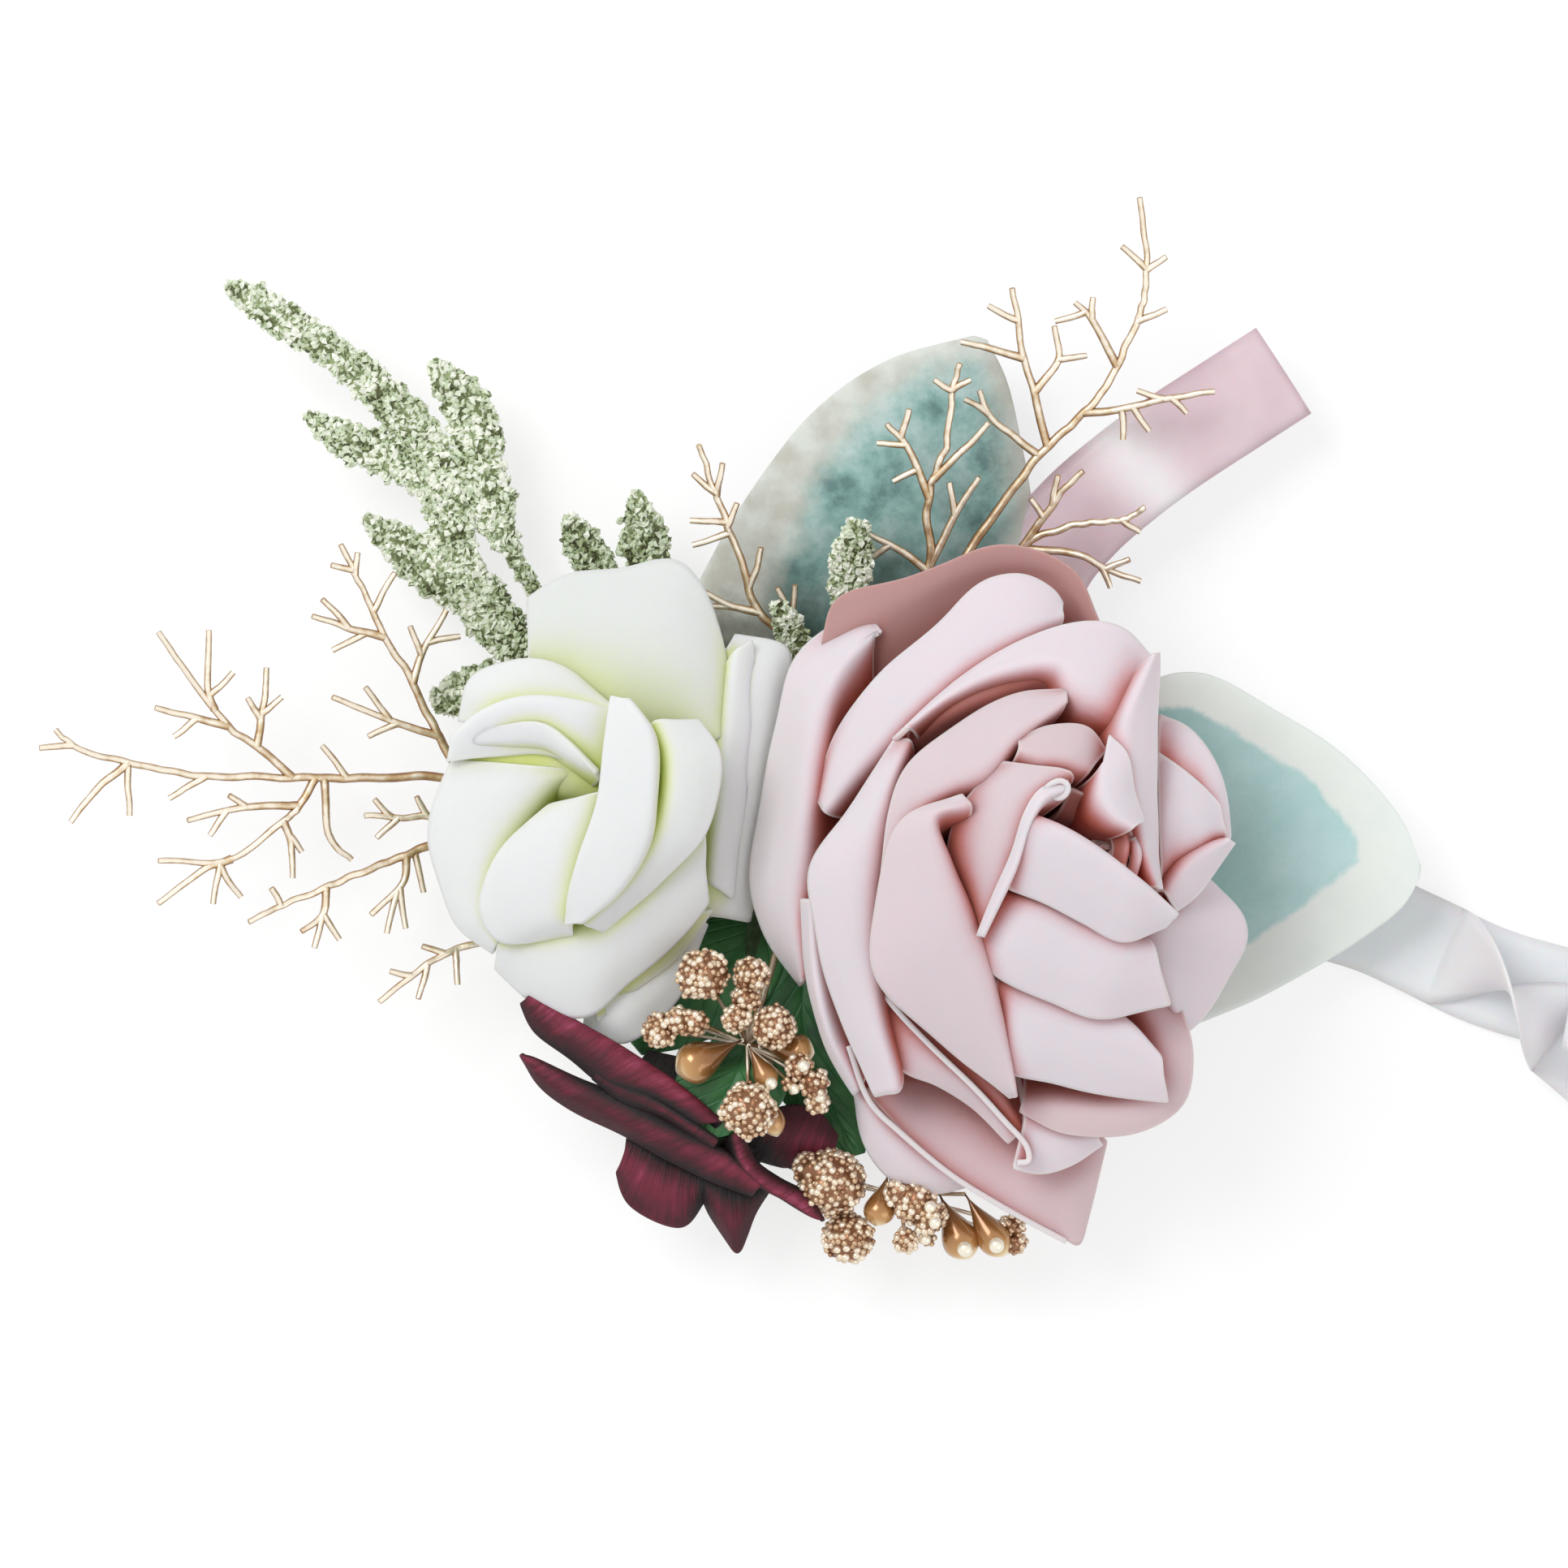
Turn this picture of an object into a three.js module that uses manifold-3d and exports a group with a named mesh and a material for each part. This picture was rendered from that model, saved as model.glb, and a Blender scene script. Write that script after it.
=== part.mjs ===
// Wrist corsage of foam roses on a felt backing, lying flat with its flowers up.
// Millimetres, +Z up. The origin is the centre of the felt's underside.
import * as THREE from 'three';
import { mergeVertices } from 'three/addons/utils/BufferGeometryUtils.js';
import Module from 'manifold-3d';

const wasm = await Module();
wasm.setup();

// Driving dimensions of the whole spray
const SPRAY_LENGTH = 172.3; // from the tip of the left twig to the tip of the right leaf
const CLEARANCE = 0.3; // between two pieces that touch
const WELD = 0.13; // how far a surface may move where its smallest faces are merged

// Felt backing
const FELT_LENGTH = 56;
const FELT_WIDTH = 27;
const FELT_THICKNESS = 1.5;

// White satin wrist ribbon, one strip folded in two under the stems
const WRIST_RIBBON_WIDTH = 12.7;
const WRIST_RIBBON_THICKNESS = 0.4;
const RIBBON_PLY_GAP = 0.5;
const ROLL_INNER_RADIUS = 2.6;
const ROLL_PITCH = 1.1;
const ROLL_TURNS = 3.5;

// Pink satin ribbon tail
const PINK_RIBBON_WIDTH = 12;
const PINK_RIBBON_THICKNESS = 0.4;
const PINK_RIBBON_LENGTH = 70; // root to cut end, measured straight
const PINK_RIBBON_RISE = 6;

// Taped bundle of stems
const BUNDLE_LENGTH = 52;
const BUNDLE_RADIUS = 3;
const BUNDLE_NECK_RADIUS = 2.6;
const STEM_RADIUS = 1;
const STEM_SEAT = 1.4; // how far a stem runs into the tape

// Roses
const PINK_ROSE_SPAN = 61;
const PINK_ROSE_HEIGHT = 50;
const PINK_CORE_RADIUS = 3.6;
const PINK_CORE_TIP_RADIUS = 2.3;
const WHITE_ROSE_SPAN = 42;
const WHITE_ROSE_HEIGHT = 37;
const WHITE_CORE_RADIUS = 2.8;
const WHITE_CORE_TIP_RADIUS = 1.6;
const BURGUNDY_SPAN = 38;
const BURGUNDY_HEIGHT = 20;
const BURGUNDY_CORE_RADIUS = 2; // its innermost petal is rolled about nothing
const FOAM_THICKNESS = 0.9;
const SILK_THICKNESS = 0.7;
const CALYX_DEPTH = 3;
const CALYX_RIM = 0.8;

// Leaves
const LEAF_THICKNESS = 0.7;
const TOP_LEAF_LENGTH = 69.4; // from its socket to its tip, as all spray lengths
const RIGHT_LEAF_LENGTH = 46.4;
const DARK_LEAF_LENGTH = 34.7;
const SMALL_DARK_LEAF_LENGTH = 25.6;
const LEAF_RISE = 5;

// Glittered fern
const FERN_LENGTH = 91.6;
const FERN_SPRIG_LENGTH = 47.9;
const FERN_THICKNESS = 1.4;
const FERN_RISE = 9;
const FERN_SPRIG_RISE = 6;
const FERN_TIP_LENGTH = 42.4;
const FERN_TIP_RISE = 12;

// Gold twigs
const LEFT_TWIG_LENGTH = 78.4;
const UPPER_LEFT_TWIG_LENGTH = 56.3;
const LOWER_LEFT_TWIG_LENGTH = 51.8;
const MIDDLE_TWIG_LENGTH = 52.8;
const TALL_TWIG_LENGTH = 88.4;
const CENTRE_TWIG_LENGTH = 63.1;
const RIGHT_TWIG_LENGTH = 52.2;
const TWIG_RADIUS = 0.6;
const TWIG_TIP_RADIUS = 0.3;
const TWIG_RISE = 13;
const TOP_TWIG_RISE = 16;

// Gold berry picks
const BERRY_PICK_LENGTH = 27.8;
const LOWER_PICK_LENGTH = 43.8;
const BERRY_STALK_RADIUS = 0.5;
const BERRY_PICK_HEIGHT = 25;
const LOWER_PICK_HEIGHT = 16;

// The photograph shows the spray from straight above, so a place in it is a plan in pixels.
const LEFT_END_PIXEL = [40, 921];
const RIGHT_END_PIXEL = [1763, 1068];
const ORIGIN_PIXEL = [1080, 1050];
const MM_PER_PIXEL = SPRAY_LENGTH / (RIGHT_END_PIXEL[0] - LEFT_END_PIXEL[0]);

const material = (color, roughness, metalness = 0) =>
  new THREE.MeshStandardMaterial({ color, roughness, metalness, flatShading: true });
const pinkFoam = material(0xdbbdc2, 0.85);
const whiteFoam = material(0xedefec, 0.85);
const burgundyFoam = material(0x5c1f33, 0.8);
const goldMetal = material(0xccaa6b, 0.35, 0.8);
const fernGreen = material(0xa6bf8c, 0.7);
const darkLeafGreen = material(0x14402a, 0.5);
const tealLeaf = material(0x9ec4c2, 0.9);
const tapeGreen = material(0x3d5a3a, 0.8);
const whiteFelt = material(0xe8e8e6, 1);
const whiteSatin = material(0xdcdce4, 0.4);
const pinkSatin = material(0xd9c2cc, 0.4);

const pixelsBetween = ([ax, ay], [bx, by]) => Math.hypot(bx - ax, by - ay);

/** A map from pixels to the plan about an anchor pixel, in which two pixels lie a given length apart. */
function plan(anchor, length, from, to) {
  const x = (anchor[0] - ORIGIN_PIXEL[0]) * MM_PER_PIXEL;
  const y = (ORIGIN_PIXEL[1] - anchor[1]) * MM_PER_PIXEL;
  const scale = length / pixelsBetween(from, to);
  return (px, py, z = 0) => new THREE.Vector3(
    x + (px - anchor[0]) * scale, y + (anchor[1] - py) * scale, z);
}
const sprayPlan = (px, py, z = 0) => new THREE.Vector3(
  (px - ORIGIN_PIXEL[0]) * MM_PER_PIXEL, (ORIGIN_PIXEL[1] - py) * MM_PER_PIXEL, z);

/** A closed solid from a position list and a triangle list. */
function solidOf(positions, triangles) {
  return new wasm.Manifold(new wasm.Mesh({
    numProp: 3,
    vertProperties: new Float32Array(positions.flatMap((p) => [p.x, p.y, p.z])),
    triVerts: new Uint32Array(triangles.flat()),
  }));
}

/** A closed solid from a three.js geometry. */
function solidFrom(geometry) {
  const bare = geometry.clone();
  for (const name of Object.keys(bare.attributes)) if (name !== 'position') bare.deleteAttribute(name);
  const merged = mergeVertices(bare);
  return new wasm.Manifold(new wasm.Mesh({
    numProp: 3,
    vertProperties: new Float32Array(merged.attributes.position.array),
    triVerts: new Uint32Array(merged.index.array),
  }));
}

const joined = (solids) => solids.reduce((a, b) => a.add(b));

/** The point past b on the line from a, a distance further. */
const beyond = (a, b, distance) => b.clone().addScaledVector(b.clone().sub(a).normalize(), distance);

/** A sheet's middle surface, grid[column][row], moved out at its edges. */
function grownGrid(grid, grow) {
  const rows = grid.map((column) => column.map((p) => p.clone()));
  const last = rows.length - 1;
  const top = rows[0].length - 1;
  rows.forEach((column, i) => {
    column[0] = beyond(grid[i][1], grid[i][0], grow);
    column[top] = beyond(grid[i][top - 1], grid[i][top], grow);
  });
  for (let j = 0; j <= top; j += 1) {
    rows[0][j].add(beyond(grid[1][j], grid[0][j], grow).sub(grid[0][j]));
    rows[last][j].add(beyond(grid[last - 1][j], grid[last][j], grow).sub(grid[last][j]));
  }
  return rows;
}

/** A closed sheet of one thickness about a middle surface. */
function sheet(grid, thickness, grow) {
  const middle = grow > 0 ? grownGrid(grid, grow) : grid;
  const columns = middle.length;
  const rows = middle[0].length;
  const half = thickness / 2 + grow;
  const front = [];
  const back = [];
  for (let i = 0; i < columns; i += 1) {
    for (let j = 0; j < rows; j += 1) {
      const across = middle[Math.min(i + 1, columns - 1)][j].clone().sub(middle[Math.max(i - 1, 0)][j]);
      const along = middle[i][Math.min(j + 1, rows - 1)].clone().sub(middle[i][Math.max(j - 1, 0)]);
      const normal = across.cross(along).normalize();
      front.push(middle[i][j].clone().addScaledVector(normal, half));
      back.push(middle[i][j].clone().addScaledVector(normal, -half));
    }
  }
  const at = (i, j) => i * rows + j;
  const under = front.length;
  const triangles = [];
  for (let i = 0; i + 1 < columns; i += 1) {
    for (let j = 0; j + 1 < rows; j += 1) {
      const [a, b, c, d] = [at(i, j), at(i + 1, j), at(i + 1, j + 1), at(i, j + 1)];
      triangles.push([a, b, c], [a, c, d]);
      triangles.push([under + a, under + c, under + b], [under + a, under + d, under + c]);
    }
  }
  const rim = [];
  for (let i = 0; i + 1 < columns; i += 1) rim.push(at(i, 0));
  for (let j = 0; j + 1 < rows; j += 1) rim.push(at(columns - 1, j));
  for (let i = columns - 1; i > 0; i -= 1) rim.push(at(i, rows - 1));
  for (let j = rows - 1; j > 0; j -= 1) rim.push(at(0, j));
  rim.forEach((a, k) => {
    const b = rim[(k + 1) % rim.length];
    triangles.push([b, a, under + a], [b, under + a, under + b]);
  });
  return solidOf([...front, ...back], triangles);
}

/** A closed tapered tube through a list of points. */
function taperedTube(points, startRadius, endRadius, sides) {
  const positions = [];
  const triangles = [];
  const lastRing = points.length - 1;
  points.forEach((point, k) => {
    const ahead = points[Math.min(k + 1, lastRing)].clone().sub(points[Math.max(k - 1, 0)]).normalize();
    const side = new THREE.Vector3(-ahead.y, ahead.x, 0).normalize();
    const up = ahead.clone().cross(side);
    const radius = THREE.MathUtils.lerp(startRadius, endRadius, k / lastRing);
    for (let s = 0; s < sides; s += 1) {
      const turn = (2 * Math.PI * (s + 0.5)) / sides;
      positions.push(point.clone()
        .addScaledVector(side, radius * Math.cos(turn)).addScaledVector(up, radius * Math.sin(turn)));
    }
  });
  for (let k = 0; k < lastRing; k += 1) {
    for (let s = 0; s < sides; s += 1) {
      const [a, b] = [k * sides + s, k * sides + ((s + 1) % sides)];
      triangles.push([a, b, b + sides], [a, b + sides, a + sides]);
    }
  }
  for (let s = 1; s + 1 < sides; s += 1) {
    triangles.push([0, s + 1, s], [lastRing * sides, lastRing * sides + s, lastRing * sides + s + 1]);
  }
  return solidOf(positions, triangles);
}

/** A closed round rod of one radius along a smooth curve. */
function rod(points, radius, steps, sides) {
  const outline = new THREE.Shape();
  for (let s = 0; s < sides; s += 1) {
    const turn = (2 * Math.PI * s) / sides;
    outline[s ? 'lineTo' : 'moveTo'](radius * Math.cos(turn), radius * Math.sin(turn));
  }
  const path = new THREE.CatmullRomCurve3(points);
  return solidFrom(new THREE.ExtrudeGeometry(outline, { steps, extrudePath: path, bevelEnabled: false }));
}

const largestBody = (solid) => solid.decompose().sort((a, b) => b.volume() - a.volume())[0];

// Each piece is made once for itself and once, grown by the clearance, to keep the later ones off it.
const corsage = new THREE.Group();
const placed = [];
function place(name, make, finish) {
  let solid = make(0);
  const box = solid.boundingBox();
  const far = (other) => [0, 1, 2].some((k) =>
    box.min[k] > other.max[k] + CLEARANCE || box.max[k] < other.min[k] - CLEARANCE);
  for (const other of placed) {
    if (far(other.box)) continue;
    other.keepOut ??= other.make(CLEARANCE);
    solid = solid.subtract(other.keepOut);
  }
  const { vertProperties, triVerts } = largestBody(largestBody(solid).simplify(WELD)).getMesh();
  const geometry = new THREE.BufferGeometry();
  geometry.setAttribute('position', new THREE.BufferAttribute(vertProperties, 3));
  geometry.setIndex(new THREE.BufferAttribute(triVerts, 1));
  geometry.computeVertexNormals();
  const mesh = new THREE.Mesh(geometry, finish);
  mesh.name = name;
  corsage.add(mesh);
  placed.push({ make, box });
}

// Felt backing: an oval of felt that the stems and the ribbon are glued to.
place('felt_backing', (grow) => {
  const end = FELT_WIDTH / 2 + grow;
  const reach = (FELT_LENGTH - FELT_WIDTH) / 2;
  const outline = new THREE.Shape();
  outline.absarc(reach, 0, end, -Math.PI / 2, Math.PI / 2);
  outline.absarc(-reach, 0, end, Math.PI / 2, (3 * Math.PI) / 2);
  const depth = FELT_THICKNESS + 2 * grow;
  const geometry = new THREE.ExtrudeGeometry(outline, { depth, bevelEnabled: false, curveSegments: 10 });
  return solidFrom(geometry.translate(0, 0, -grow));
}, whiteFelt);

// Wrist ribbon. Both tails leave to the right; the upper one turns over once.
// Past the photograph's edge each tail is rolled up.
const PLY_STEP = WRIST_RIBBON_THICKNESS + RIBBON_PLY_GAP;
const FELT_PLY_HEIGHT = FELT_THICKNESS + CLEARANCE + WRIST_RIBBON_THICKNESS / 2;
const TABLE_PLY_HEIGHT = WRIST_RIBBON_THICKNESS;
const ribbonFoldPixels = [[890, 1079], [1050, 1079], [1300, 1083], [1420, 1090]];
const lowerTailPixels = [[1560, 1104], [1700, 1138], [1760, 1164], [1850, 1207], [1932, 1232],
  [2010, 1248]];
const upperTailPixels = [[1560, 1104], [1700, 1138], [1760, 1164], [1820, 1193], [1880, 1228], [1940, 1272],
  [2000, 1322], [2045, 1362]];
const twistSpanPixels = [1790, 1965];
const TAIL_STEPS = 22;
const TWISTED_TAIL_STEPS = 38;
const ROLL_STEPS_PER_TURN = 12;

function ribbonTail(tailPixels, ply, twistSpan) {
  const feltRun = ribbonFoldPixels.map(([x, y]) => sprayPlan(x, y, FELT_PLY_HEIGHT + ply * PLY_STEP));
  const floorRun = tailPixels.map(([x, y]) => sprayPlan(x, y, TABLE_PLY_HEIGHT + ply * PLY_STEP));
  if (twistSpan) floorRun.at(-1).z = TABLE_PLY_HEIGHT;
  const curve = new THREE.CatmullRomCurve3([...feltRun, ...floorRun]);
  const steps = twistSpan ? TWISTED_TAIL_STEPS : TAIL_STEPS;
  const stations = [];
  for (let k = 0; k <= steps; k += 1) {
    const centre = curve.getPoint(k / steps);
    const ahead = curve.getTangent(k / steps).setZ(0).normalize();
    const side = new THREE.Vector3(-ahead.y, ahead.x, 0);
    let turn = 0;
    if (twistSpan) {
      const [start, end] = twistSpan.map((x) => sprayPlan(x, 0).x);
      turn = Math.PI * THREE.MathUtils.smootherstep(centre.x, start, end);
    }
    centre.z += (WRIST_RIBBON_WIDTH / 2) * Math.sin(turn);
    const across = side.multiplyScalar(Math.cos(turn));
    across.z = Math.sin(turn);
    stations.push({ centre, across, ahead });
  }
  return stations;
}

function ribbonRoll(start) {
  const outer = ROLL_INNER_RADIUS + ROLL_TURNS * ROLL_PITCH;
  const steps = Math.round(ROLL_TURNS * ROLL_STEPS_PER_TURN);
  const hub = start.centre.clone();
  hub.z += outer;
  return Array.from({ length: steps }, (_, k) => {
    const turn = (2 * Math.PI * ROLL_TURNS * (k + 1)) / steps;
    const radius = outer - (ROLL_PITCH * turn) / (2 * Math.PI);
    const centre = hub.clone().addScaledVector(start.ahead, radius * Math.sin(turn));
    centre.z -= radius * Math.cos(turn);
    return { centre, across: start.across, ahead: start.ahead };
  });
}

const lowerTail = ribbonTail(lowerTailPixels, 0);
const upperTail = ribbonTail(upperTailPixels, 1, twistSpanPixels);
const foldCentre = lowerTail[0].centre.clone();
foldCentre.x -= PLY_STEP / 2;
foldCentre.z += PLY_STEP / 2;
const fold = { centre: foldCentre, across: lowerTail[0].across.clone() };
const wristRibbonPath = [
  ...ribbonRoll(lowerTail.at(-1)).reverse(), ...lowerTail.reverse(), fold, ...upperTail,
  ...ribbonRoll(upperTail.at(-1)),
];

/** The two edges of a ribbon; the upper ply's width runs the other way once it has turned over. */
const ribbonGrid = (stations, width) => [-width / 2, width / 2].map((offset) =>
  stations.map(({ centre, across }) => centre.clone().addScaledVector(across, offset)));

function pathLength(stations) {
  return stations.slice(1).reduce((sum, { centre }, k) => sum + centre.distanceTo(stations[k].centre), 0);
}

/** The least gap between two stretches of the ribbon that are well apart along it. */
function leastSelfGap(stations, width, thickness) {
  const grid = ribbonGrid(stations, width);
  const along = [0];
  stations.slice(1).forEach(({ centre }, k) =>
    along.push(along[k] + centre.distanceTo(stations[k].centre)));
  let least = Infinity;
  const apart = 8 * PLY_STEP;
  for (const a of grid) {
    for (const b of grid) {
      a.forEach((p, i) => b.forEach((q, j) => {
        if (along[j] - along[i] > apart) least = Math.min(least, p.distanceTo(q) - thickness);
      }));
    }
  }
  return least;
}
console.log('wrist ribbon length', pathLength(wristRibbonPath).toFixed(1),
  'least self-gap', leastSelfGap(wristRibbonPath, WRIST_RIBBON_WIDTH, WRIST_RIBBON_THICKNESS).toFixed(2));

place('wrist_ribbon', (grow) =>
  sheet(ribbonGrid(wristRibbonPath, WRIST_RIBBON_WIDTH), WRIST_RIBBON_THICKNESS, grow), whiteSatin);

// Stem bundle's place: a bar of taped stems over the ribbon.
const BUNDLE_PIXEL = [1060, 1080];
const BUNDLE_HEIGHT = FELT_PLY_HEIGHT + PLY_STEP + WRIST_RIBBON_THICKNESS / 2 + CLEARANCE + BUNDLE_RADIUS;
const BUNDLE_TOP = BUNDLE_HEIGHT + BUNDLE_RADIUS;
const STEM_HEIGHT = BUNDLE_HEIGHT - BUNDLE_RADIUS / 3;
const bundleCentre = sprayPlan(...BUNDLE_PIXEL, BUNDLE_HEIGHT);

/** The root of a stem inside the tape: a share of the bundle's half length, and the side it enters. */
function socket(lengthShare, side) {
  const reach = BUNDLE_RADIUS - STEM_SEAT;
  return new THREE.Vector3(
    bundleCentre.x + (lengthShare * BUNDLE_LENGTH) / 2, bundleCentre.y + side * reach, STEM_HEIGHT);
}

// A spray is planned from its own socket, and climbs from the stems' height towards its tips.
const RISE_POWER = 1.6; // above 1, it lies low near the stems and lifts at its tips
const CENTRE_RISE_POWER = 1.4;
const TALL_RISE_POWER = 1.2;
function sprayFrom({ lengthShare, side, pixel, tipPixel }, length, rise, power = RISE_POWER) {
  const root = socket(lengthShare, side);
  const scale = length / pixelsBetween(pixel, tipPixel);
  return (px, py) => {
    const away = new THREE.Vector3((px - pixel[0]) * scale, (pixel[1] - py) * scale, 0);
    away.z = rise * (away.length() / length) ** power;
    return away.add(root);
  };
}

// Pink ribbon tail: a satin strip that leaves between the pink rose and the top leaf, cut straight.
const pinkRibbonPixels = [[1222, 1056], [1240, 960], [1272, 800], [1310, 690], [1345, 632], [1400, 580],
  [1470, 532], [1536, 485], [1581, 456]];
const pinkRibbonHeightShares = [0, 0.05, 0.3, 0.6, 0.8, 1, 0.95, 0.75, 0.6];
const PINK_RIBBON_STEPS = 20;
const pinkRibbonTop = plan(
  pinkRibbonPixels[0], PINK_RIBBON_LENGTH, pinkRibbonPixels[0], pinkRibbonPixels.at(-1));
const PINK_RIBBON_START = STEM_HEIGHT - BUNDLE_RADIUS / 4;
const pinkRibbonCurve = new THREE.CatmullRomCurve3(pinkRibbonPixels.map(([x, y], k) =>
  pinkRibbonTop(x, y, PINK_RIBBON_START + pinkRibbonHeightShares[k] * PINK_RIBBON_RISE)));
const pinkRibbonPath = Array.from({ length: PINK_RIBBON_STEPS + 1 }, (_, k) => {
  const centre = pinkRibbonCurve.getPoint(k / PINK_RIBBON_STEPS);
  const ahead = pinkRibbonCurve.getTangent(k / PINK_RIBBON_STEPS).setZ(0).normalize();
  return { centre, across: new THREE.Vector3(-ahead.y, ahead.x, 0) };
});
console.log('pink ribbon length', pathLength(pinkRibbonPath).toFixed(1));
place('pink_ribbon_tail', (grow) =>
  sheet(ribbonGrid(pinkRibbonPath, PINK_RIBBON_WIDTH), PINK_RIBBON_THICKNESS, grow), pinkSatin);

// Leaves: cloth blades on a wire midrib. Each edge runs from the base to the tip, in pixels.
const LEAF_COLUMNS = 4;
const LEAF_ROWS = 8;
const LEAF_ARCH_SHARE = 0.05; // of the blade's width
const PETIOLE_RADIUS = 0.8;
function leafGrid(at, [leftEdge, rightEdge]) {
  const edge = (pixels) => new THREE.CatmullRomCurve3(pixels.map(([x, y]) => at(x, y)));
  const [left, right] = [edge(leftEdge), edge(rightEdge)];
  const pointAt = (i, j) => {
    const [a, b] = [left.getPoint(j / LEAF_ROWS), right.getPoint(j / LEAF_ROWS)];
    const point = a.clone().lerp(b, i / LEAF_COLUMNS);
    point.z += LEAF_ARCH_SHARE * a.distanceTo(b) * Math.sin((Math.PI * i) / LEAF_COLUMNS);
    return point;
  };
  return Array.from({ length: LEAF_COLUMNS + 1 }, (_, i) =>
    Array.from({ length: LEAF_ROWS + 1 }, (__, j) => pointAt(i, j)));
}
function placeLeaves(name, root, blades, length, finish) {
  const at = sprayFrom(root, length, LEAF_RISE);
  const grids = blades.map((edges) => leafGrid(at, edges));
  const start = at(...root.pixel);
  place(name, (grow) => joined(grids.map((grid) => {
    const end = grid[LEAF_COLUMNS / 2][2];
    const petiole = taperedTube([start, start.clone().lerp(end, 0.5), end],
      PETIOLE_RADIUS + grow, LEAF_THICKNESS / 2 + grow, 6);
    return sheet(grid, LEAF_THICKNESS, grow).add(petiole);
  })), finish);
}
const topLeafRoot = { lengthShare: -0.25, side: 1, pixel: [995, 1064], tipPixel: [1212, 405] };
const topLeafPixels = [
  [[[1004, 880], [920, 825], [856, 735], [878, 675], [930, 590], [1003, 499], [1090, 438], [1205, 405]],
    [[1024, 880], [1120, 838], [1215, 775], [1270, 690], [1277, 621], [1262, 530], [1244, 458],
      [1220, 410]]],
];
placeLeaves('top_leaf', topLeafRoot, topLeafPixels, TOP_LEAF_LENGTH, tealLeaf);
const rightLeafRoot = { lengthShare: 0.92, side: 0, pixel: [1299, 1080], tipPixel: [1763, 1072] };
const rightLeafPixels = [
  [[[1336, 1062], [1362, 930], [1424, 838], [1490, 826], [1580, 872], [1666, 928], [1736, 1006],
    [1763, 1068]],
    [[1336, 1082], [1370, 1190], [1448, 1270], [1530, 1249], [1620, 1203], [1690, 1160], [1740, 1120],
      [1761, 1084]]],
];
placeLeaves('right_leaf', rightLeafRoot, rightLeafPixels, RIGHT_LEAF_LENGTH, tealLeaf);
const darkLeafRoot = { lengthShare: -0.3, side: -1, pixel: [982, 1096], tipPixel: [1068, 1432] };
const darkLeafPixels = [
  [[[1016, 1160], [1045, 1200], [1055, 1260], [1064, 1330], [1070, 1390], [1067, 1428]],
    [[992, 1160], [940, 1200], [925, 1260], [955, 1350], [1010, 1408], [1053, 1432]]],
];
placeLeaves('dark_leaf', darkLeafRoot, darkLeafPixels, DARK_LEAF_LENGTH, darkLeafGreen);
const smallDarkLeafRoot = { lengthShare: -0.5, side: -1, pixel: [930, 1096], tipPixel: [780, 1304] };
const smallDarkLeafPixels = [
  [[[938, 1140], [930, 1190], [905, 1240], [870, 1275], [832, 1296], [786, 1304]],
    [[915, 1128], [870, 1140], [822, 1175], [795, 1215], [778, 1255], [776, 1292]]],
];
placeLeaves('small_dark_leaf', smallDarkLeafRoot, smallDarkLeafPixels, SMALL_DARK_LEAF_LENGTH,
  darkLeafGreen);

// Fern: flat glittered fronds. A frond is a list of [x, y, half width], all in pixels.
function frondSolid(at, frond, grow) {
  const curve = new THREE.CatmullRomCurve3(frond.map(([x, y]) => at(x, y)));
  const steps = frond.length * 2 - 2;
  const width = (t) => {
    const k = Math.min(Math.floor(t * (frond.length - 1)), frond.length - 2);
    const [wide, next] = [frond[k][2], frond[k + 1][2]];
    const half = THREE.MathUtils.lerp(wide, next, t * (frond.length - 1) - k);
    return at(frond[0][0] + half, frond[0][1]).setZ(0).distanceTo(at(frond[0][0], frond[0][1]).setZ(0));
  };
  const grid = [-1, 1].map((side) => Array.from({ length: steps + 1 }, (_, k) => {
    const t = k / steps;
    const ahead = curve.getTangent(t).setZ(0).normalize();
    return curve.getPoint(t).addScaledVector(new THREE.Vector3(ahead.y, -ahead.x, 0), side * width(t));
  }));
  return sheet(grid, FERN_THICKNESS, grow);
}
function placeFern(name, root, fronds, length, rise) {
  const at = sprayFrom(root, length, rise);
  place(name, (grow) => joined(fronds.map((frond) => frondSolid(at, frond, grow))), fernGreen);
}
const fernSprayRoot = { lengthShare: -0.85, side: 1, pixel: [839, 1064], tipPixel: [272, 345] };
const fernSprayPixels = [
  [[839, 1064, 6], [740, 930, 8], [650, 815, 26], [600, 748, 34], [562, 680, 30], [545, 610, 30],
    [510, 530, 26], [450, 466, 24], [398, 424, 20], [340, 386, 22], [300, 360, 18], [272, 345, 6]],
  [[548, 600, 26], [491, 562, 28], [440, 544, 26], [402, 528, 18], [370, 505, 5]],
  [[690, 866, 6], [665, 735, 8], [634, 686, 16], [604, 625, 28], [588, 550, 30], [560, 482, 28],
    [527, 438, 8]],
  [[600, 748, 26], [540, 706, 32], [482, 664, 24], [442, 634, 6]],
  [[652, 818, 16], [598, 838, 24], [560, 852, 26], [527, 866, 12]],
];
placeFern('fern_spray', fernSprayRoot, fernSprayPixels, FERN_LENGTH, FERN_RISE);
const fernSprigRoot = { lengthShare: -0.6, side: 1, pixel: [904, 1064], tipPixel: [696, 632] };
const fernSprigPixels = [
  [[904, 1064, 6], [830, 880, 8], [760, 740, 12], [728, 690, 24], [712, 660, 22], [696, 632, 6]],
  [[800, 818, 6], [796, 735, 12], [794, 672, 32], [786, 636, 22], [781, 601, 5]],
];
placeFern('fern_sprig', fernSprigRoot, fernSprigPixels, FERN_SPRIG_LENGTH, FERN_SPRIG_RISE);
const fernTipRoot = { lengthShare: -0.05, side: 1, pixel: [1047, 1064], tipPixel: [1060, 640] };
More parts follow.
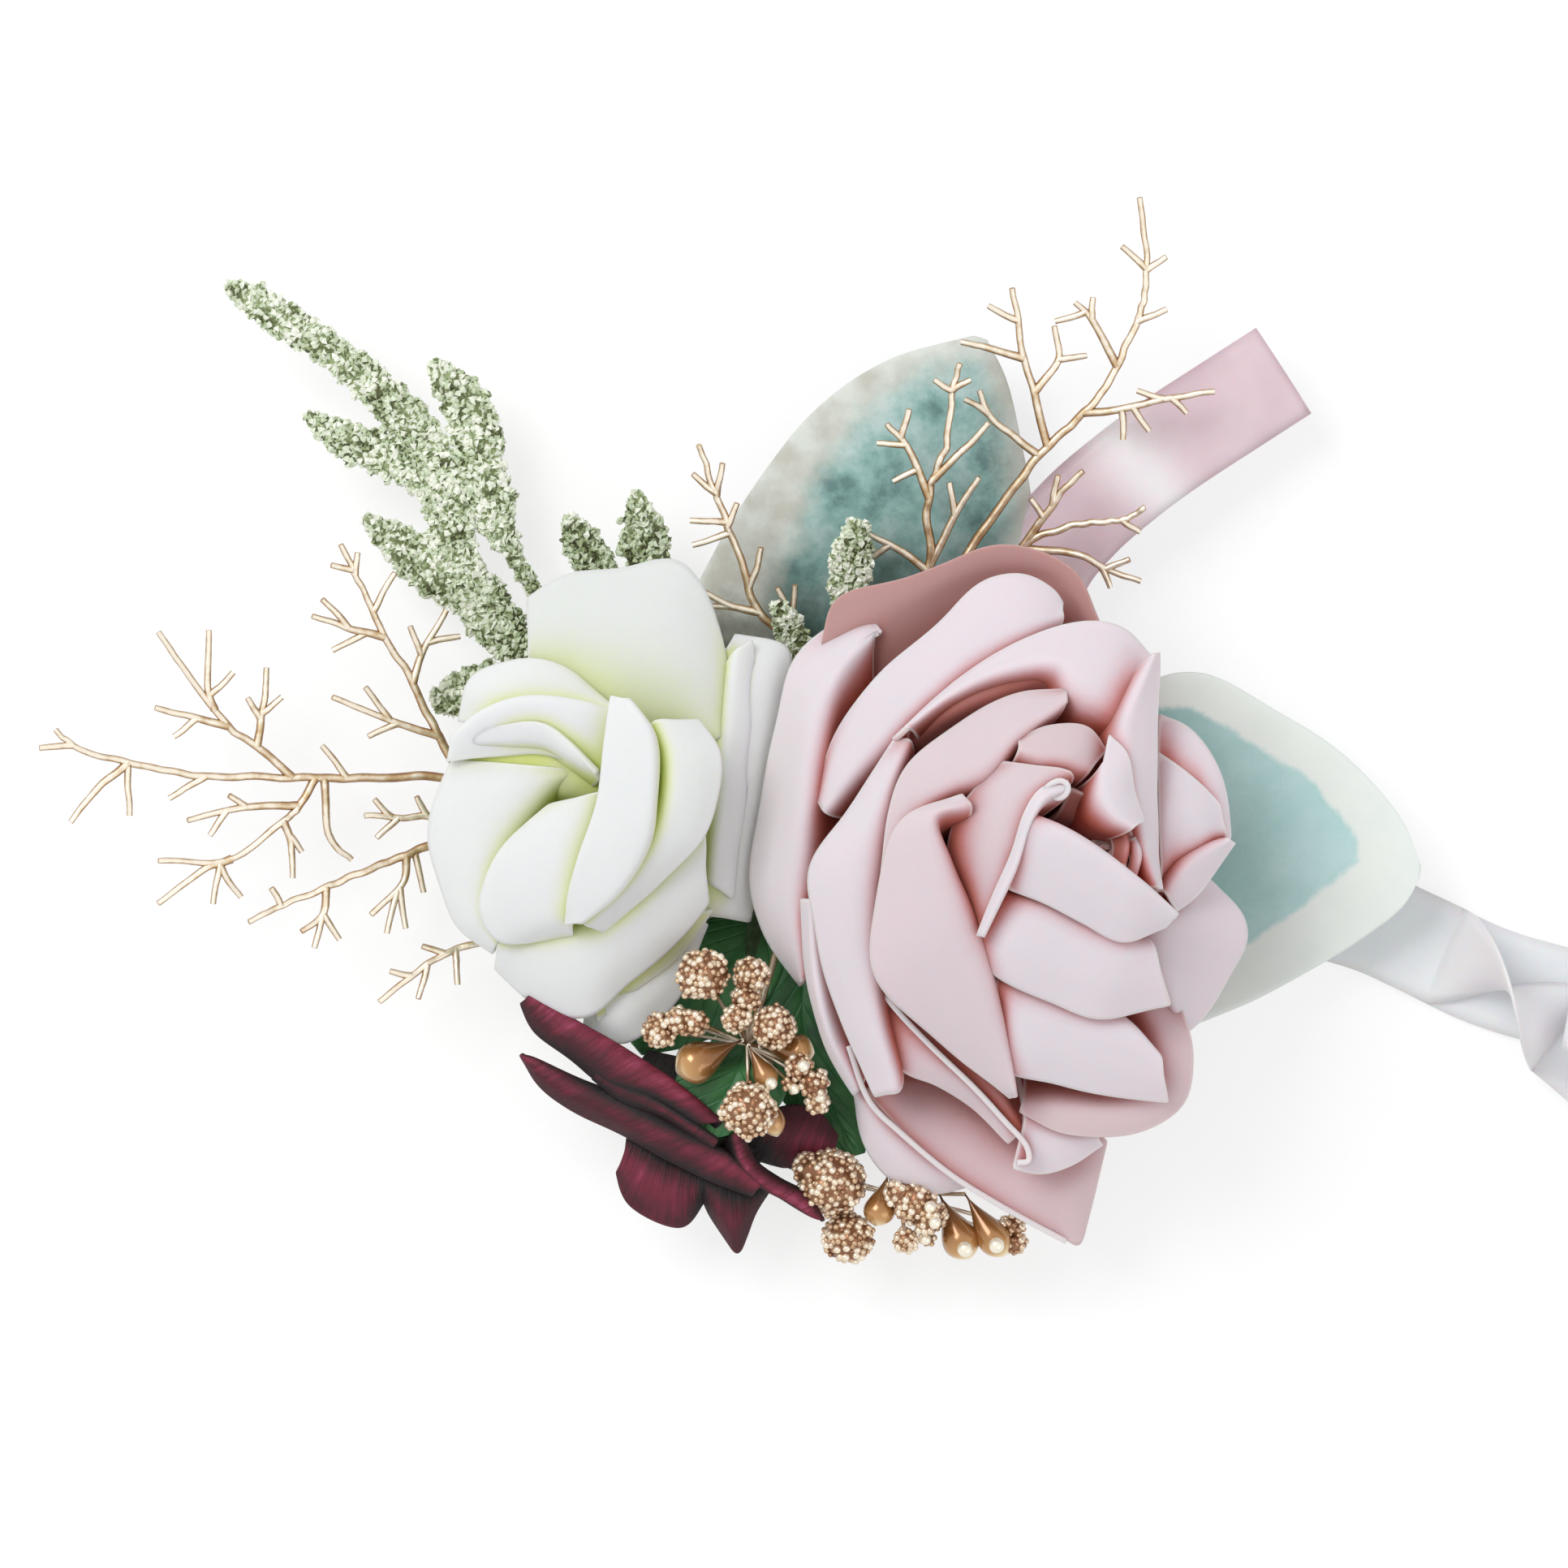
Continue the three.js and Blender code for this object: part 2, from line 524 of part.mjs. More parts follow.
const fernTipPixels = [
  [[1047, 1064, 6], [1052, 870, 8], [1050, 735, 20], [1052, 690, 30], [1060, 640, 14]],
];
placeFern('fern_tip', fernTipRoot, fernTipPixels, FERN_TIP_LENGTH, FERN_TIP_RISE);

// Gold twigs: a main stem and its branches, each a list of pixels from where it forks to its tip.
const TWIG_SIDES = 3;
const BRANCH_RADIUS_SHARE = 0.75;
function nearestOnLines(point, lines) {
  let nearest = null;
  const candidate = new THREE.Vector3();
  for (const line of lines) {
    for (let k = 0; k + 1 < line.length; k += 1) {
      new THREE.Line3(line[k], line[k + 1]).closestPointToPoint(point, true, candidate);
      if (!nearest || candidate.distanceTo(point) < nearest.distanceTo(point)) nearest = candidate.clone();
    }
  }
  return nearest;
}
function placeTwig(name, root, branches, length, rise, power) {
  const at = sprayFrom(root, length, rise, power);
  const lines = [];
  for (const branch of branches) {
    const line = branch.map(([x, y]) => at(x, y));
    if (lines.length) line[0] = nearestOnLines(line[0], lines);
    lines.push(line);
  }
  place(name, (grow) => joined(lines.map((line, k) => taperedTube(
    line, TWIG_RADIUS * (k ? BRANCH_RADIUS_SHARE : 1) + grow, TWIG_TIP_RADIUS + grow, TWIG_SIDES))),
    goldMetal);
}
const leftTwigRoot = { lengthShare: -0.97, side: 0, pixel: [808, 1080], tipPixel: [40, 921] };
const leftTwigPixels = [
  [[808, 1080], [680, 1000], [550, 959], [423, 959], [356, 957], [237, 955], [150, 939], [87, 921],
    [61, 900]],
  [[352, 955], [308, 919], [273, 894], [221, 827], [186, 777]],
  [[380, 960], [360, 993], [344, 1008], [277, 1060], [186, 1062]],
  [[391, 962], [399, 1036], [425, 1062]],
  [[80, 919], [40, 921]],
  [[257, 873], [247, 846], [249, 773]], [[249, 855], [279, 827]],
  [[273, 894], [221, 882], [182, 872]],
  [[308, 919], [316, 870], [322, 821]],
  [[277, 1060], [245, 1072], [186, 1115]], [[262, 1066], [253, 1115]], [[262, 1066], [287, 1107]],
  [[360, 993], [289, 995], [221, 1012]],
  [[340, 1012], [350, 1044], [352, 1084]],
  [[245, 955], [198, 983]], [[150, 939], [111, 973], [77, 1014]], [[148, 940], [150, 1006]],
  [[420, 957], [389, 919]],
];
placeTwig('left_twig', leftTwigRoot, leftTwigPixels, LEFT_TWIG_LENGTH, TWIG_RISE);
const upperLeftTwigRoot = { lengthShare: -0.94, side: 1, pixel: [816, 1064], tipPixel: [415, 669] };
const upperLeftTwigPixels = [
  [[816, 1064], [700, 1000], [560, 945], [534, 906], [514, 866], [494, 823], [467, 783], [455, 751],
    [435, 712], [415, 669]],
  [[455, 751], [482, 704]],
  [[467, 783], [424, 771], [379, 758]], [[424, 771], [393, 736]], [[446, 778], [404, 798]],
  [[502, 840], [516, 800], [545, 749]], [[522, 790], [562, 783]],
  [[534, 906], [474, 886], [403, 858]], [[474, 886], [443, 844]], [[484, 889], [447, 908]],
];
placeTwig('upper_left_twig', upperLeftTwigRoot, upperLeftTwigPixels, UPPER_LEFT_TWIG_LENGTH, TWIG_RISE);
const lowerLeftTwigRoot = { lengthShare: -0.94, side: -1, pixel: [816, 1096], tipPixel: [300, 1137] };
const lowerLeftTwigPixels = [
  [[816, 1096], [680, 1072], [522, 1044], [486, 1058], [439, 1076], [395, 1095], [348, 1115], [300, 1137]],
  [[620, 1060], [532, 1008], [490, 1008], [443, 1006]],
  [[494, 1056], [490, 1091], [451, 1127]], [[484, 1100], [470, 1151]], [[487, 1096], [494, 1147]],
  [[505, 1052], [516, 1103]],
  [[395, 1095], [391, 1131], [364, 1149]],
  [[760, 1087], [690, 1120], [583, 1166], [542, 1178], [500, 1205], [463, 1238]],
  [[520, 1192], [510, 1234]], [[556, 1175], [557, 1216]],
];
placeTwig('lower_left_twig', lowerLeftTwigRoot, lowerLeftTwigPixels, LOWER_LEFT_TWIG_LENGTH, TWIG_RISE);
const middleTwigRoot = { lengthShare: -0.37, side: 1, pixel: [964, 1064], tipPixel: [861, 546] };
const middleTwigPixels = [
  [[964, 1064], [990, 930], [979, 800], [935, 752], [919, 710], [900, 653], [884, 612], [874, 586],
    [861, 546]],
  [[882, 608], [890, 567]], [[896, 640], [850, 640]], [[900, 653], [852, 669]],
  [[924, 722], [938, 672]], [[935, 752], [900, 744], [858, 722]],
  [[975, 792], [979, 717]], [[977, 760], [957, 720]],
];
placeTwig('middle_twig', middleTwigRoot, middleTwigPixels, MIDDLE_TWIG_LENGTH, TOP_TWIG_RISE);
const tallTwigRoot = { lengthShare: 0.12, side: 1, pixel: [1091, 1064], tipPixel: [1407, 238] };
const tallTwigPixels = [
  [[1091, 1064], [1130, 900], [1185, 700], [1240, 613], [1302, 537], [1348, 495], [1382, 441], [1405, 391],
    [1414, 361], [1416, 315], [1407, 238]],
  [[1378, 445], [1348, 388], [1328, 365]],
  [[1294, 545], [1275, 472], [1263, 430], [1256, 384], [1250, 349]], [[1257, 390], [1221, 370]],
  [[1263, 437], [1214, 422], [1187, 416]], [[1279, 478], [1307, 437], [1303, 395]],
  [[1286, 558], [1252, 533], [1221, 506], [1210, 476]],
  [[1340, 505], [1386, 499], [1452, 485], [1503, 478]],
];
placeTwig('tall_twig', tallTwigRoot, tallTwigPixels, TALL_TWIG_LENGTH, TOP_TWIG_RISE, TALL_RISE_POWER);
const centreTwigRoot = { lengthShare: 0, side: 1, pixel: [1060, 1064], tipPixel: [1183, 445] };
const centreTwigPixels = [
  [[1060, 1064], [1095, 900], [1148, 694], [1145, 621], [1152, 587], [1168, 544], [1175, 483], [1183, 445]],
  [[1152, 587], [1194, 548], [1221, 518]], [[1147, 610], [1118, 544], [1095, 518]],
  [[1148, 694], [1183, 625], [1208, 583]], [[1180, 632], [1172, 590]],
  [[1140, 700], [1099, 667], [1072, 655]],
];
placeTwig('centre_twig', centreTwigRoot, centreTwigPixels, CENTRE_TWIG_LENGTH, TOP_TWIG_RISE,
  CENTRE_RISE_POWER);
const rightTwigRoot = { lengthShare: 0.28, side: 1, pixel: [1133, 1064], tipPixel: [1414, 624] };
const rightTwigPixels = [
  [[1133, 1064], [1180, 850], [1262, 672], [1328, 644], [1386, 638], [1414, 624]],
  [[1262, 672], [1328, 680], [1367, 698], [1410, 714]],
  [[1262, 672], [1309, 606], [1337, 579]],
];
placeTwig('right_twig', rightTwigRoot, rightTwigPixels, RIGHT_TWIG_LENGTH, TOP_TWIG_RISE);

// Berry picks: beaded balls [x, y, radius] and drops [x, y, tip x, tip y, radius] on wire stalks, in
// pixels. The last number is the height as a share of the pick's height.
const DROP_STEPS = 4;
function placePick(name, table, length, height) {
  const { lengthShare, side, pixel, tipPixel } = table.root;
  const root = socket(lengthShare, side);
  const scale = length / pixelsBetween(pixel, tipPixel);
  const at = (x, y, share) => new THREE.Vector3(
    root.x + (x - pixel[0]) * scale, root.y + (pixel[1] - y) * scale, share * height);
  const stem = [root, ...table.stalkShares.map(([x, y, share]) => at(x, y, share))];
  const hub = stem.at(-1);
  place(name, (grow) => {
    const solids = [taperedTube(stem, BERRY_STALK_RADIUS + grow, BERRY_STALK_RADIUS + grow, 5)];
    const wire = (end) => solids.push(taperedTube([hub, end], BERRY_STALK_RADIUS + grow,
      BERRY_STALK_RADIUS + grow, 4));
    for (const [x, y, radius, share] of table.ballShares) {
      const centre = at(x, y, share);
      const ball = new THREE.SphereGeometry(radius * scale + grow, 6, 4).translate(...centre);
      solids.push(solidFrom(ball));
      wire(centre);
    }
    for (const [x, y, tipX, tipY, radius, share] of table.dropShares) {
      const [start, end] = [at(x, y, share), at(tipX, tipY, share)];
      const reach = start.distanceTo(end) + 2 * grow;
      const profile = Array.from({ length: DROP_STEPS + 1 }, (_, k) => {
        const t = k / DROP_STEPS;
        const swell = Math.sin(Math.PI * t ** 1.3) * (radius * scale + grow);
        return new THREE.Vector2(k % DROP_STEPS ? swell : 0, t * reach - grow);
      });
      const turn = new THREE.Quaternion().setFromUnitVectors(
        new THREE.Vector3(0, 1, 0), end.clone().sub(start).normalize());
      solids.push(solidFrom(new THREE.LatheGeometry(profile, 6).applyQuaternion(turn).translate(...start)));
      wire(start.clone().lerp(end, 0.5));
    }
    return joined(solids);
  }, goldMetal);
}
const berryPickTable = {
  root: { lengthShare: -0.33, side: -1, pixel: [974, 1096], tipPixel: [919, 1368] },
  stalkShares: [[955, 1180, 0.45], [920, 1300, 0.72]],
  ballShares: [[868, 1205, 33, 0.98], [926, 1212, 27, 0.97], [908, 1256, 20, 0.95], [955, 1267, 30, 0.93],
    [819, 1267, 30, 0.88], [859, 1265, 20, 0.9], [919, 1368, 36, 0.95], [997, 1341, 32, 0.9]],
  dropShares: [[900, 1288, 828, 1318, 19, 0.8], [940, 1300, 1006, 1300, 24, 0.82],
    [940, 1325, 966, 1400, 17, 0.78]],
};
placePick('berry_pick', berryPickTable, BERRY_PICK_LENGTH, BERRY_PICK_HEIGHT);
const lowerBerryPickTable = {
  root: { lengthShare: 0.08, side: -1, pixel: [1080, 1096], tipPixel: [1044, 1533] },
  stalkShares: [[1085, 1250, 0.45], [1105, 1420, 0.6], [1120, 1495, 0.75]],
  ballShares: [[1024, 1462, 42, 0.85], [1044, 1533, 33, 0.75], [1129, 1488, 37, 0.85],
    [1120, 1530, 22, 0.75], [1256, 1533, 25, 0.7]],
  dropShares: [[1160, 1490, 1196, 1562, 21, 0.7], [1180, 1485, 1236, 1558, 19, 0.75],
    [1065, 1490, 1100, 1490, 20, 0.8]],
};
placePick('lower_berry_pick', lowerBerryPickTable, LOWER_PICK_LENGTH, LOWER_PICK_HEIGHT);

const CALYX_BOTTOM = BUNDLE_TOP + CLEARANCE;
const CALYX_TOP = CALYX_BOTTOM + CALYX_DEPTH + CALYX_RIM;
const ROOT_HEIGHT = CALYX_TOP + CLEARANCE;

// A rose: a wire stem with a calyx disc, a rolled core, and petals whose roots stand in rings on the disc.
// A petal runs from its root up to its crest, rolls over and ends at its lip. The tables give the crest
// and the lip in pixels, with the height as a share of the rose's height.
const PROFILE_SHARES = [0, 0.25, 0.5, 0.75, 1];
const PETAL_COLUMNS = 5;
const ROOT_SPREAD_SHARE = 0.6; // a petal's root is narrower than its crest
const BELLY_OUT_SHARE = 0.6; // how far out and how high the belly lies between root and crest
const BELLY_UP_SHARE = 0.5;
const ROLL_ARCH_SHARE = 0.12; // of the width from crest to lip

function petalGrid(rose, layer, crestRow, lipRow) {
  const rootRadius = rose.coreRadius + CLEARANCE + rose.thickness / 2 + layer * (rose.thickness + CLEARANCE);
  const curve = (row) => new THREE.CatmullRomCurve3(
    row.map(([x, y, share]) => rose.plan(x, y, share * rose.height)), false, 'centripetal');
  const [crestCurve, lipCurve] = [curve(crestRow), curve(lipRow)];
  const axisAt = (z) => rose.base.clone().lerp(rose.top, (z - rose.base.z) / (rose.top.z - rose.base.z));
  const polar = (p) => {
    const away = p.clone().sub(axisAt(p.z));
    return { turn: Math.atan2(away.y, away.x), radius: Math.hypot(away.x, away.y) };
  };
  const middleTurn = polar(crestCurve.getPoint(0.5)).turn;
  const onAxis = (turn, radius, z) => axisAt(z).add(
    new THREE.Vector3(radius * Math.cos(turn), radius * Math.sin(turn), 0));
  return Array.from({ length: PETAL_COLUMNS + 1 }, (_, i) => {
    const share = i / PETAL_COLUMNS;
    const crest = crestCurve.getPoint(share);
    const lip = lipCurve.getPoint(share);
    const { turn, radius } = polar(crest);
    let off = turn - middleTurn;
    off -= 2 * Math.PI * Math.round(off / (2 * Math.PI));
    const root = onAxis(middleTurn + ROOT_SPREAD_SHARE * off, rootRadius, ROOT_HEIGHT);
    const belly = onAxis(middleTurn + ((1 + ROOT_SPREAD_SHARE) / 2) * off,
      THREE.MathUtils.lerp(rootRadius, radius, BELLY_OUT_SHARE),
      THREE.MathUtils.lerp(ROOT_HEIGHT, crest.z, BELLY_UP_SHARE));
    const roll = crest.clone().lerp(lip, 0.5);
    roll.z += ROLL_ARCH_SHARE * crest.distanceTo(lip);
    const profile = new THREE.CatmullRomCurve3([root, belly, crest, roll, lip], false, 'centripetal');
    return PROFILE_SHARES.map((t) => profile.getPoint(t));
  });
}

function placeRose(name, rose, finish) {
  const base = rose.base;
  const rim = rose.rimRadius;
  place(`${name}_stem_and_calyx`, (grow) => {
    const bottom = CALYX_BOTTOM - grow;
    const top = CALYX_TOP + grow;
    const profile = [
      [0, bottom], [STEM_RADIUS + grow, bottom], [rim + grow, bottom + CALYX_DEPTH],
      [rim + grow, top], [0, top]].map(([r, z]) => new THREE.Vector2(r, z));
    const disc = new THREE.LatheGeometry(profile, 16).rotateX(Math.PI / 2).translate(base.x, base.y, 0);
    const stem = rod([new THREE.Vector3(base.x, base.y, CALYX_BOTTOM + CALYX_DEPTH / 2), ...rose.stem],
      STEM_RADIUS + grow, 6, 8);
    return solidFrom(disc).add(stem);
  }, tapeGreen);
  if (rose.coreTipRadius) place(`${name}_core`, (grow) => {
    const path = [0, 0.5, 1].map((t) => base.clone().lerp(rose.top, t));
    path[0].z -= grow;
    path[2] = beyond(path[1], path[2], grow);
    return taperedTube(path, rose.coreRadius + grow, rose.coreTipRadius + grow, 10);
  }, finish);
  for (const [petal, layer, crestRow, lipRow] of rose.petals) {
    const grid = petalGrid(rose, layer, crestRow, lipRow);
    place(`${name}_petal_${petal}`, (grow) => sheet(grid, rose.thickness, grow), finish);
  }
}

const rose = (settings) => {
  const { pixels } = settings;
  const top = plan(pixels.anchor, settings.span, ...pixels.ends);
  return {
    ...settings,
    plan: top,
    base: top(...pixels.base, ROOT_HEIGHT),
    top: top(...pixels.top, settings.topShare * settings.height),
    stem: pixels.stem.map(([x, y], k) => sprayPlan(x, y, settings.stemHeights[k])),
  };
};

// Pink rose: petals from the heart outward, as [name, ring, crest, lip].
const pinkPetalShares = [
  ['heart', 0, [[1352, 948, 0.9], [1346, 985, 0.92], [1366, 1008, 0.93], [1390, 1020, 0.92]],
    [[1362, 906, 0.86], [1383, 930, 0.88], [1392, 975, 0.88], [1402, 1012, 0.88]]],
  ['heart_top', 1, [[1252, 926, 0.86], [1280, 938, 0.88], [1308, 947, 0.88], [1338, 952, 0.87]],
    [[1254, 914, 0.83], [1290, 895, 0.84], [1335, 895, 0.84], [1360, 926, 0.83]]],
  ['inner_left', 0, [[1318, 952, 0.9], [1280, 982, 0.91], [1254, 1040, 0.9], [1228, 1110, 0.86],
    [1208, 1150, 0.82]],
    [[1232, 936, 0.83], [1185, 990, 0.8], [1166, 1050, 0.78], [1182, 1110, 0.76], [1200, 1160, 0.74]]],
  ['upper_band', 1, [[1274, 1001, 0.96], [1310, 1022, 0.97], [1350, 1046, 0.96], [1395, 1080, 0.94],
    [1446, 1124, 0.88]],
    [[1247, 1092, 0.88], [1285, 1110, 0.88], [1330, 1135, 0.87], [1380, 1158, 0.86], [1430, 1138, 0.85]]],
  ['middle_band', 2, [[1240, 1096, 0.84], [1285, 1110, 0.85], [1330, 1130, 0.84], [1380, 1150, 0.83],
    [1415, 1160, 0.8]],
    [[1206, 1168, 0.78], [1232, 1200, 0.77], [1290, 1232, 0.76], [1350, 1252, 0.75], [1440, 1236, 0.72]]],
  ['tongue', 2, [[1195, 992, 0.86], [1150, 1005, 0.87], [1165, 1060, 0.86], [1195, 1130, 0.83],
    [1225, 1225, 0.76], [1252, 1350, 0.64]],
    [[1182, 978, 0.84], [1108, 1015, 0.8], [1079, 1110, 0.76], [1078, 1200, 0.72], [1150, 1275, 0.67],
      [1243, 1352, 0.61]]],
  ['right_lip', 1, [[1414, 838, 0.8], [1381, 900, 0.85], [1381, 940, 0.86], [1390, 995, 0.86],
    [1408, 1060, 0.84], [1418, 1092, 0.82]],
    [[1422, 850, 0.76], [1420, 900, 0.78], [1419, 950, 0.79], [1419, 1000, 0.79], [1421, 1050, 0.78],
      [1427, 1096, 0.78]]],
  ['lower_band', 3, [[1225, 1205, 0.73], [1270, 1220, 0.73], [1325, 1240, 0.72], [1385, 1258, 0.71],
    [1428, 1300, 0.68]],
    [[1229, 1255, 0.67], [1236, 1315, 0.65], [1300, 1333, 0.64], [1370, 1350, 0.63], [1441, 1356, 0.61]]],
  ['top_inner', 3, [[1120, 1045, 0.77], [1142, 998, 0.79], [1180, 973, 0.81], [1215, 955, 0.83],
    [1252, 912, 0.84], [1311, 867, 0.82]],
    [[1085, 1085, 0.74], [1096, 1000, 0.74], [1115, 935, 0.74], [1180, 877, 0.75], [1250, 843, 0.77],
      [1316, 846, 0.77]]],
  ['right_cup', 2, [[1422, 1085, 0.76], [1436, 1045, 0.76], [1470, 1012, 0.75], [1500, 1008, 0.71]],
    [[1424, 880, 0.68], [1462, 902, 0.67], [1497, 942, 0.66], [1513, 1012, 0.67]]],
  ['right_roll', 3, [[1430, 1098, 0.74], [1455, 1066, 0.74], [1482, 1046, 0.72], [1511, 1033, 0.7]],
    [[1447, 1122, 0.69], [1468, 1106, 0.68], [1489, 1080, 0.67], [1518, 1038, 0.66]]],
  ['top_middle', 4, [[1118, 897, 0.71], [1170, 859, 0.73], [1235, 829, 0.75], [1302, 822, 0.77],
    [1322, 865, 0.79], [1376, 893, 0.79]],
    [[1098, 912, 0.65], [1150, 866, 0.67], [1230, 806, 0.69], [1303, 773, 0.7], [1380, 775, 0.71],
      [1420, 815, 0.71]]],
  ['left_inner', 4, [[1122, 912, 0.68], [1101, 965, 0.7], [1085, 1050, 0.7], [1078, 1130, 0.68],
    [1083, 1245, 0.62], [1109, 1345, 0.54]],
    [[1104, 906, 0.64], [1050, 995, 0.62], [998, 1070, 0.6], [1008, 1160, 0.58], [1040, 1265, 0.54],
      [1078, 1352, 0.5]]],
  ['curled_strip', 5, [[1086, 1212, 0.61], [1135, 1256, 0.61], [1185, 1308, 0.59], [1228, 1352, 0.56],
    [1262, 1395, 0.52]],
    [[1088, 1290, 0.54], [1115, 1318, 0.52], [1165, 1345, 0.5], [1208, 1372, 0.48], [1254, 1430, 0.46]]],
  ['lower_open', 4, [[1262, 1352, 0.46], [1310, 1355, 0.46], [1370, 1352, 0.46], [1418, 1330, 0.47],
    [1425, 1280, 0.5]],
    [[1256, 1372, 0.52], [1310, 1398, 0.53], [1390, 1398, 0.54], [1470, 1355, 0.55], [1450, 1266, 0.56]]],
  ['right_outer', 5, [[1478, 1080, 0.6], [1440, 1122, 0.64], [1412, 1152, 0.65], [1420, 1190, 0.64],
    [1438, 1225, 0.6], [1446, 1258, 0.56]],
    [[1490, 1086, 0.57], [1530, 1125, 0.55], [1536, 1155, 0.54], [1512, 1205, 0.52], [1480, 1255, 0.51],
      [1455, 1276, 0.51]]],
  ['top_outer', 5, [[1018, 1002, 0.55], [1062, 950, 0.59], [1120, 898, 0.63], [1195, 838, 0.66],
    [1262, 790, 0.67], [1315, 752, 0.66]],
    [[1008, 985, 0.5], [1025, 912, 0.52], [1083, 834, 0.56], [1160, 765, 0.59], [1215, 713, 0.61],
      [1300, 722, 0.62]]],
  ['left_outer', 6, [[1083, 779, 0.5], [1040, 850, 0.52], [1006, 960, 0.53], [994, 1060, 0.52],
    [990, 1130, 0.5], [990, 1210, 0.46]],
    [[1076, 761, 0.46], [985, 806, 0.42], [955, 933, 0.4], [942, 1080, 0.38], [923, 1155, 0.36],
      [986, 1216, 0.38]]],
  ['back', 6, [[1035, 835, 0.44], [1070, 795, 0.46], [1130, 755, 0.48], [1220, 715, 0.5], [1290, 715, 0.51],
    [1338, 775, 0.53]],
    [[1010, 792, 0.46], [1030, 737, 0.47], [1120, 710, 0.5], [1235, 671, 0.53], [1320, 697, 0.54],
      [1358, 770, 0.55]]],
  ['bottom_tip', 6, [[1095, 1342, 0.4], [1145, 1348, 0.4], [1205, 1368, 0.39], [1262, 1402, 0.38],
    [1312, 1408, 0.37], [1356, 1396, 0.38]],
    [[1077, 1356, 0.41], [1130, 1387, 0.39], [1195, 1448, 0.36], [1262, 1501, 0.33], [1331, 1541, 0.3],
      [1367, 1408, 0.37]]],
  ['bottom_left', 7, [[1050, 1335, 0.38], [1085, 1368, 0.37], [1120, 1395, 0.36], [1160, 1430, 0.34],
    [1198, 1458, 0.32]],
    [[1056, 1350, 0.34], [1066, 1412, 0.31], [1098, 1456, 0.29], [1150, 1477, 0.28], [1200, 1466, 0.29]]],
];
const PINK_RINGS = 8;
const pinkRose = rose({
  span: PINK_ROSE_SPAN,
  pixels: {
    anchor: [1240, 1108], ends: [[926, 1155], [1536, 1155]], base: [1240, 1110], top: [1387, 1032],
      stem: [[1232, 1096], [1215, 1083]],
  },
  stemHeights: [BUNDLE_TOP, BUNDLE_HEIGHT + STEM_RADIUS],
  topShare: 0.93,
  height: PINK_ROSE_HEIGHT,
  coreRadius: PINK_CORE_RADIUS,
  coreTipRadius: PINK_CORE_TIP_RADIUS,
  rimRadius: PINK_CORE_RADIUS + PINK_RINGS * (FOAM_THICKNESS + CLEARANCE),
  thickness: FOAM_THICKNESS,
  petals: pinkPetalShares,
});
placeRose('pink_rose', pinkRose, pinkFoam);

// White rose, from the centre outward.
const whitePetalShares = [
  ['centre_roll', 0, [[772, 864, 0.92], [800, 905, 0.95], [802, 985, 0.96], [795, 1040, 0.93],
    [758, 1100, 0.88], [713, 1133, 0.8]],
    [[757, 862, 0.88], [748, 920, 0.9], [745, 985, 0.9], [722, 1050, 0.87], [700, 1105, 0.82],
      [700, 1138, 0.77]]],
  ['right_inner', 1, [[806, 893, 0.88], [822, 930, 0.9], [820, 985, 0.9], [806, 1030, 0.88],
    [775, 1078, 0.84], [722, 1133, 0.76]],
    [[858, 888, 0.82], [880, 920, 0.83], [870, 985, 0.83], [846, 1020, 0.82], [800, 1066, 0.78],
      [735, 1146, 0.7]]],
  ['left_face', 1, [[737, 985, 0.84], [724, 1040, 0.83], [706, 1090, 0.8], [697, 1130, 0.77]],
    [[690, 985, 0.76], [625, 1045, 0.72], [602, 1120, 0.67], [650, 1178, 0.64], [716, 1152, 0.66]]],
  ['left_mouth', 2, [[737, 884, 0.82], [690, 868, 0.82], [640, 864, 0.79], [598, 878, 0.75],
    [562, 912, 0.7]],
    [[740, 956, 0.8], [706, 944, 0.78], [680, 928, 0.75], [610, 936, 0.7], [552, 942, 0.66]]],
  ['left_outer', 3, [[720, 972, 0.74], [680, 990, 0.72], [640, 1032, 0.68], [606, 1075, 0.65],
    [594, 1130, 0.62], [604, 1168, 0.58]],
    [[552, 956, 0.62], [532, 1005, 0.59], [525, 1040, 0.57], [538, 1090, 0.55], [556, 1140, 0.53],
      [606, 1173, 0.53]]],
  ['lower_right', 3, [[852, 1022, 0.76], [808, 1070, 0.74], [768, 1118, 0.71], [730, 1156, 0.67],
    [685, 1178, 0.63], [622, 1184, 0.58]],
    [[862, 1105, 0.62], [835, 1135, 0.59], [790, 1185, 0.55], [742, 1250, 0.51], [690, 1257, 0.49],
      [610, 1200, 0.49]]],
  ['upper_left', 4, [[694, 838, 0.66], [650, 848, 0.65], [612, 856, 0.62], [590, 876, 0.6],
    [574, 898, 0.58]],
    [[680, 812, 0.6], [641, 812, 0.58], [580, 828, 0.55], [565, 868, 0.53], [560, 908, 0.52]]],
  ['top_back', 4, [[652, 800, 0.62], [695, 815, 0.67], [735, 838, 0.71], [785, 845, 0.73], [840, 856, 0.72],
    [890, 898, 0.66]],
    [[645, 735, 0.5], [694, 709, 0.53], [760, 702, 0.56], [830, 688, 0.58], [882, 770, 0.58],
      [899, 885, 0.56]]],
  ['right_back', 5, [[900, 800, 0.56], [904, 850, 0.58], [900, 920, 0.59], [895, 980, 0.58],
    [888, 1040, 0.56], [872, 1120, 0.5]],
    [[905, 778, 0.5], [968, 800, 0.5], [950, 870, 0.5], [938, 960, 0.49], [930, 1050, 0.47],
      [926, 1146, 0.42]]],
  ['bottom_outer', 5, [[738, 1240, 0.46], [770, 1205, 0.49], [805, 1170, 0.5], [846, 1130, 0.5]],
    [[720, 1274, 0.4], [765, 1290, 0.39], [822, 1236, 0.41], [843, 1160, 0.43]]],
];
const WHITE_RINGS = 6;
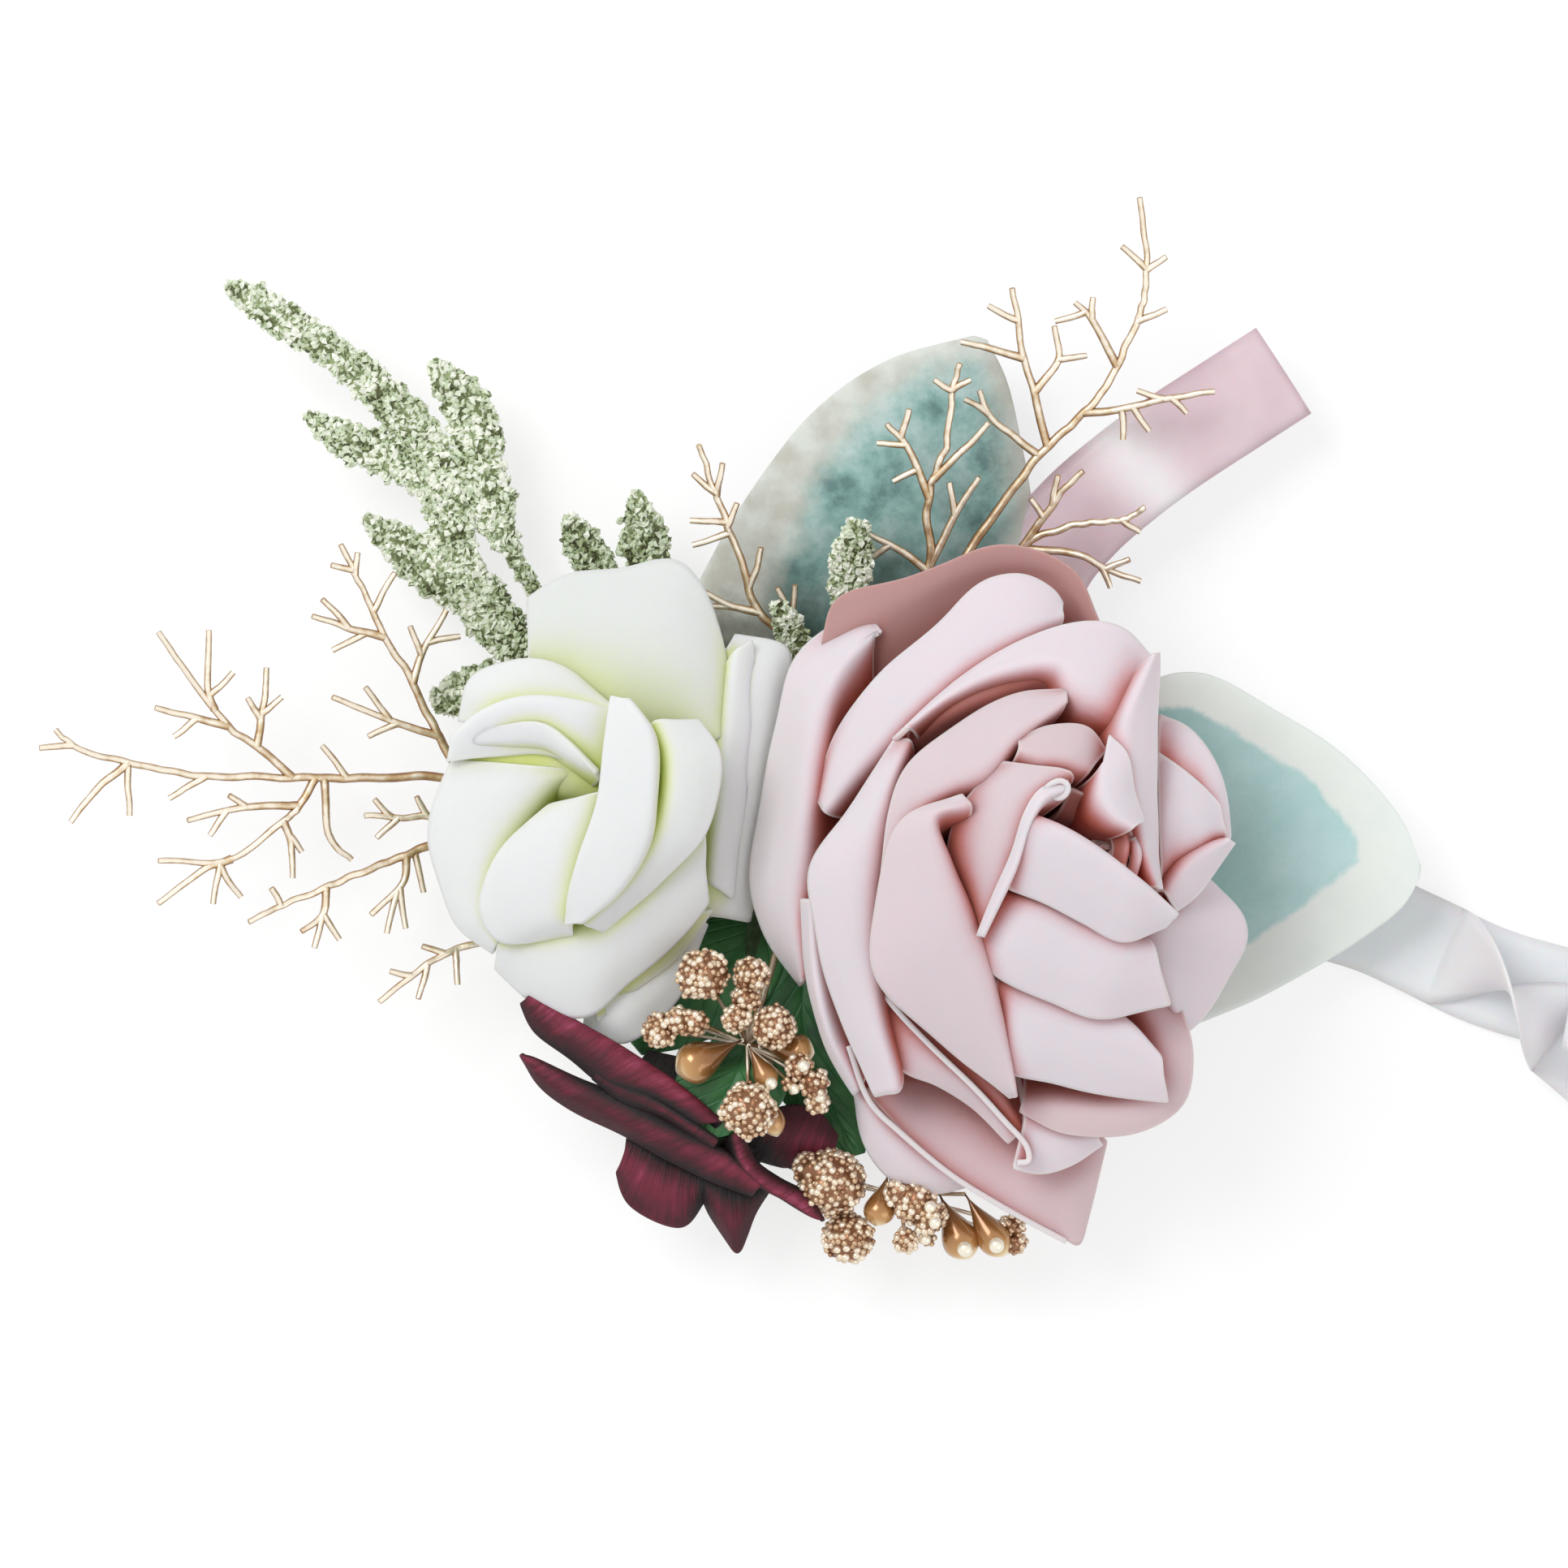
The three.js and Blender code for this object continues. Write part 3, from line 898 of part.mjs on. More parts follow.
const whiteRose = rose({
  span: WHITE_ROSE_SPAN,
  pixels: {
    anchor: [735, 1010], ends: [[525, 1040], [945, 1040]], base: [737, 1015], top: [775, 960],
      stem: [[765, 1045], [815, 1078], [850, 1080]],
  },
  stemHeights: [CALYX_BOTTOM - STEM_RADIUS, BUNDLE_HEIGHT + STEM_RADIUS, BUNDLE_HEIGHT + STEM_RADIUS],
  topShare: 0.86,
  height: WHITE_ROSE_HEIGHT,
  coreRadius: WHITE_CORE_RADIUS,
  coreTipRadius: WHITE_CORE_TIP_RADIUS,
  rimRadius: WHITE_CORE_RADIUS + WHITE_RINGS * (FOAM_THICKNESS + CLEARANCE),
  thickness: FOAM_THICKNESS,
  petals: whitePetalShares,
});
placeRose('white_rose', whiteRose, whiteFoam);

// Burgundy rose: a small silk rose under the berries.
const burgundyPetalShares = [
  ['upper', 0, [[700, 1262, 0.94], [765, 1296, 0.96], [830, 1352, 0.97], [882, 1392, 0.93]],
    [[642, 1246, 0.86], [690, 1298, 0.86], [745, 1341, 0.86], [815, 1392, 0.84]]],
  ['middle', 1, [[700, 1322, 0.82], [760, 1352, 0.84], [820, 1385, 0.86], [880, 1425, 0.86],
    [935, 1468, 0.82]],
    [[637, 1308, 0.76], [655, 1335, 0.75], [705, 1377, 0.74], [780, 1418, 0.74], [860, 1462, 0.74]]],
  ['right', 1, [[905, 1405, 0.84], [930, 1440, 0.84], [970, 1462, 0.82], [1002, 1482, 0.8]],
    [[925, 1390, 0.78], [968, 1420, 0.78], [1003, 1455, 0.76], [1017, 1512, 0.74]]],
  ['bottom', 2, [[780, 1405, 0.68], [825, 1425, 0.69], [860, 1445, 0.68], [895, 1458, 0.68],
    [935, 1480, 0.66]],
    [[762, 1450, 0.6], [800, 1510, 0.58], [868, 1500, 0.6], [908, 1550, 0.56], [942, 1490, 0.62]]],
];
const BURGUNDY_RINGS = 3;
const burgundyRose = rose({
  span: BURGUNDY_SPAN,
  pixels: {
    anchor: [850, 1395], ends: [[637, 1308], [1017, 1308]], base: [862, 1392], top: [880, 1375],
      stem: [[885, 1340], [920, 1200], [935, 1100]],
  },
  stemHeights: [CALYX_BOTTOM - STEM_RADIUS, BUNDLE_HEIGHT, BUNDLE_HEIGHT],
  topShare: 0.9,
  height: BURGUNDY_HEIGHT,
  coreRadius: BURGUNDY_CORE_RADIUS,
  rimRadius: BURGUNDY_CORE_RADIUS + BURGUNDY_RINGS * (SILK_THICKNESS + CLEARANCE),
  thickness: SILK_THICKNESS,
  petals: burgundyPetalShares,
});
placeRose('burgundy_rose', burgundyRose, burgundyFoam);

// Stem bundle: the stems' cut ends under floral tape, with a socket where each one enters.
place('stem_bundle', (grow) => {
  const half = BUNDLE_LENGTH / 2 + grow;
  const waist = BUNDLE_NECK_RADIUS + grow;
  const belly = BUNDLE_RADIUS + grow;
  const profile = [[0, -half], [waist, -half], [belly, -half / 2], [belly, half / 2], [waist, half], [0,
    half]]
    .map(([r, y]) => new THREE.Vector2(r, y));
  const bar = new THREE.LatheGeometry(profile, 12).rotateZ(-Math.PI / 2).translate(...bundleCentre);
  return solidFrom(bar);
}, tapeGreen);

export default corsage;
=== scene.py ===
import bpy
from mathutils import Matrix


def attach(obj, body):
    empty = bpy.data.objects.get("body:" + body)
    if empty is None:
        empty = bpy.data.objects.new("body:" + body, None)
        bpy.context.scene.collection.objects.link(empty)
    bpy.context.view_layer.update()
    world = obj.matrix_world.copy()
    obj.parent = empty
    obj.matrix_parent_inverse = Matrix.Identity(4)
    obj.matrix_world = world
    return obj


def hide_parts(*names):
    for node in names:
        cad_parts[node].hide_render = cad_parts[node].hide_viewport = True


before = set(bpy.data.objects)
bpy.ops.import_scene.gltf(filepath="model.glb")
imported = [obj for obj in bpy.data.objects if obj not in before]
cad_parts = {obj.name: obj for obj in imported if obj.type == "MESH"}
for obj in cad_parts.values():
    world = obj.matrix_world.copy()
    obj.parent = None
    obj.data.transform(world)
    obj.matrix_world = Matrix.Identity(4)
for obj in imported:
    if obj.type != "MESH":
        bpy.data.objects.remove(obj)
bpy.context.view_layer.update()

import math
import bpy
from mathutils import Vector, noise
from mathutils.bvhtree import BVHTree

# Camera. It stands straight above the spray, which lies flat with its flowers up. Places in the
# plan are pixels of the photograph, which is 1932 pixels wide, and a pixel is a tenth of a
# millimetre. They are worked out in millimetres, and the meshes are made in metres.
MM = 0.001
PHOTO_WIDTH = 1932
PIXEL = 172.3 / math.hypot(1763 - 40, 1068 - 921)
ORIGIN = (1080, 1050)


def plan(x, y, height=0.0):
    """A pixel of the photograph, at a height, in millimetres."""
    return Vector(((x - ORIGIN[0]) * PIXEL, (ORIGIN[1] - y) * PIXEL, height))


CAMERA_HEIGHT = 1330
FOCUS_HEIGHT = 30  # the petals' height, where a pixel has its true size
camera = bpy.data.cameras.new("camera")
camera.sensor_width = 36
camera.lens = camera.sensor_width * (CAMERA_HEIGHT - FOCUS_HEIGHT) / (PHOTO_WIDTH * PIXEL)
camera_stand = bpy.data.objects.new("camera", camera)
camera_stand.location = plan(PHOTO_WIDTH / 2, PHOTO_WIDTH / 2, CAMERA_HEIGHT) * MM
bpy.context.scene.collection.objects.link(camera_stand)
bpy.context.scene.camera = camera_stand
bpy.context.scene.view_settings.view_transform = "Standard"

# Floor and light. The table is a sheet of white paper, the light a large soft window on the
# upper left, and the room around it is white.


def wire(tree, kind, sockets=None, **settings):
    """Adds a node, makes its settings, and fills its sockets with values or with outputs."""
    node = tree.nodes.new(kind)
    for name, value in settings.items():
        setattr(node, name, value)
    for name, value in (sockets or {}).items():
        if isinstance(value, bpy.types.NodeSocket):
            tree.links.new(value, node.inputs[name])
        else:
            node.inputs[name].default_value = value
    return node


def maths(tree, operation, *values):
    """The output of a Math node."""
    return wire(tree, "ShaderNodeMath", dict(enumerate(values)), operation=operation).outputs[0]


def span(tree, value, low, high, start=0.0, end=1.0, **settings):
    """A value that runs from start to end as another runs from low to high."""
    return wire(tree, "ShaderNodeMapRange", {"Value": value, "From Min": low, "From Max": high,
                                             "To Min": start, "To Max": end}, **settings).outputs[0]


def seen_rays(tree):
    """1 for what is seen straight, or in gloss or glass, and 0 for light that falls on things."""
    path = wire(tree, "ShaderNodeLightPath").outputs
    gloss = maths(tree, "MAXIMUM", path["Is Camera Ray"], path["Is Glossy Ray"])
    return maths(tree, "MAXIMUM", gloss, path["Is Transmission Ray"])


ROOM_LIGHT = 0.57
WINDOW_POWER = 5.6
FILL_POWER = 2.4
room = bpy.data.worlds.new("white_room")
room.use_nodes = True
room_tree = room.node_tree
room_seen = span(room_tree, seen_rays(room_tree), 0.0, 1.0, ROOM_LIGHT, 1.0)
room_light = room_tree.nodes["Background"]
room_light.inputs["Color"].default_value = (1, 1, 1, 1)
room_tree.links.new(room_seen, room_light.inputs["Strength"])
bpy.context.scene.world = room


def lamp(name, position, power, size):
    """A square lamp that faces the spray's centre."""
    light = bpy.data.lights.new(name, "AREA")
    light.energy = power
    light.size = size
    stand = bpy.data.objects.new(name, light)
    stand.location = position
    stand.rotation_euler = (-Vector(position)).to_track_quat("-Z", "Y").to_euler()
    bpy.context.scene.collection.objects.link(stand)


lamp("window", (-0.50, 0.45, 0.90), WINDOW_POWER, 0.55)
lamp("fill", (0.80, -0.60, 0.80), FILL_POWER, 0.90)

FLOOR_HALF = 1.6
FLOOR_DROP = 0.00015
PAPER_LIGHT = 0.80
PAPER_SEEN = 0.36
PAPER_GLOW = 0.70
floor_mesh = bpy.data.meshes.new("floor")
floor_mesh.from_pydata([(x * FLOOR_HALF, y * FLOOR_HALF, -FLOOR_DROP)
                        for x, y in ((-1, -1), (1, -1), (1, 1), (-1, 1))], [], [(0, 1, 2, 3)])
floor = bpy.data.objects.new("floor", floor_mesh)
bpy.context.scene.collection.objects.link(floor)
paper = bpy.data.materials.new("white_paper")
paper.use_nodes = True
paper_tree = paper.node_tree
paper_tree.nodes.remove(paper_tree.nodes["Principled BSDF"])
paper_matt = wire(paper_tree, "ShaderNodeBsdfDiffuse", {"Color": (PAPER_SEEN, PAPER_SEEN, PAPER_SEEN, 1)})
paper_glow = wire(paper_tree, "ShaderNodeEmission", {"Strength": PAPER_GLOW})
paper_seen = wire(paper_tree, "ShaderNodeAddShader",
                  {0: paper_matt.outputs[0], 1: paper_glow.outputs[0]})
paper_lit = wire(paper_tree, "ShaderNodeBsdfDiffuse",
                 {"Color": (PAPER_LIGHT, PAPER_LIGHT, PAPER_LIGHT, 1)})
paper_mix = wire(paper_tree, "ShaderNodeMixShader", {"Fac": seen_rays(paper_tree),
                                                     1: paper_lit.outputs[0], 2: paper_seen.outputs[0]})
paper_tree.links.new(paper_mix.outputs[0], paper_tree.nodes["Material Output"].inputs["Surface"])
floor_mesh.materials.append(paper)

# Felt backing. An oval of thick white felt, pressed from wool, that the stems and the ribbon are
# glued to. It lies on the wrist, and its cut edge and its faces are covered in short loose fibres.


def tint(*shown):
    """A colour as it shows, for a shader's socket."""
    return tuple(c / 12.92 if c <= 0.04045 else ((c + 0.055) / 1.055) ** 2.4 for c in shown) + (1,)


def finish(name, **shader):
    """A material, its node tree and its shader, with the shader's sockets set."""
    material = bpy.data.materials.new(name)
    material.use_nodes = True
    shader_node = material.node_tree.nodes["Principled BSDF"]
    for socket, value in shader.items():
        shader_node.inputs[socket.replace("_", " ")].default_value = value
    return material, material.node_tree, shader_node


def ramp(tree, factor, *stops):
    """Colours by a factor, from stops of (place, colour)."""
    node = wire(tree, "ShaderNodeValToRGB", {"Fac": factor})
    elements = node.color_ramp.elements
    elements.remove(elements[1])
    elements[0].position, elements[0].color = stops[0][0], tint(*stops[0][1])
    for spot, colour in stops[1:]:
        elements.new(spot).color = tint(*colour)
    return node.outputs["Color"]


def speckle(tree, scale, detail=2.0, roughness=0.5):
    """Noise on the object's own coordinates; the scale is in spots to the metre."""
    coordinates = wire(tree, "ShaderNodeTexCoord")
    return wire(tree, "ShaderNodeTexNoise", {"Vector": coordinates.outputs["Object"], "Scale": scale,
                                             "Detail": detail, "Roughness": roughness}).outputs["Fac"]


def bump(tree, shader_node, height, strength, distance):
    """Relief on a shader from a height; the distance is in millimetres."""
    relief = wire(tree, "ShaderNodeBump", {"Height": height, "Strength": strength,
                                           "Distance": distance * MM})
    tree.links.new(relief.outputs[0], shader_node.inputs["Normal"])


def mesh_piece(name, points, faces, material):
    """An object from points in millimetres and faces."""
    mesh = bpy.data.meshes.new(name)
    mesh.from_pydata([Vector(p) * MM for p in points], [], faces)
    mesh.materials.append(material)
    mesh.shade_smooth()
    piece = bpy.data.objects.new(name, mesh)
    bpy.context.scene.collection.objects.link(piece)
    return piece


def settled(piece):
    """The piece with its modifiers worked into a plain mesh."""
    name = piece.name
    bpy.context.view_layer.update()
    graph = bpy.context.evaluated_depsgraph_get()
    mesh = bpy.data.meshes.new_from_object(piece.evaluated_get(graph), preserve_all_data_layers=True,
                                           depsgraph=graph)
    bpy.data.objects.remove(piece)
    mesh.name = name
    plain = bpy.data.objects.new(name, mesh)
    bpy.context.scene.collection.objects.link(plain)
    return plain


def recipe(name, inputs):
    """An empty Geometry Nodes tree with named inputs of (kind, value)."""
    tree = bpy.data.node_groups.new(name, "GeometryNodeTree")
    tree.interface.new_socket("Geometry", in_out="INPUT", socket_type="NodeSocketGeometry")
    tree.interface.new_socket("Geometry", in_out="OUTPUT", socket_type="NodeSocketGeometry")
    for label, (kind, value) in inputs.items():
        socket = tree.interface.new_socket(label, in_out="INPUT", socket_type="NodeSocket" + kind)
        if value is not None:
            socket.default_value = value
    return tree, tree.nodes.new("NodeGroupInput").outputs, tree.nodes.new("NodeGroupOutput").inputs


def laid_on(tree, given, instances):
    """The recipe's own piece together with what is laid on it."""
    joined = wire(tree, "GeometryNodeJoinGeometry", {"Geometry": given["Geometry"]})
    tree.links.new(instances, joined.inputs[0])
    return joined.outputs[0]


def finished(tree, given, made, geometry, smooth=True):
    """Ends a recipe: its instances are made real meshes, and its finish is put on."""
    whole = wire(tree, "GeometryNodeRealizeInstances", {"Geometry": geometry}).outputs[0]
    if smooth:
        whole = wire(tree, "GeometryNodeSetShadeSmooth", {"Geometry": whole}).outputs[0]
    coated = wire(tree, "GeometryNodeSetMaterial", {"Geometry": whole, "Material": given["Finish"]})
    tree.links.new(coated.outputs[0], made["Geometry"])


def grow(piece, tree, **values):
    """Runs a Geometry Nodes tree on a piece, with its named inputs set, and settles it."""
    modifier = piece.modifiers.new(tree.name, "NODES")
    modifier.node_group = tree
    for socket in tree.interface.items_tree:
        key = socket.name.replace(" ", "_").lower()
        if socket.in_out == "INPUT" and key in values:
            modifier[socket.identifier] = values[key]
    return settled(piece)


def fit(piece, slot, *nodes):
    """Fixes a piece to the spray in place of its plain solids."""
    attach(piece, "root")
    if nodes:
        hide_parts(*nodes)


def tube_faces(rings, sides):
    """The faces of a closed tube, made of rings of points, with a cap on each end."""
    faces = []
    for r in range(rings - 1):
        for s in range(sides):
            a, b = r * sides + s, r * sides + (s + 1) % sides
            faces.append((a, b, b + sides, a + sides))
    return faces + [tuple(reversed(range(sides))), tuple(range((rings - 1) * sides, rings * sides))]


FELT_LENGTH = 56
FELT_WIDTH = 27
FELT_THICKNESS = 1.5
FELT_SOFT_EDGE = 0.45
FELT_SIDES = 96
FIBRE_LENGTH = 0.9
FIBRE_RADIUS = 0.02

felt_finish, felt_tree, felt_shader = finish("white_felt", Roughness=1.0, Sheen_Weight=0.4)
felt_tree.links.new(ramp(felt_tree, speckle(felt_tree, 900, 4), (0.3, (0.84, 0.84, 0.82)),
                         (0.7, (0.95, 0.95, 0.93))), felt_shader.inputs["Base Color"])
bump(felt_tree, felt_shader, speckle(felt_tree, 2200, 4, 0.7), 0.5, 0.25)


def felt_outline(inset, height):
    """A ring of points round the oval, in from its edge."""
    radius = FELT_WIDTH / 2 - inset
    reach = (FELT_LENGTH - FELT_WIDTH) / 2
    points = []
    for k in range(FELT_SIDES):
        turn = 2 * math.pi * (k + 0.5) / FELT_SIDES
        points.append((math.copysign(reach, math.cos(turn)) + radius * math.cos(turn),
                       radius * math.sin(turn), height))
    return points


felt_rings = [(8, 0), (FELT_SOFT_EDGE, 0), (0.1, 0.15), (0, 0.5), (0, 1.0), (0.1, 1.35),
              (FELT_SOFT_EDGE, FELT_THICKNESS), (3, FELT_THICKNESS), (8, FELT_THICKNESS)]
felt_points = [p for inset, height in felt_rings for p in felt_outline(inset, height)]
felt = mesh_piece("felt_backing_oval", felt_points, tube_faces(len(felt_rings), FELT_SIDES), felt_finish)

fuzz, given, made = recipe("felt_fuzz", {
    "Density": ("Float", 1.6e6), "Fibre Length": ("Float", FIBRE_LENGTH * MM),
    "Fibre Radius": ("Float", FIBRE_RADIUS * MM), "Lowest Fibre": ("Float", 0.9 * MM), "Seed": ("Int", 3),
    "Finish": ("Material", None)})
height = wire(fuzz, "ShaderNodeSeparateXYZ", {0: wire(fuzz, "GeometryNodeInputPosition").outputs[0]})
upper = maths(fuzz, "GREATER_THAN", height.outputs["Z"], given["Lowest Fibre"])
spread = wire(fuzz, "GeometryNodeDistributePointsOnFaces", {
    "Mesh": given["Geometry"], "Selection": upper, "Density": given["Density"], "Seed": given["Seed"]})
lean = wire(fuzz, "FunctionNodeRandomValue", {0: (-1.3, -1.3, 0), 1: (1.3, 1.3, 6.28),
                                              "Seed": given["Seed"]}, data_type="FLOAT_VECTOR")
tilt = wire(fuzz, "FunctionNodeRotateRotation", {"Rotation": spread.outputs["Rotation"],
                                                 "Rotate By": lean.outputs[0]}, rotation_space="LOCAL")
fibre = wire(fuzz, "GeometryNodeMeshCone", {
    "Vertices": 3, "Side Segments": 1, "Radius Bottom": given["Fibre Radius"], "Radius Top": 0.0,
    "Depth": given["Fibre Length"]}, fill_type="NONE")
hair = wire(fuzz, "GeometryNodeInstanceOnPoints", {
    "Points": spread.outputs["Points"], "Instance": fibre.outputs["Mesh"], "Rotation": tilt.outputs[0]})
finished(fuzz, given, made, laid_on(fuzz, given, hair.outputs[0]), smooth=False)
felt = grow(felt, fuzz, finish=felt_finish)
fit(felt, "white_felt", "felt_backing")

# Wrist ribbon. One strip of white satin ribbon, folded in two under the stems, whose tails tie
# round the wrist. Both leave to the right, the upper one turns over once, and each end is rolled.
RIBBON_WIDTH = 12.7
RIBBON_THICKNESS = 0.4
PLY_STEP = 0.9
FELT_PLY_HEIGHT = 2.0
TABLE_PLY_HEIGHT = 0.4
ROLL_INNER_RADIUS = 2.6
ROLL_PITCH = 1.1
ROLL_TURNS = 3.5
ROLL_STEPS = 98
RIBBON_COLUMNS = 8
RIBBON_CUP = 0.12
fold_pixels = [(890, 1079), (1050, 1079), (1300, 1083), (1420, 1090)]
lower_tail_pixels = [(1560, 1104), (1700, 1138), (1760, 1164), (1850, 1207), (1932, 1232), (2010, 1248)]
upper_tail_pixels = [(1560, 1104), (1700, 1138), (1760, 1164), (1820, 1193), (1880, 1228), (1940, 1272),
                     (2000, 1322), (2045, 1362)]
twist_span = (plan(1800, 0).x, plan(1945, 0).x)


def smooth_point(points, share):
    """A point of the smooth curve through a list of points, a share of the way along the list."""
    last = len(points) - 1
    k = min(int(share * last), last - 1)
    t = share * last - k
    b, c = points[k], points[k + 1]
    a = points[k - 1] if k else 2 * b - c
    d = points[k + 2] if k + 2 <= last else 2 * c - b
    ab, bc, cd = (max((q - p).length, 0.0001) ** 0.5 for p, q in ((a, b), (b, c), (c, d)))
    leave = ((b - a) / ab - (c - a) / (ab + bc) + (c - b) / bc) * bc
    arrive = ((c - b) / bc - (d - b) / (bc + cd) + (d - c) / cd) * bc
    return (b * (2 * t ** 3 - 3 * t * t + 1) + leave * (t ** 3 - 2 * t * t + t)
            + c * (3 * t * t - 2 * t ** 3) + arrive * (t ** 3 - t * t))


def stations_along(points, count, twist=None):
    """The middle of a ribbon, with its direction and the line across it."""
    stations = []
    for k in range(count + 1):
        share = k / count
        centre = smooth_point(points, share)
        ahead = smooth_point(points, min(share + 0.002, 1)) - smooth_point(points, max(share - 0.002, 0))
        ahead.z = 0
        ahead.normalize()
        turn = 0
        if twist:
            t = min(max((centre.x - twist[0]) / (twist[1] - twist[0]), 0), 1)
            turn = 0.5 * math.pi * t + 0.5 * math.acos(1 - 2 * t)
        centre.z += RIBBON_WIDTH / 2 * math.sin(turn)
        across = Vector((-ahead.y, ahead.x, 0)) * math.cos(turn) + Vector((0, 0, math.sin(turn)))
        stations.append((centre, across, ahead))
    return stations


def rolled_end(station):
    """A spiral roll of ribbon past its last station."""
    centre, across, ahead = station
    outer = ROLL_INNER_RADIUS + ROLL_TURNS * ROLL_PITCH
    hub = centre + Vector((0, 0, outer))
    stations = []
    for k in range(1, ROLL_STEPS + 1):
        turn = 2 * math.pi * ROLL_TURNS * k / ROLL_STEPS
        radius = outer - ROLL_PITCH * turn / (2 * math.pi)
        spot = hub + ahead * radius * math.sin(turn) - Vector((0, 0, radius * math.cos(turn)))
        stations.append((spot, across, ahead))
    return stations


def strip_length(stations):
    """The length of a ribbon, laid out flat."""
    return sum((b[0] - a[0]).length for a, b in zip(stations, stations[1:]))


def strip_grid(stations, width, cup):
    """A ribbon's grid of points across and along, a little hollow across its width."""
    grid = []
    for i in range(RIBBON_COLUMNS + 1):
        side = 2 * i / RIBBON_COLUMNS - 1
        column = []
        for k, (centre, across, ahead) in enumerate(stations):
            along = stations[min(k + 1, len(stations) - 1)][0] - stations[max(k - 1, 0)][0]
            face = across.cross(along).normalized()
            column.append(centre + across * side * width / 2 + face * cup * (side * side - 0.5))
        grid.append(column)
    return grid


def rounded(piece):
    """The piece with its edges and folds rounded, as a plain mesh."""
    rounding = piece.modifiers.new("rounding", "SUBSURF")
    rounding.levels = rounding.render_levels = 1
    return settled(piece)


def sheet_piece(name, grid, thickness, material, size=(1, 1), soft=False, marks=None, crisp=0.0):
    """A sheet about grid[across][along], in millimetres, with UVs up to its size."""
    columns, rows = len(grid), len(grid[0])
    faces = [(i * rows + j, (i + 1) * rows + j, (i + 1) * rows + j + 1, i * rows + j + 1)
             for i in range(columns - 1) for j in range(rows - 1)]
    piece = mesh_piece(name, [p for column in grid for p in column], faces, material)
    layer = piece.data.uv_layers.new(name="weave")
    for loop in piece.data.loops:
        i, j = divmod(loop.vertex_index, rows)
        layer.data[loop.index].uv = (size[0] * i / (columns - 1), size[1] * j / (rows - 1))
    for mark, values in (marks or {}).items():
        piece.data.attributes.new(mark, "FLOAT", "POINT").data.foreach_set("value", values)
    wall = piece.modifiers.new("thickness", "SOLIDIFY")
    wall.thickness = thickness * MM
    wall.offset = 0
    wall.edge_crease_inner = wall.edge_crease_outer = crisp
    return rounded(piece) if soft else settled(piece)


def cloth_place(tree):
    """The place on a piece's own cloth, and its parts: across in X and along in Y."""
    place = wire(tree, "ShaderNodeUVMap", uv_map="weave").outputs[0]
    return place, wire(tree, "ShaderNodeSeparateXYZ", {0: place}).outputs


def mixed(tree, factor, first, second):
    """The first colour, turned into the second by a factor."""
    return wire(tree, "ShaderNodeMix", {0: factor, 6: first, 7: second}, data_type="RGBA").outputs[2]


def satin_finish(name, pale, shade, bow=None):
    """Satin: shining floats of weft across the ribbon, with a highlight painted on where it bows up."""
    material, tree, shader_node = finish(name, Roughness=0.42, Sheen_Weight=0.15, Sheen_Roughness=0.3,
                                         Subsurface_Weight=0.4, Subsurface_Scale=0.8 * MM,
                                         Anisotropic=0.5, Specular_IOR_Level=0.6)
    weave, parts = cloth_place(tree)
    threads = wire(tree, "ShaderNodeTexWave", {"Vector": weave, "Scale": 1.4, "Distortion": 0.6,
                                               "Detail": 2.0, "Detail Scale": 3.0},
                   wave_type="BANDS", bands_direction="Y").outputs["Fac"]
    cloud = wire(tree, "ShaderNodeTexNoise", {"Vector": weave, "Scale": 0.12, "Detail": 2.0}).outputs["Fac"]
    lines = span(tree, threads, 0.0, 1.0, -0.08, 0.08)
    cloth = ramp(tree, maths(tree, "ADD", cloud, lines), (0.3, shade), (0.7, pale))
    # Painted highlight: the cloth turns paler towards the crown of the bow.
    if bow:
        middle, reach = bow
        away = maths(tree, "ABSOLUTE", maths(tree, "SUBTRACT", parts["Y"], middle))
        painted_highlight = span(tree, away, reach, 0.0, 0.0, 0.85, interpolation_type="SMOOTHSTEP")
        cloth = mixed(tree, painted_highlight, cloth, tint(0.985, 0.97, 0.98))
    tree.links.new(cloth, shader_node.inputs["Base Color"])
    bump(tree, shader_node, threads, 0.12, 0.05)
    return material


white_satin = satin_finish("white_satin", (0.985, 0.98, 0.99), (0.96, 0.955, 0.975))
felt_run = [plan(x, y, FELT_PLY_HEIGHT) for x, y in fold_pixels]
lower_run = felt_run + [plan(x, y, TABLE_PLY_HEIGHT) for x, y in lower_tail_pixels]
lower_tail = stations_along(lower_run, 90)
ply = Vector((0, 0, PLY_STEP))
upper_run = [p + ply for p in felt_run]
upper_run += [plan(x, y, TABLE_PLY_HEIGHT + PLY_STEP) for x, y in upper_tail_pixels]
upper_run[-1].z = TABLE_PLY_HEIGHT
upper_tail = stations_along(upper_run, 150, twist_span)
fold_centre, fold_across, fold_ahead = lower_tail[0]
fold_station = (fold_centre + Vector((-PLY_STEP / 2, 0, PLY_STEP / 2)), fold_across, fold_ahead)
wrist_stations = (rolled_end(lower_tail[-1])[::-1] + lower_tail[::-1] + [fold_station] + upper_tail
                  + rolled_end(upper_tail[-1]))
wrist_length = strip_length(wrist_stations)
wrist_ribbon = sheet_piece("wrist_ribbon_strip", strip_grid(wrist_stations, RIBBON_WIDTH, RIBBON_CUP),
                           RIBBON_THICKNESS, white_satin, (RIBBON_WIDTH, wrist_length))
fit(wrist_ribbon, "white_satin", "wrist_ribbon")

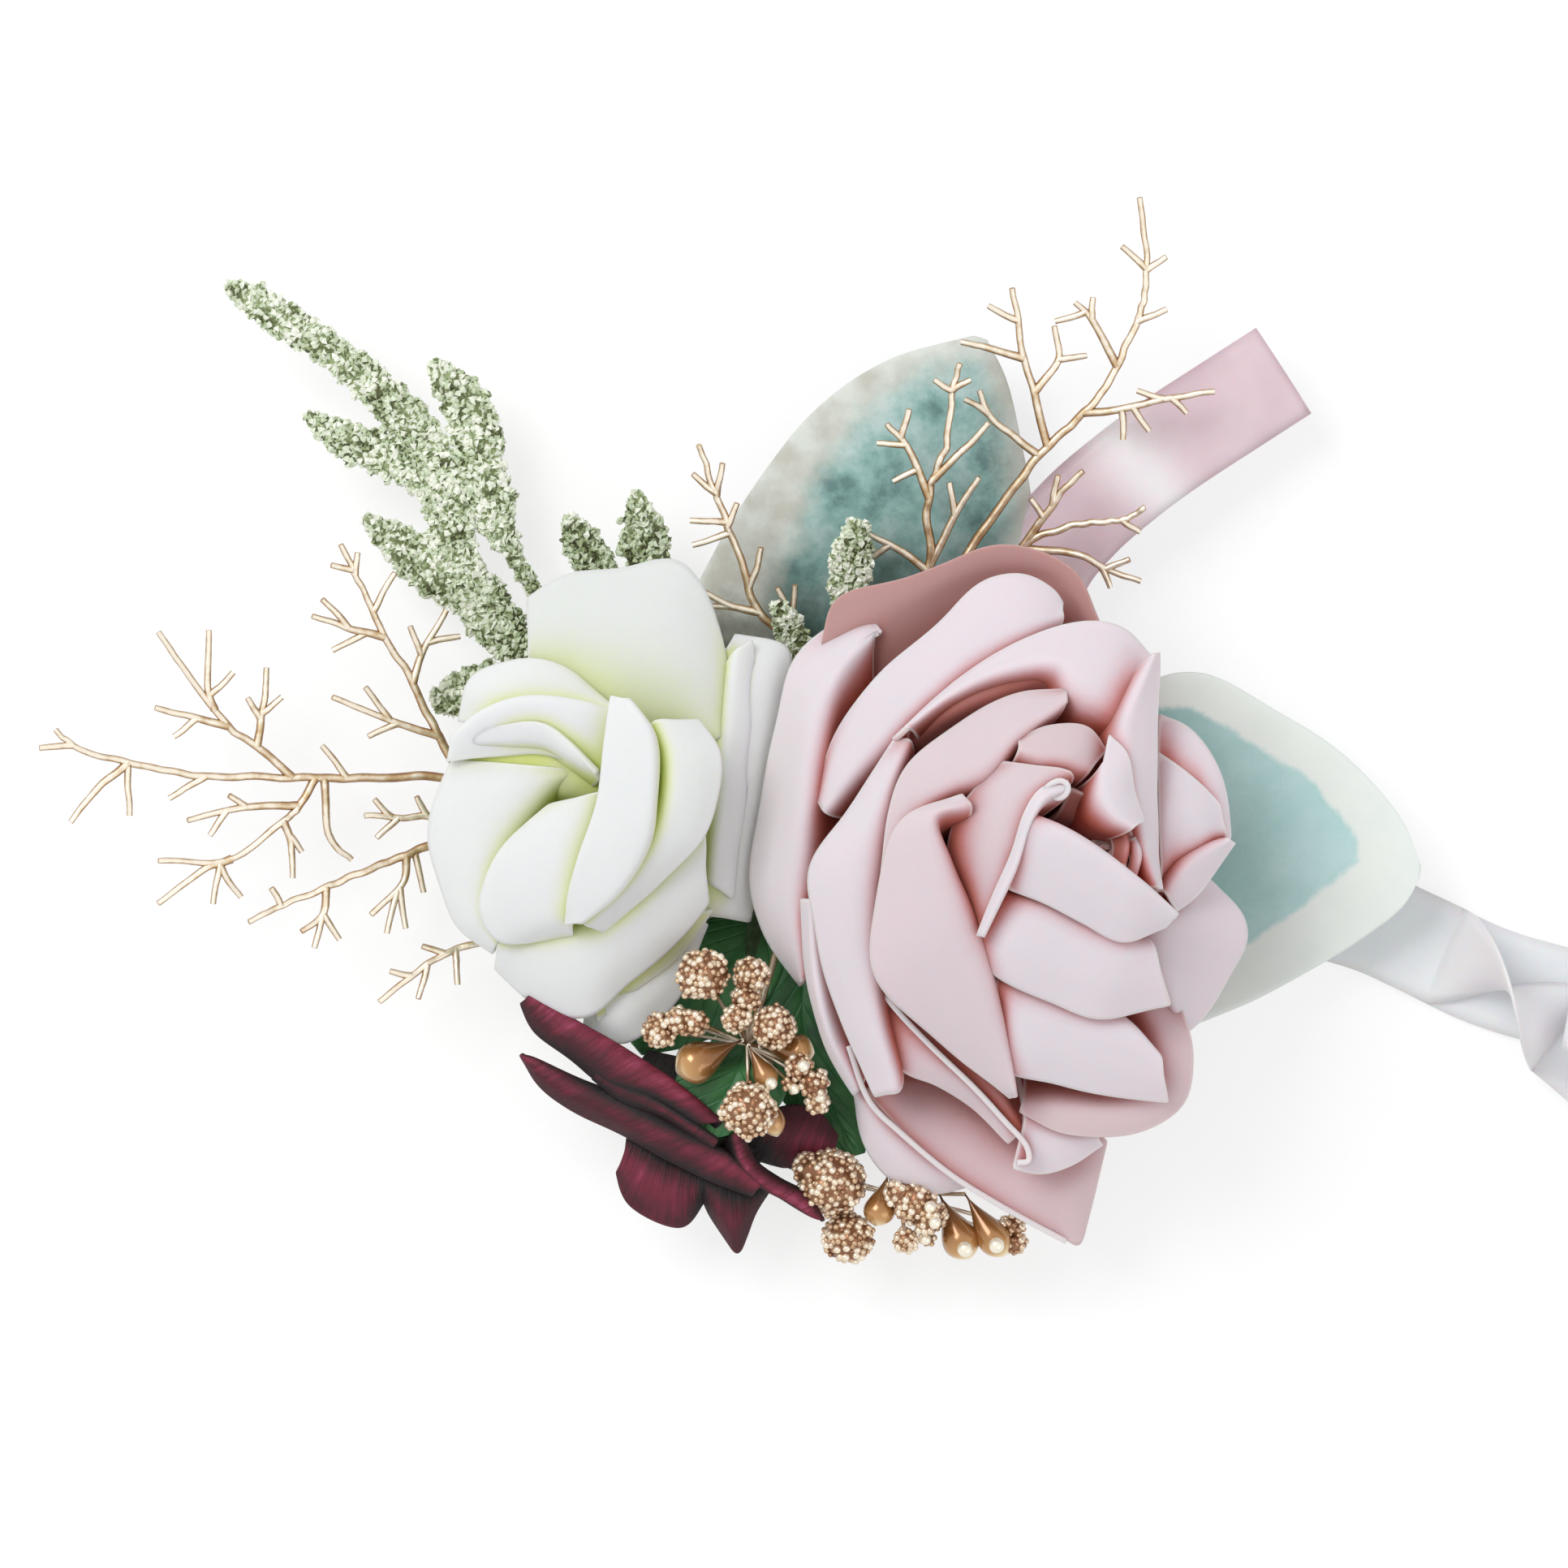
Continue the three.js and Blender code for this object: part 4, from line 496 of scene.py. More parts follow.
# Stem bundle. The cut ends of all the wire stems lie side by side under green floral tape, a
# crepe paper that is stretched and wound round them in a spiral. It is glued on the ribbon.
BUNDLE_LENGTH = 52
BUNDLE_RADIUS = 3
BUNDLE_NECK_RADIUS = 2.6
BUNDLE_HEIGHT = 6.4
BUNDLE_STEPS = 130
BUNDLE_SIDES = 40
TAPE_PITCH = 5.2
TAPE_STEP = 0.22
TAPE_CREASE = 0.12
STEM_HEIGHT = BUNDLE_HEIGHT - BUNDLE_RADIUS / 3
bundle_centre = plan(1060, 1080, BUNDLE_HEIGHT)

tape_finish, tape_tree, tape_shader = finish("floral_tape", Roughness=0.75, Sheen_Weight=0.2)
tape_tree.links.new(ramp(tape_tree, speckle(tape_tree, 1200, 5), (0.3, (0.17, 0.28, 0.17)),
                         (0.7, (0.33, 0.45, 0.30))), tape_shader.inputs["Base Color"])
bump(tape_tree, tape_shader, speckle(tape_tree, 3000, 4, 0.7), 0.6, 0.15)


def tube(centres, radii, sides, ripple=None):
    """Points and faces of a closed tube along a list of centres."""
    points = []
    last = len(centres) - 1
    for k, centre in enumerate(centres):
        ahead = (centres[min(k + 1, last)] - centres[max(k - 1, 0)]).normalized()
        side = Vector((-ahead.y, ahead.x, 0)).normalized()
        if side.length < 0.5:
            side = Vector((1, 0, 0))
        up = ahead.cross(side)
        for s in range(sides):
            turn = 2 * math.pi * s / sides
            radius = radii[k] + (ripple(k, turn) if ripple else 0)
            points.append(centre + side * radius * math.cos(turn) + up * radius * math.sin(turn))
    return points, tube_faces(len(centres), sides)


bundle_x = [(k / BUNDLE_STEPS - 0.5) * BUNDLE_LENGTH for k in range(BUNDLE_STEPS + 1)]
bundle_radii = [BUNDLE_NECK_RADIUS + (BUNDLE_RADIUS - BUNDLE_NECK_RADIUS)
                * min(1, 2 - abs(x) / (BUNDLE_LENGTH / 4)) for x in bundle_x]


def tape_lap(k, turn):
    """How the tape's laps and creases lift its surface."""
    lap = (bundle_x[k] / TAPE_PITCH + turn / (2 * math.pi)) % 1
    crease = noise.noise(Vector((bundle_x[k] * 0.6, 2 * math.cos(turn), 2 * math.sin(turn))))
    return -TAPE_STEP * lap + TAPE_CREASE * crease


bundle = mesh_piece("stem_bundle_tape", *tube([bundle_centre + Vector((x, 0, 0)) for x in bundle_x],
                                              bundle_radii, BUNDLE_SIDES, tape_lap), tape_finish)
fit(bundle, "floral_tape", "stem_bundle")


def socket(share, side):
    """Where a stem enters the tape: a share of the half length, and its side."""
    return Vector((bundle_centre.x + share * BUNDLE_LENGTH / 2, bundle_centre.y + side * 1.6, STEM_HEIGHT))


def rising(root_pixel, length, rise, power=1.6):
    """Places of a spray that lies low at its root and lifts towards its tips."""
    root = plan(*root_pixel)

    def spot(x, y):
        point = plan(x, y)
        away = (point - root).length
        point.z = STEM_HEIGHT + rise * (away / length) ** power
        return point
    return spot


# Pink ribbon tail. A short strip of dusty pink satin ribbon, glued among the stems. It shows
# between the pink rose and the top leaf, bows up in its middle and is cut off square.
PINK_RIBBON_WIDTH = 12.7
pink_ribbon_pixels = [(1222, 1056), (1236, 940), (1256, 800), (1290, 690), (1336, 632), (1396, 580),
                      (1452, 539), (1524, 492), (1592, 448)]
PINK_ROOT_HEIGHT = 4.65
PINK_RISE = 6
PINK_CUP = 0.35
pink_rise_shares = (0, 0.05, 0.3, 0.6, 0.8, 1, 0.95, 0.75, 0.6)
pink_ribbon_heights = [PINK_ROOT_HEIGHT + PINK_RISE * share for share in pink_rise_shares]
# The pink satin carries a highlight painted across the crown of its bow.
pink_satin = satin_finish("pink_satin", (0.905, 0.83, 0.86), (0.865, 0.78, 0.815), bow=(50.5, 9.5))
pink_run = [plan(x, y, z) for (x, y), z in zip(pink_ribbon_pixels, pink_ribbon_heights)]
pink_stations = stations_along(pink_run, 60)
pink_length = strip_length(pink_stations)
pink_ribbon = sheet_piece("pink_ribbon_strip", strip_grid(pink_stations, PINK_RIBBON_WIDTH, PINK_CUP),
                          RIBBON_THICKNESS, pink_satin, (PINK_RIBBON_WIDTH, pink_length))
fit(pink_ribbon, "pink_satin", "pink_ribbon_tail")

# Teal leaves. Two cloth blades with a velvety face, pale at the rim and painted teal inside with
# a soft brush, so that the colour ends in a ragged line. A wire runs under each midrib.
LEAF_COLUMNS = 26
LEAF_ROWS = 44
LEAF_THICKNESS = 0.7
LEAF_ARCH = 0.05
RIB_SHARE = 0.05
LEAST_AREA_SHARE = 0.31


def leaf_grids(edges, spot, bow=0.0, waves=0.4):
    """A blade's grid, and the pixel of each of its points."""
    left, right = ([Vector((x, y, 0)) for x, y in edge] for edge in edges)
    grid, pixels = [], []
    for i in range(LEAF_COLUMNS + 1):
        u = i / LEAF_COLUMNS
        column = []
        for j in range(LEAF_ROWS + 1):
            v = j / LEAF_ROWS
            a, b = smooth_point(left, v), smooth_point(right, v)
            pixel = a.lerp(b, u)
            point = spot(pixel.x, pixel.y)
            width = (a - b).length * PIXEL
            rib = bow * width * math.exp(-((u - 0.5) / RIB_SHARE) ** 2)
            point.z += LEAF_ARCH * width * math.sin(math.pi * u) - rib
            wave = waves * noise.noise(Vector((point.x * 0.09, point.y * 0.09, 4.0)))
            point.z += wave * (abs(2 * u - 1) ** 2 + 0.3)
            column.append(point)
            pixels.append(pixel)
        grid.append(column)
    return grid, pixels


def inside_distance(pixel, outline):
    """How deep a pixel lies inside an outline, in millimetres; outside it is below zero."""
    nearest, inside = 1e9, False
    for (ax, ay), (bx, by) in zip(outline, outline[1:] + outline[:1]):
        if (ay > pixel.y) != (by > pixel.y) and pixel.x < (bx - ax) * (pixel.y - ay) / (by - ay) + ax:
            inside = not inside
        a, b = Vector((ax, ay)), Vector((bx, by))
        t = min(max((pixel.xy - a).dot(b - a) / (b - a).length_squared, 0), 1)
        nearest = min(nearest, (a.lerp(b, t) - pixel.xy).length)
    return (nearest if inside else -nearest) * PIXEL


def grid_area(grid):
    """The area of a grid of points, face by face."""
    area = 0
    for i in range(len(grid) - 1):
        for j in range(len(grid[0]) - 1):
            a, b, c, d = grid[i][j], grid[i + 1][j], grid[i + 1][j + 1], grid[i][j + 1]
            area += ((c - a).cross(d - b)).length / 2
    return area


def flat_size(grid):
    """The width and length of a sheet laid out flat: its longest lines across and along."""
    across = max(sum((grid[i + 1][j] - grid[i][j]).length for i in range(len(grid) - 1))
                 for j in range(len(grid[0])))
    along = max(sum((column[j + 1] - column[j]).length for j in range(len(column) - 1)) for column in grid)
    return across, along


def declare_cut(piece, grid):
    """Works out a cut sheet's laid-out size and area, and keeps neither."""
    across, along = flat_size(grid)
    area = min(max(grid_area(grid), LEAST_AREA_SHARE * across * along), across * along)


def own_mark(tree, name):
    """A value that the piece's own points carry."""
    return wire(tree, "ShaderNodeAttribute", attribute_name=name).outputs["Fac"]


def painted_leaf(name, centre_stops, border, edge_noise, blur, foot):
    """Flocked cloth, painted inside its border, with shade painted darker towards its foot."""
    material, tree, shader_node = finish(name, Roughness=0.9, Sheen_Weight=0.25, Sheen_Roughness=0.5)
    coarse = speckle(tree, 260, 6, 0.72)
    ragged = maths(tree, "MULTIPLY_ADD", maths(tree, "SUBTRACT", coarse, 0.5), edge_noise,
                   own_mark(tree, "depth"))
    amount = span(tree, ragged, -blur, blur, interpolation_type="SMOOTHSTEP")
    # Painted shade: towards the blade's foot, where the roses shade it, paint and border turn into the foot
    # colour.
    low = maths(tree, "MULTIPLY_ADD", coarse, 0.3, cloth_place(tree)[1]["Y"])
    open_paint = ramp(tree, speckle(tree, 120, 5, 0.65), *centre_stops)
    paint_and_shade = mixed(tree, span(tree, low, 0.72, 0.32), open_paint, tint(*foot))
    rim = mixed(tree, span(tree, low, 0.46, 0.24), ramp(tree, speckle(tree, 200, 4), *border), tint(*foot))
    tree.links.new(mixed(tree, amount, rim, paint_and_shade), shader_node.inputs["Base Color"])
    bump(tree, shader_node, speckle(tree, 2600, 3, 0.7), 0.35, 0.12)
    return material


top_leaf_pixels = [
    [(1004, 880), (920, 825), (856, 735), (878, 675), (930, 590), (1003, 499), (1090, 438), (1205, 405)],
    [(1024, 880), (1120, 838), (1215, 775), (1270, 690), (1277, 621), (1262, 530), (1244, 458),
     (1220, 410)]]
right_leaf_pixels = [
    [(1336, 1062), (1362, 930), (1424, 838), (1490, 826), (1580, 872), (1666, 928), (1736, 1006),
     (1763, 1068)],
    [(1336, 1082), (1370, 1190), (1448, 1270), (1530, 1249), (1620, 1203), (1690, 1160), (1740, 1120),
     (1761, 1084)]]
top_leaf_paint = [(960, 690), (985, 640), (1012, 580), (1052, 520), (1110, 470), (1165, 442), (1212, 440),
                  (1230, 490), (1242, 540), (1250, 600), (1250, 690), (1240, 780), (1150, 860), (1050, 860),
                  (980, 800), (948, 750)]
right_leaf_paint = [(1380, 872), (1428, 872), (1480, 869), (1517, 895), (1573, 928), (1625, 958),
                    (1658, 1002), (1684, 1036), (1684, 1062), (1640, 1099), (1580, 1143), (1532, 1177),
                    (1440, 1200), (1380, 1120)]
# The last colour of each leaf is the shade painted towards its foot.
top_leaf_finish = painted_leaf(
    "top_leaf_paint", ((0.34, (0.42, 0.56, 0.55)), (0.46, (0.58, 0.74, 0.72)), (0.62, (0.76, 0.86, 0.85))),
    ((0.4, (0.80, 0.80, 0.76)), (0.6, (0.88, 0.90, 0.87))), 5.5, 2.6, (0.20, 0.29, 0.26))
right_leaf_finish = painted_leaf(
    "right_leaf_paint", ((0.3, (0.72, 0.88, 0.87)), (0.7, (0.80, 0.92, 0.92))),
    ((0.3, (0.94, 0.97, 0.95)), (0.7, (0.96, 0.985, 0.965))), 2.2, 0.5, (0.58, 0.76, 0.74))

for leaf_name, edges, root_pixel, length, outline, leaf_material, node in (
        ("top_leaf_blade", top_leaf_pixels, (995, 1064), 69.4, top_leaf_paint, top_leaf_finish, "top_leaf"),
        ("right_leaf_blade", right_leaf_pixels, (1299, 1080), 46.4, right_leaf_paint, right_leaf_finish,
         "right_leaf")):
    spot = rising(root_pixel, length, 5)
    grid, pixels = leaf_grids(edges, spot, bow=0.004)
    depth = [inside_distance(pixel, outline) for pixel in pixels]
    blade = sheet_piece(leaf_name, grid, LEAF_THICKNESS, leaf_material, soft=True, marks={"depth": depth})
    declare_cut(blade, grid)
    fit(blade, "teal_leaf", node)
    foot = grid[LEAF_COLUMNS // 2][8]
    start = spot(*root_pixel)
    middle = start.lerp(foot, 0.5)
    petiole_run = [smooth_point([start, middle, foot - Vector((0, 0, 0.4))], t / 12) for t in range(13)]
    petiole = mesh_piece(leaf_name.replace("blade", "petiole"),
                         *tube(petiole_run, [0.8 - 0.035 * k for k in range(13)], 12), tape_finish)
    fit(petiole, "floral_tape")

# Dark leaves. Two small waxed cloth leaves, deep green with pressed veins, that fill the space
# between the roses under the berries.
dark_leaf_pixels = [
    [(1016, 1160), (1045, 1200), (1055, 1260), (1064, 1330), (1070, 1390), (1067, 1428)],
    [(992, 1160), (940, 1200), (925, 1260), (955, 1350), (1010, 1408), (1053, 1432)]]
small_dark_leaf_pixels = [
    [(965, 1140), (968, 1190), (935, 1250), (885, 1280), (835, 1298), (786, 1304)],
    [(915, 1122), (870, 1136), (822, 1172), (795, 1215), (778, 1255), (776, 1292)]]
dark_leaf_finish, dark_tree, dark_shader = finish("dark_leaf", Roughness=0.45, Specular_IOR_Level=0.5)
dark_place = cloth_place(dark_tree)[1]
rib_side = maths(dark_tree, "ABSOLUTE", maths(dark_tree, "SUBTRACT", dark_place["X"], 0.5))
slanted = maths(dark_tree, "MULTIPLY_ADD", rib_side, -0.7, dark_place["Y"])
vein = maths(dark_tree, "PINGPONG", maths(dark_tree, "MULTIPLY", slanted, 9.0), 0.5)
veins = maths(dark_tree, "MINIMUM", span(dark_tree, vein, 0.0, 0.12), span(dark_tree, rib_side, 0.0, 0.035))
leafy = ramp(dark_tree, speckle(dark_tree, 240, 4), (0.3, (0.10, 0.32, 0.16)), (0.7, (0.27, 0.54, 0.29)))
dark_tree.links.new(mixed(dark_tree, veins, tint(0.24, 0.50, 0.31), leafy), dark_shader.inputs["Base Color"])
bump(dark_tree, dark_shader, veins, 0.4, 0.3)
lower_leaf_pixels = [
    [(905, 1262), (872, 1290), (842, 1312), (828, 1345), (832, 1380), (850, 1402)],
    [(944, 1268), (966, 1308), (970, 1348), (944, 1384), (898, 1402), (862, 1406)]]


def lower_leaf_spot(x, y):
    """The lowest leaf climbs from the rose's bent stem over the rose's body."""
    return plan(x, y, 8 + 9 * min(max((y - 1255) / 70, 0), 1) ** 0.7)


for leaf_name, edges, spot, nodes in (
        ("dark_leaf_blade", dark_leaf_pixels, rising((982, 1096), 34.7, 5), ["dark_leaf"]),
        ("small_dark_leaf_blade", small_dark_leaf_pixels, rising((930, 1096), 25.6, 5), ["small_dark_leaf"]),
        ("lower_dark_leaf_blade", lower_leaf_pixels, lower_leaf_spot, [])):
    grid, pixels = leaf_grids(edges, spot, bow=0.015, waves=0.8)
    blade = sheet_piece(leaf_name, grid, LEAF_THICKNESS, dark_leaf_finish, soft=True)
    declare_cut(blade, grid)
    fit(blade, "dark_leaf", *nodes)

# Glittered fern. Plastic fronds with lobed edges, coated in coarse glitter flakes of pale green,
# cream and olive. They are pushed in behind the white rose, and one tip shows at the top.
FERN_HALF_THICKNESS = 0.55
FROND_STEP = 0.55
FROND_SIDES = 12
FLAKE_SIZE = 0.46
FERN_FOOT = (745, 800, 8)  # around this place the coat is darker and more olive
fern_spray_pixels = [
    [(839, 1064, 6), (740, 930, 8), (650, 815, 26), (594, 748, 32), (554, 680, 27), (545, 610, 30),
     (510, 530, 26), (450, 466, 24), (398, 424, 20), (340, 386, 22), (300, 360, 18), (272, 345, 6)],
    [(548, 600, 26), (491, 562, 28), (440, 544, 26), (402, 528, 18), (370, 505, 5)],
    [(690, 866, 6), (662, 740, 8), (632, 688, 10), (602, 625, 26), (588, 550, 30), (560, 482, 28),
     (527, 438, 8)],
    [(600, 748, 26), (540, 706, 32), (482, 664, 24), (442, 634, 6)],
    [(652, 818, 16), (598, 838, 24), (560, 852, 26), (527, 866, 12)]]
fern_sprig_pixels = [
    [(904, 1064, 6), (830, 880, 8), (760, 740, 12), (728, 690, 24), (712, 660, 22), (696, 632, 6)],
    [(800, 818, 6), (796, 735, 12), (794, 672, 32), (786, 636, 22), (781, 601, 5)]]
fern_tip_pixels = [
    [(1047, 1064, 6), (1052, 870, 8), (1046, 735, 20), (1050, 690, 26), (1060, 640, 12)],
    [(1047, 1064, 6), (1020, 900, 8), (988, 806, 14), (972, 772, 18), (958, 740, 8)]]

glitter_finish, glitter_tree, glitter_shader = finish("glitter_flakes", Roughness=0.45, Sheen_Weight=0.1)
patch = maths(glitter_tree, "MULTIPLY_ADD", speckle(glitter_tree, 300, 3, 0.6), 1.2, -0.41)
fern_place = wire(glitter_tree, "ShaderNodeTexCoord").outputs["Object"]
to_foot = wire(glitter_tree, "ShaderNodeVectorMath", {0: fern_place, 1: plan(*FERN_FOOT) * MM},
               operation="DISTANCE").outputs["Value"]
coat = maths(glitter_tree, "ADD", patch, span(glitter_tree, to_foot, 8 * MM, 20 * MM, -0.34, 0.0))
glint = maths(glitter_tree, "MULTIPLY_ADD", own_mark(glitter_tree, "grain"), 0.75, coat)
glitter_tree.links.new(ramp(glitter_tree, glint, (0.0, (0.27, 0.27, 0.13)), (0.2, (0.45, 0.50, 0.32)),
                            (0.36, (0.64, 0.70, 0.51)), (0.52, (0.78, 0.83, 0.70)),
                            (0.7, (0.89, 0.93, 0.83)), (0.88, (0.98, 0.99, 0.94))),
                       glitter_shader.inputs["Base Color"])


def chance(tree, given, low=0.0, high=1.0):
    """A random number for each flake or bead, from the recipe's seed."""
    return wire(tree, "FunctionNodeRandomValue", {2: low, 3: high, "Seed": given["Seed"]},
                data_type="FLOAT").outputs[1]


def marked(tree, geometry, name, value, domain="INSTANCE"):
    """Geometry that carries a value under a name."""
    return wire(tree, "GeometryNodeStoreNamedAttribute", {"Geometry": geometry, "Name": name, "Value": value},
                data_type="FLOAT", domain=domain).outputs[0]


glitter, given, made = recipe("glitter_coat", {
    "Density": ("Float", 6.0e6), "Flake Size": ("Float", FLAKE_SIZE * MM), "Seed": ("Int", 11),
    "Finish": ("Material", None)})
spread = wire(glitter, "GeometryNodeDistributePointsOnFaces", {
    "Mesh": given["Geometry"], "Density": given["Density"], "Seed": given["Seed"]})
spin = wire(glitter, "FunctionNodeRandomValue", {1: (6.28, 6.28, 6.28), "Seed": given["Seed"]},
            data_type="FLOAT_VECTOR")
flake = wire(glitter, "GeometryNodeMeshCone", {
    "Vertices": 5, "Side Segments": 1, "Radius Bottom": given["Flake Size"], "Radius Top": 0.0,
    "Depth": given["Flake Size"]})
flakes = wire(glitter, "GeometryNodeInstanceOnPoints", {
    "Points": spread.outputs["Points"], "Instance": flake.outputs["Mesh"], "Rotation": spin.outputs[0],
    "Scale": chance(glitter, given, 0.55, 1.35)})
grained = marked(glitter, flakes.outputs[0], "grain", chance(glitter, given))
finished(glitter, given, made, laid_on(glitter, given, grained), smooth=False)


def together(shapes):
    """The points and faces of several shapes, as one."""
    points, faces = [], []
    for shape_points, shape_faces in shapes:
        faces += [tuple(len(points) + v for v in face) for face in shape_faces]
        points += shape_points
    return points, faces


def frond_shape(table, spot, seed):
    """A frond: a flat lobed tube along pixels of (x, y, half width)."""
    run = [spot(x, y) for x, y, half in table]
    halves = [Vector((half * PIXEL, 0, 0)) for x, y, half in table]
    length = sum((b - a).length for a, b in zip(run, run[1:]))
    steps = max(8, int(length / FROND_STEP))
    points = []
    for k in range(steps + 1):
        share = k / steps
        centre = smooth_point(run, share)
        ahead = smooth_point(run, min(share + 0.01, 1)) - smooth_point(run, max(share - 0.01, 0))
        side = Vector((-ahead.y, ahead.x, 0)).normalized()
        half = max(smooth_point(halves, share).x, 0.3)
        for s in range(FROND_SIDES):
            turn = 2 * math.pi * s / FROND_SIDES
            lobe = 0.98 + 0.42 * noise.noise(Vector((share * length * 0.9, 3 * math.cos(turn), seed)))
            lobe += 0.24 * noise.noise(Vector((share * length * 2.2, 5 * math.cos(turn), seed + 7)))
            taper = min(1, 0.35 + half)
            points.append(centre + side * half * lobe * math.cos(turn)
                          + Vector((0, 0, FERN_HALF_THICKNESS * taper * math.sin(turn))))
    return points, tube_faces(steps + 1, FROND_SIDES)


for fern_name, table, root_pixel, length, rise, node in (
        ("fern_spray_fronds", fern_spray_pixels, (839, 1064), 91.6, 9, "fern_spray"),
        ("fern_sprig_fronds", fern_sprig_pixels, (904, 1064), 47.9, 6, "fern_sprig"),
        ("fern_tip_frond", fern_tip_pixels, (1047, 1064), 42.4, 12, "fern_tip")):
    spot = rising(root_pixel, length, rise)
    shape = together(frond_shape(frond, spot, 3.7 * k) for k, frond in enumerate(table))
    fronds = mesh_piece(fern_name, *shape, glitter_finish)
    fronds = grow(fronds, glitter, finish=glitter_finish)
    fit(fronds, "fern_green", node)

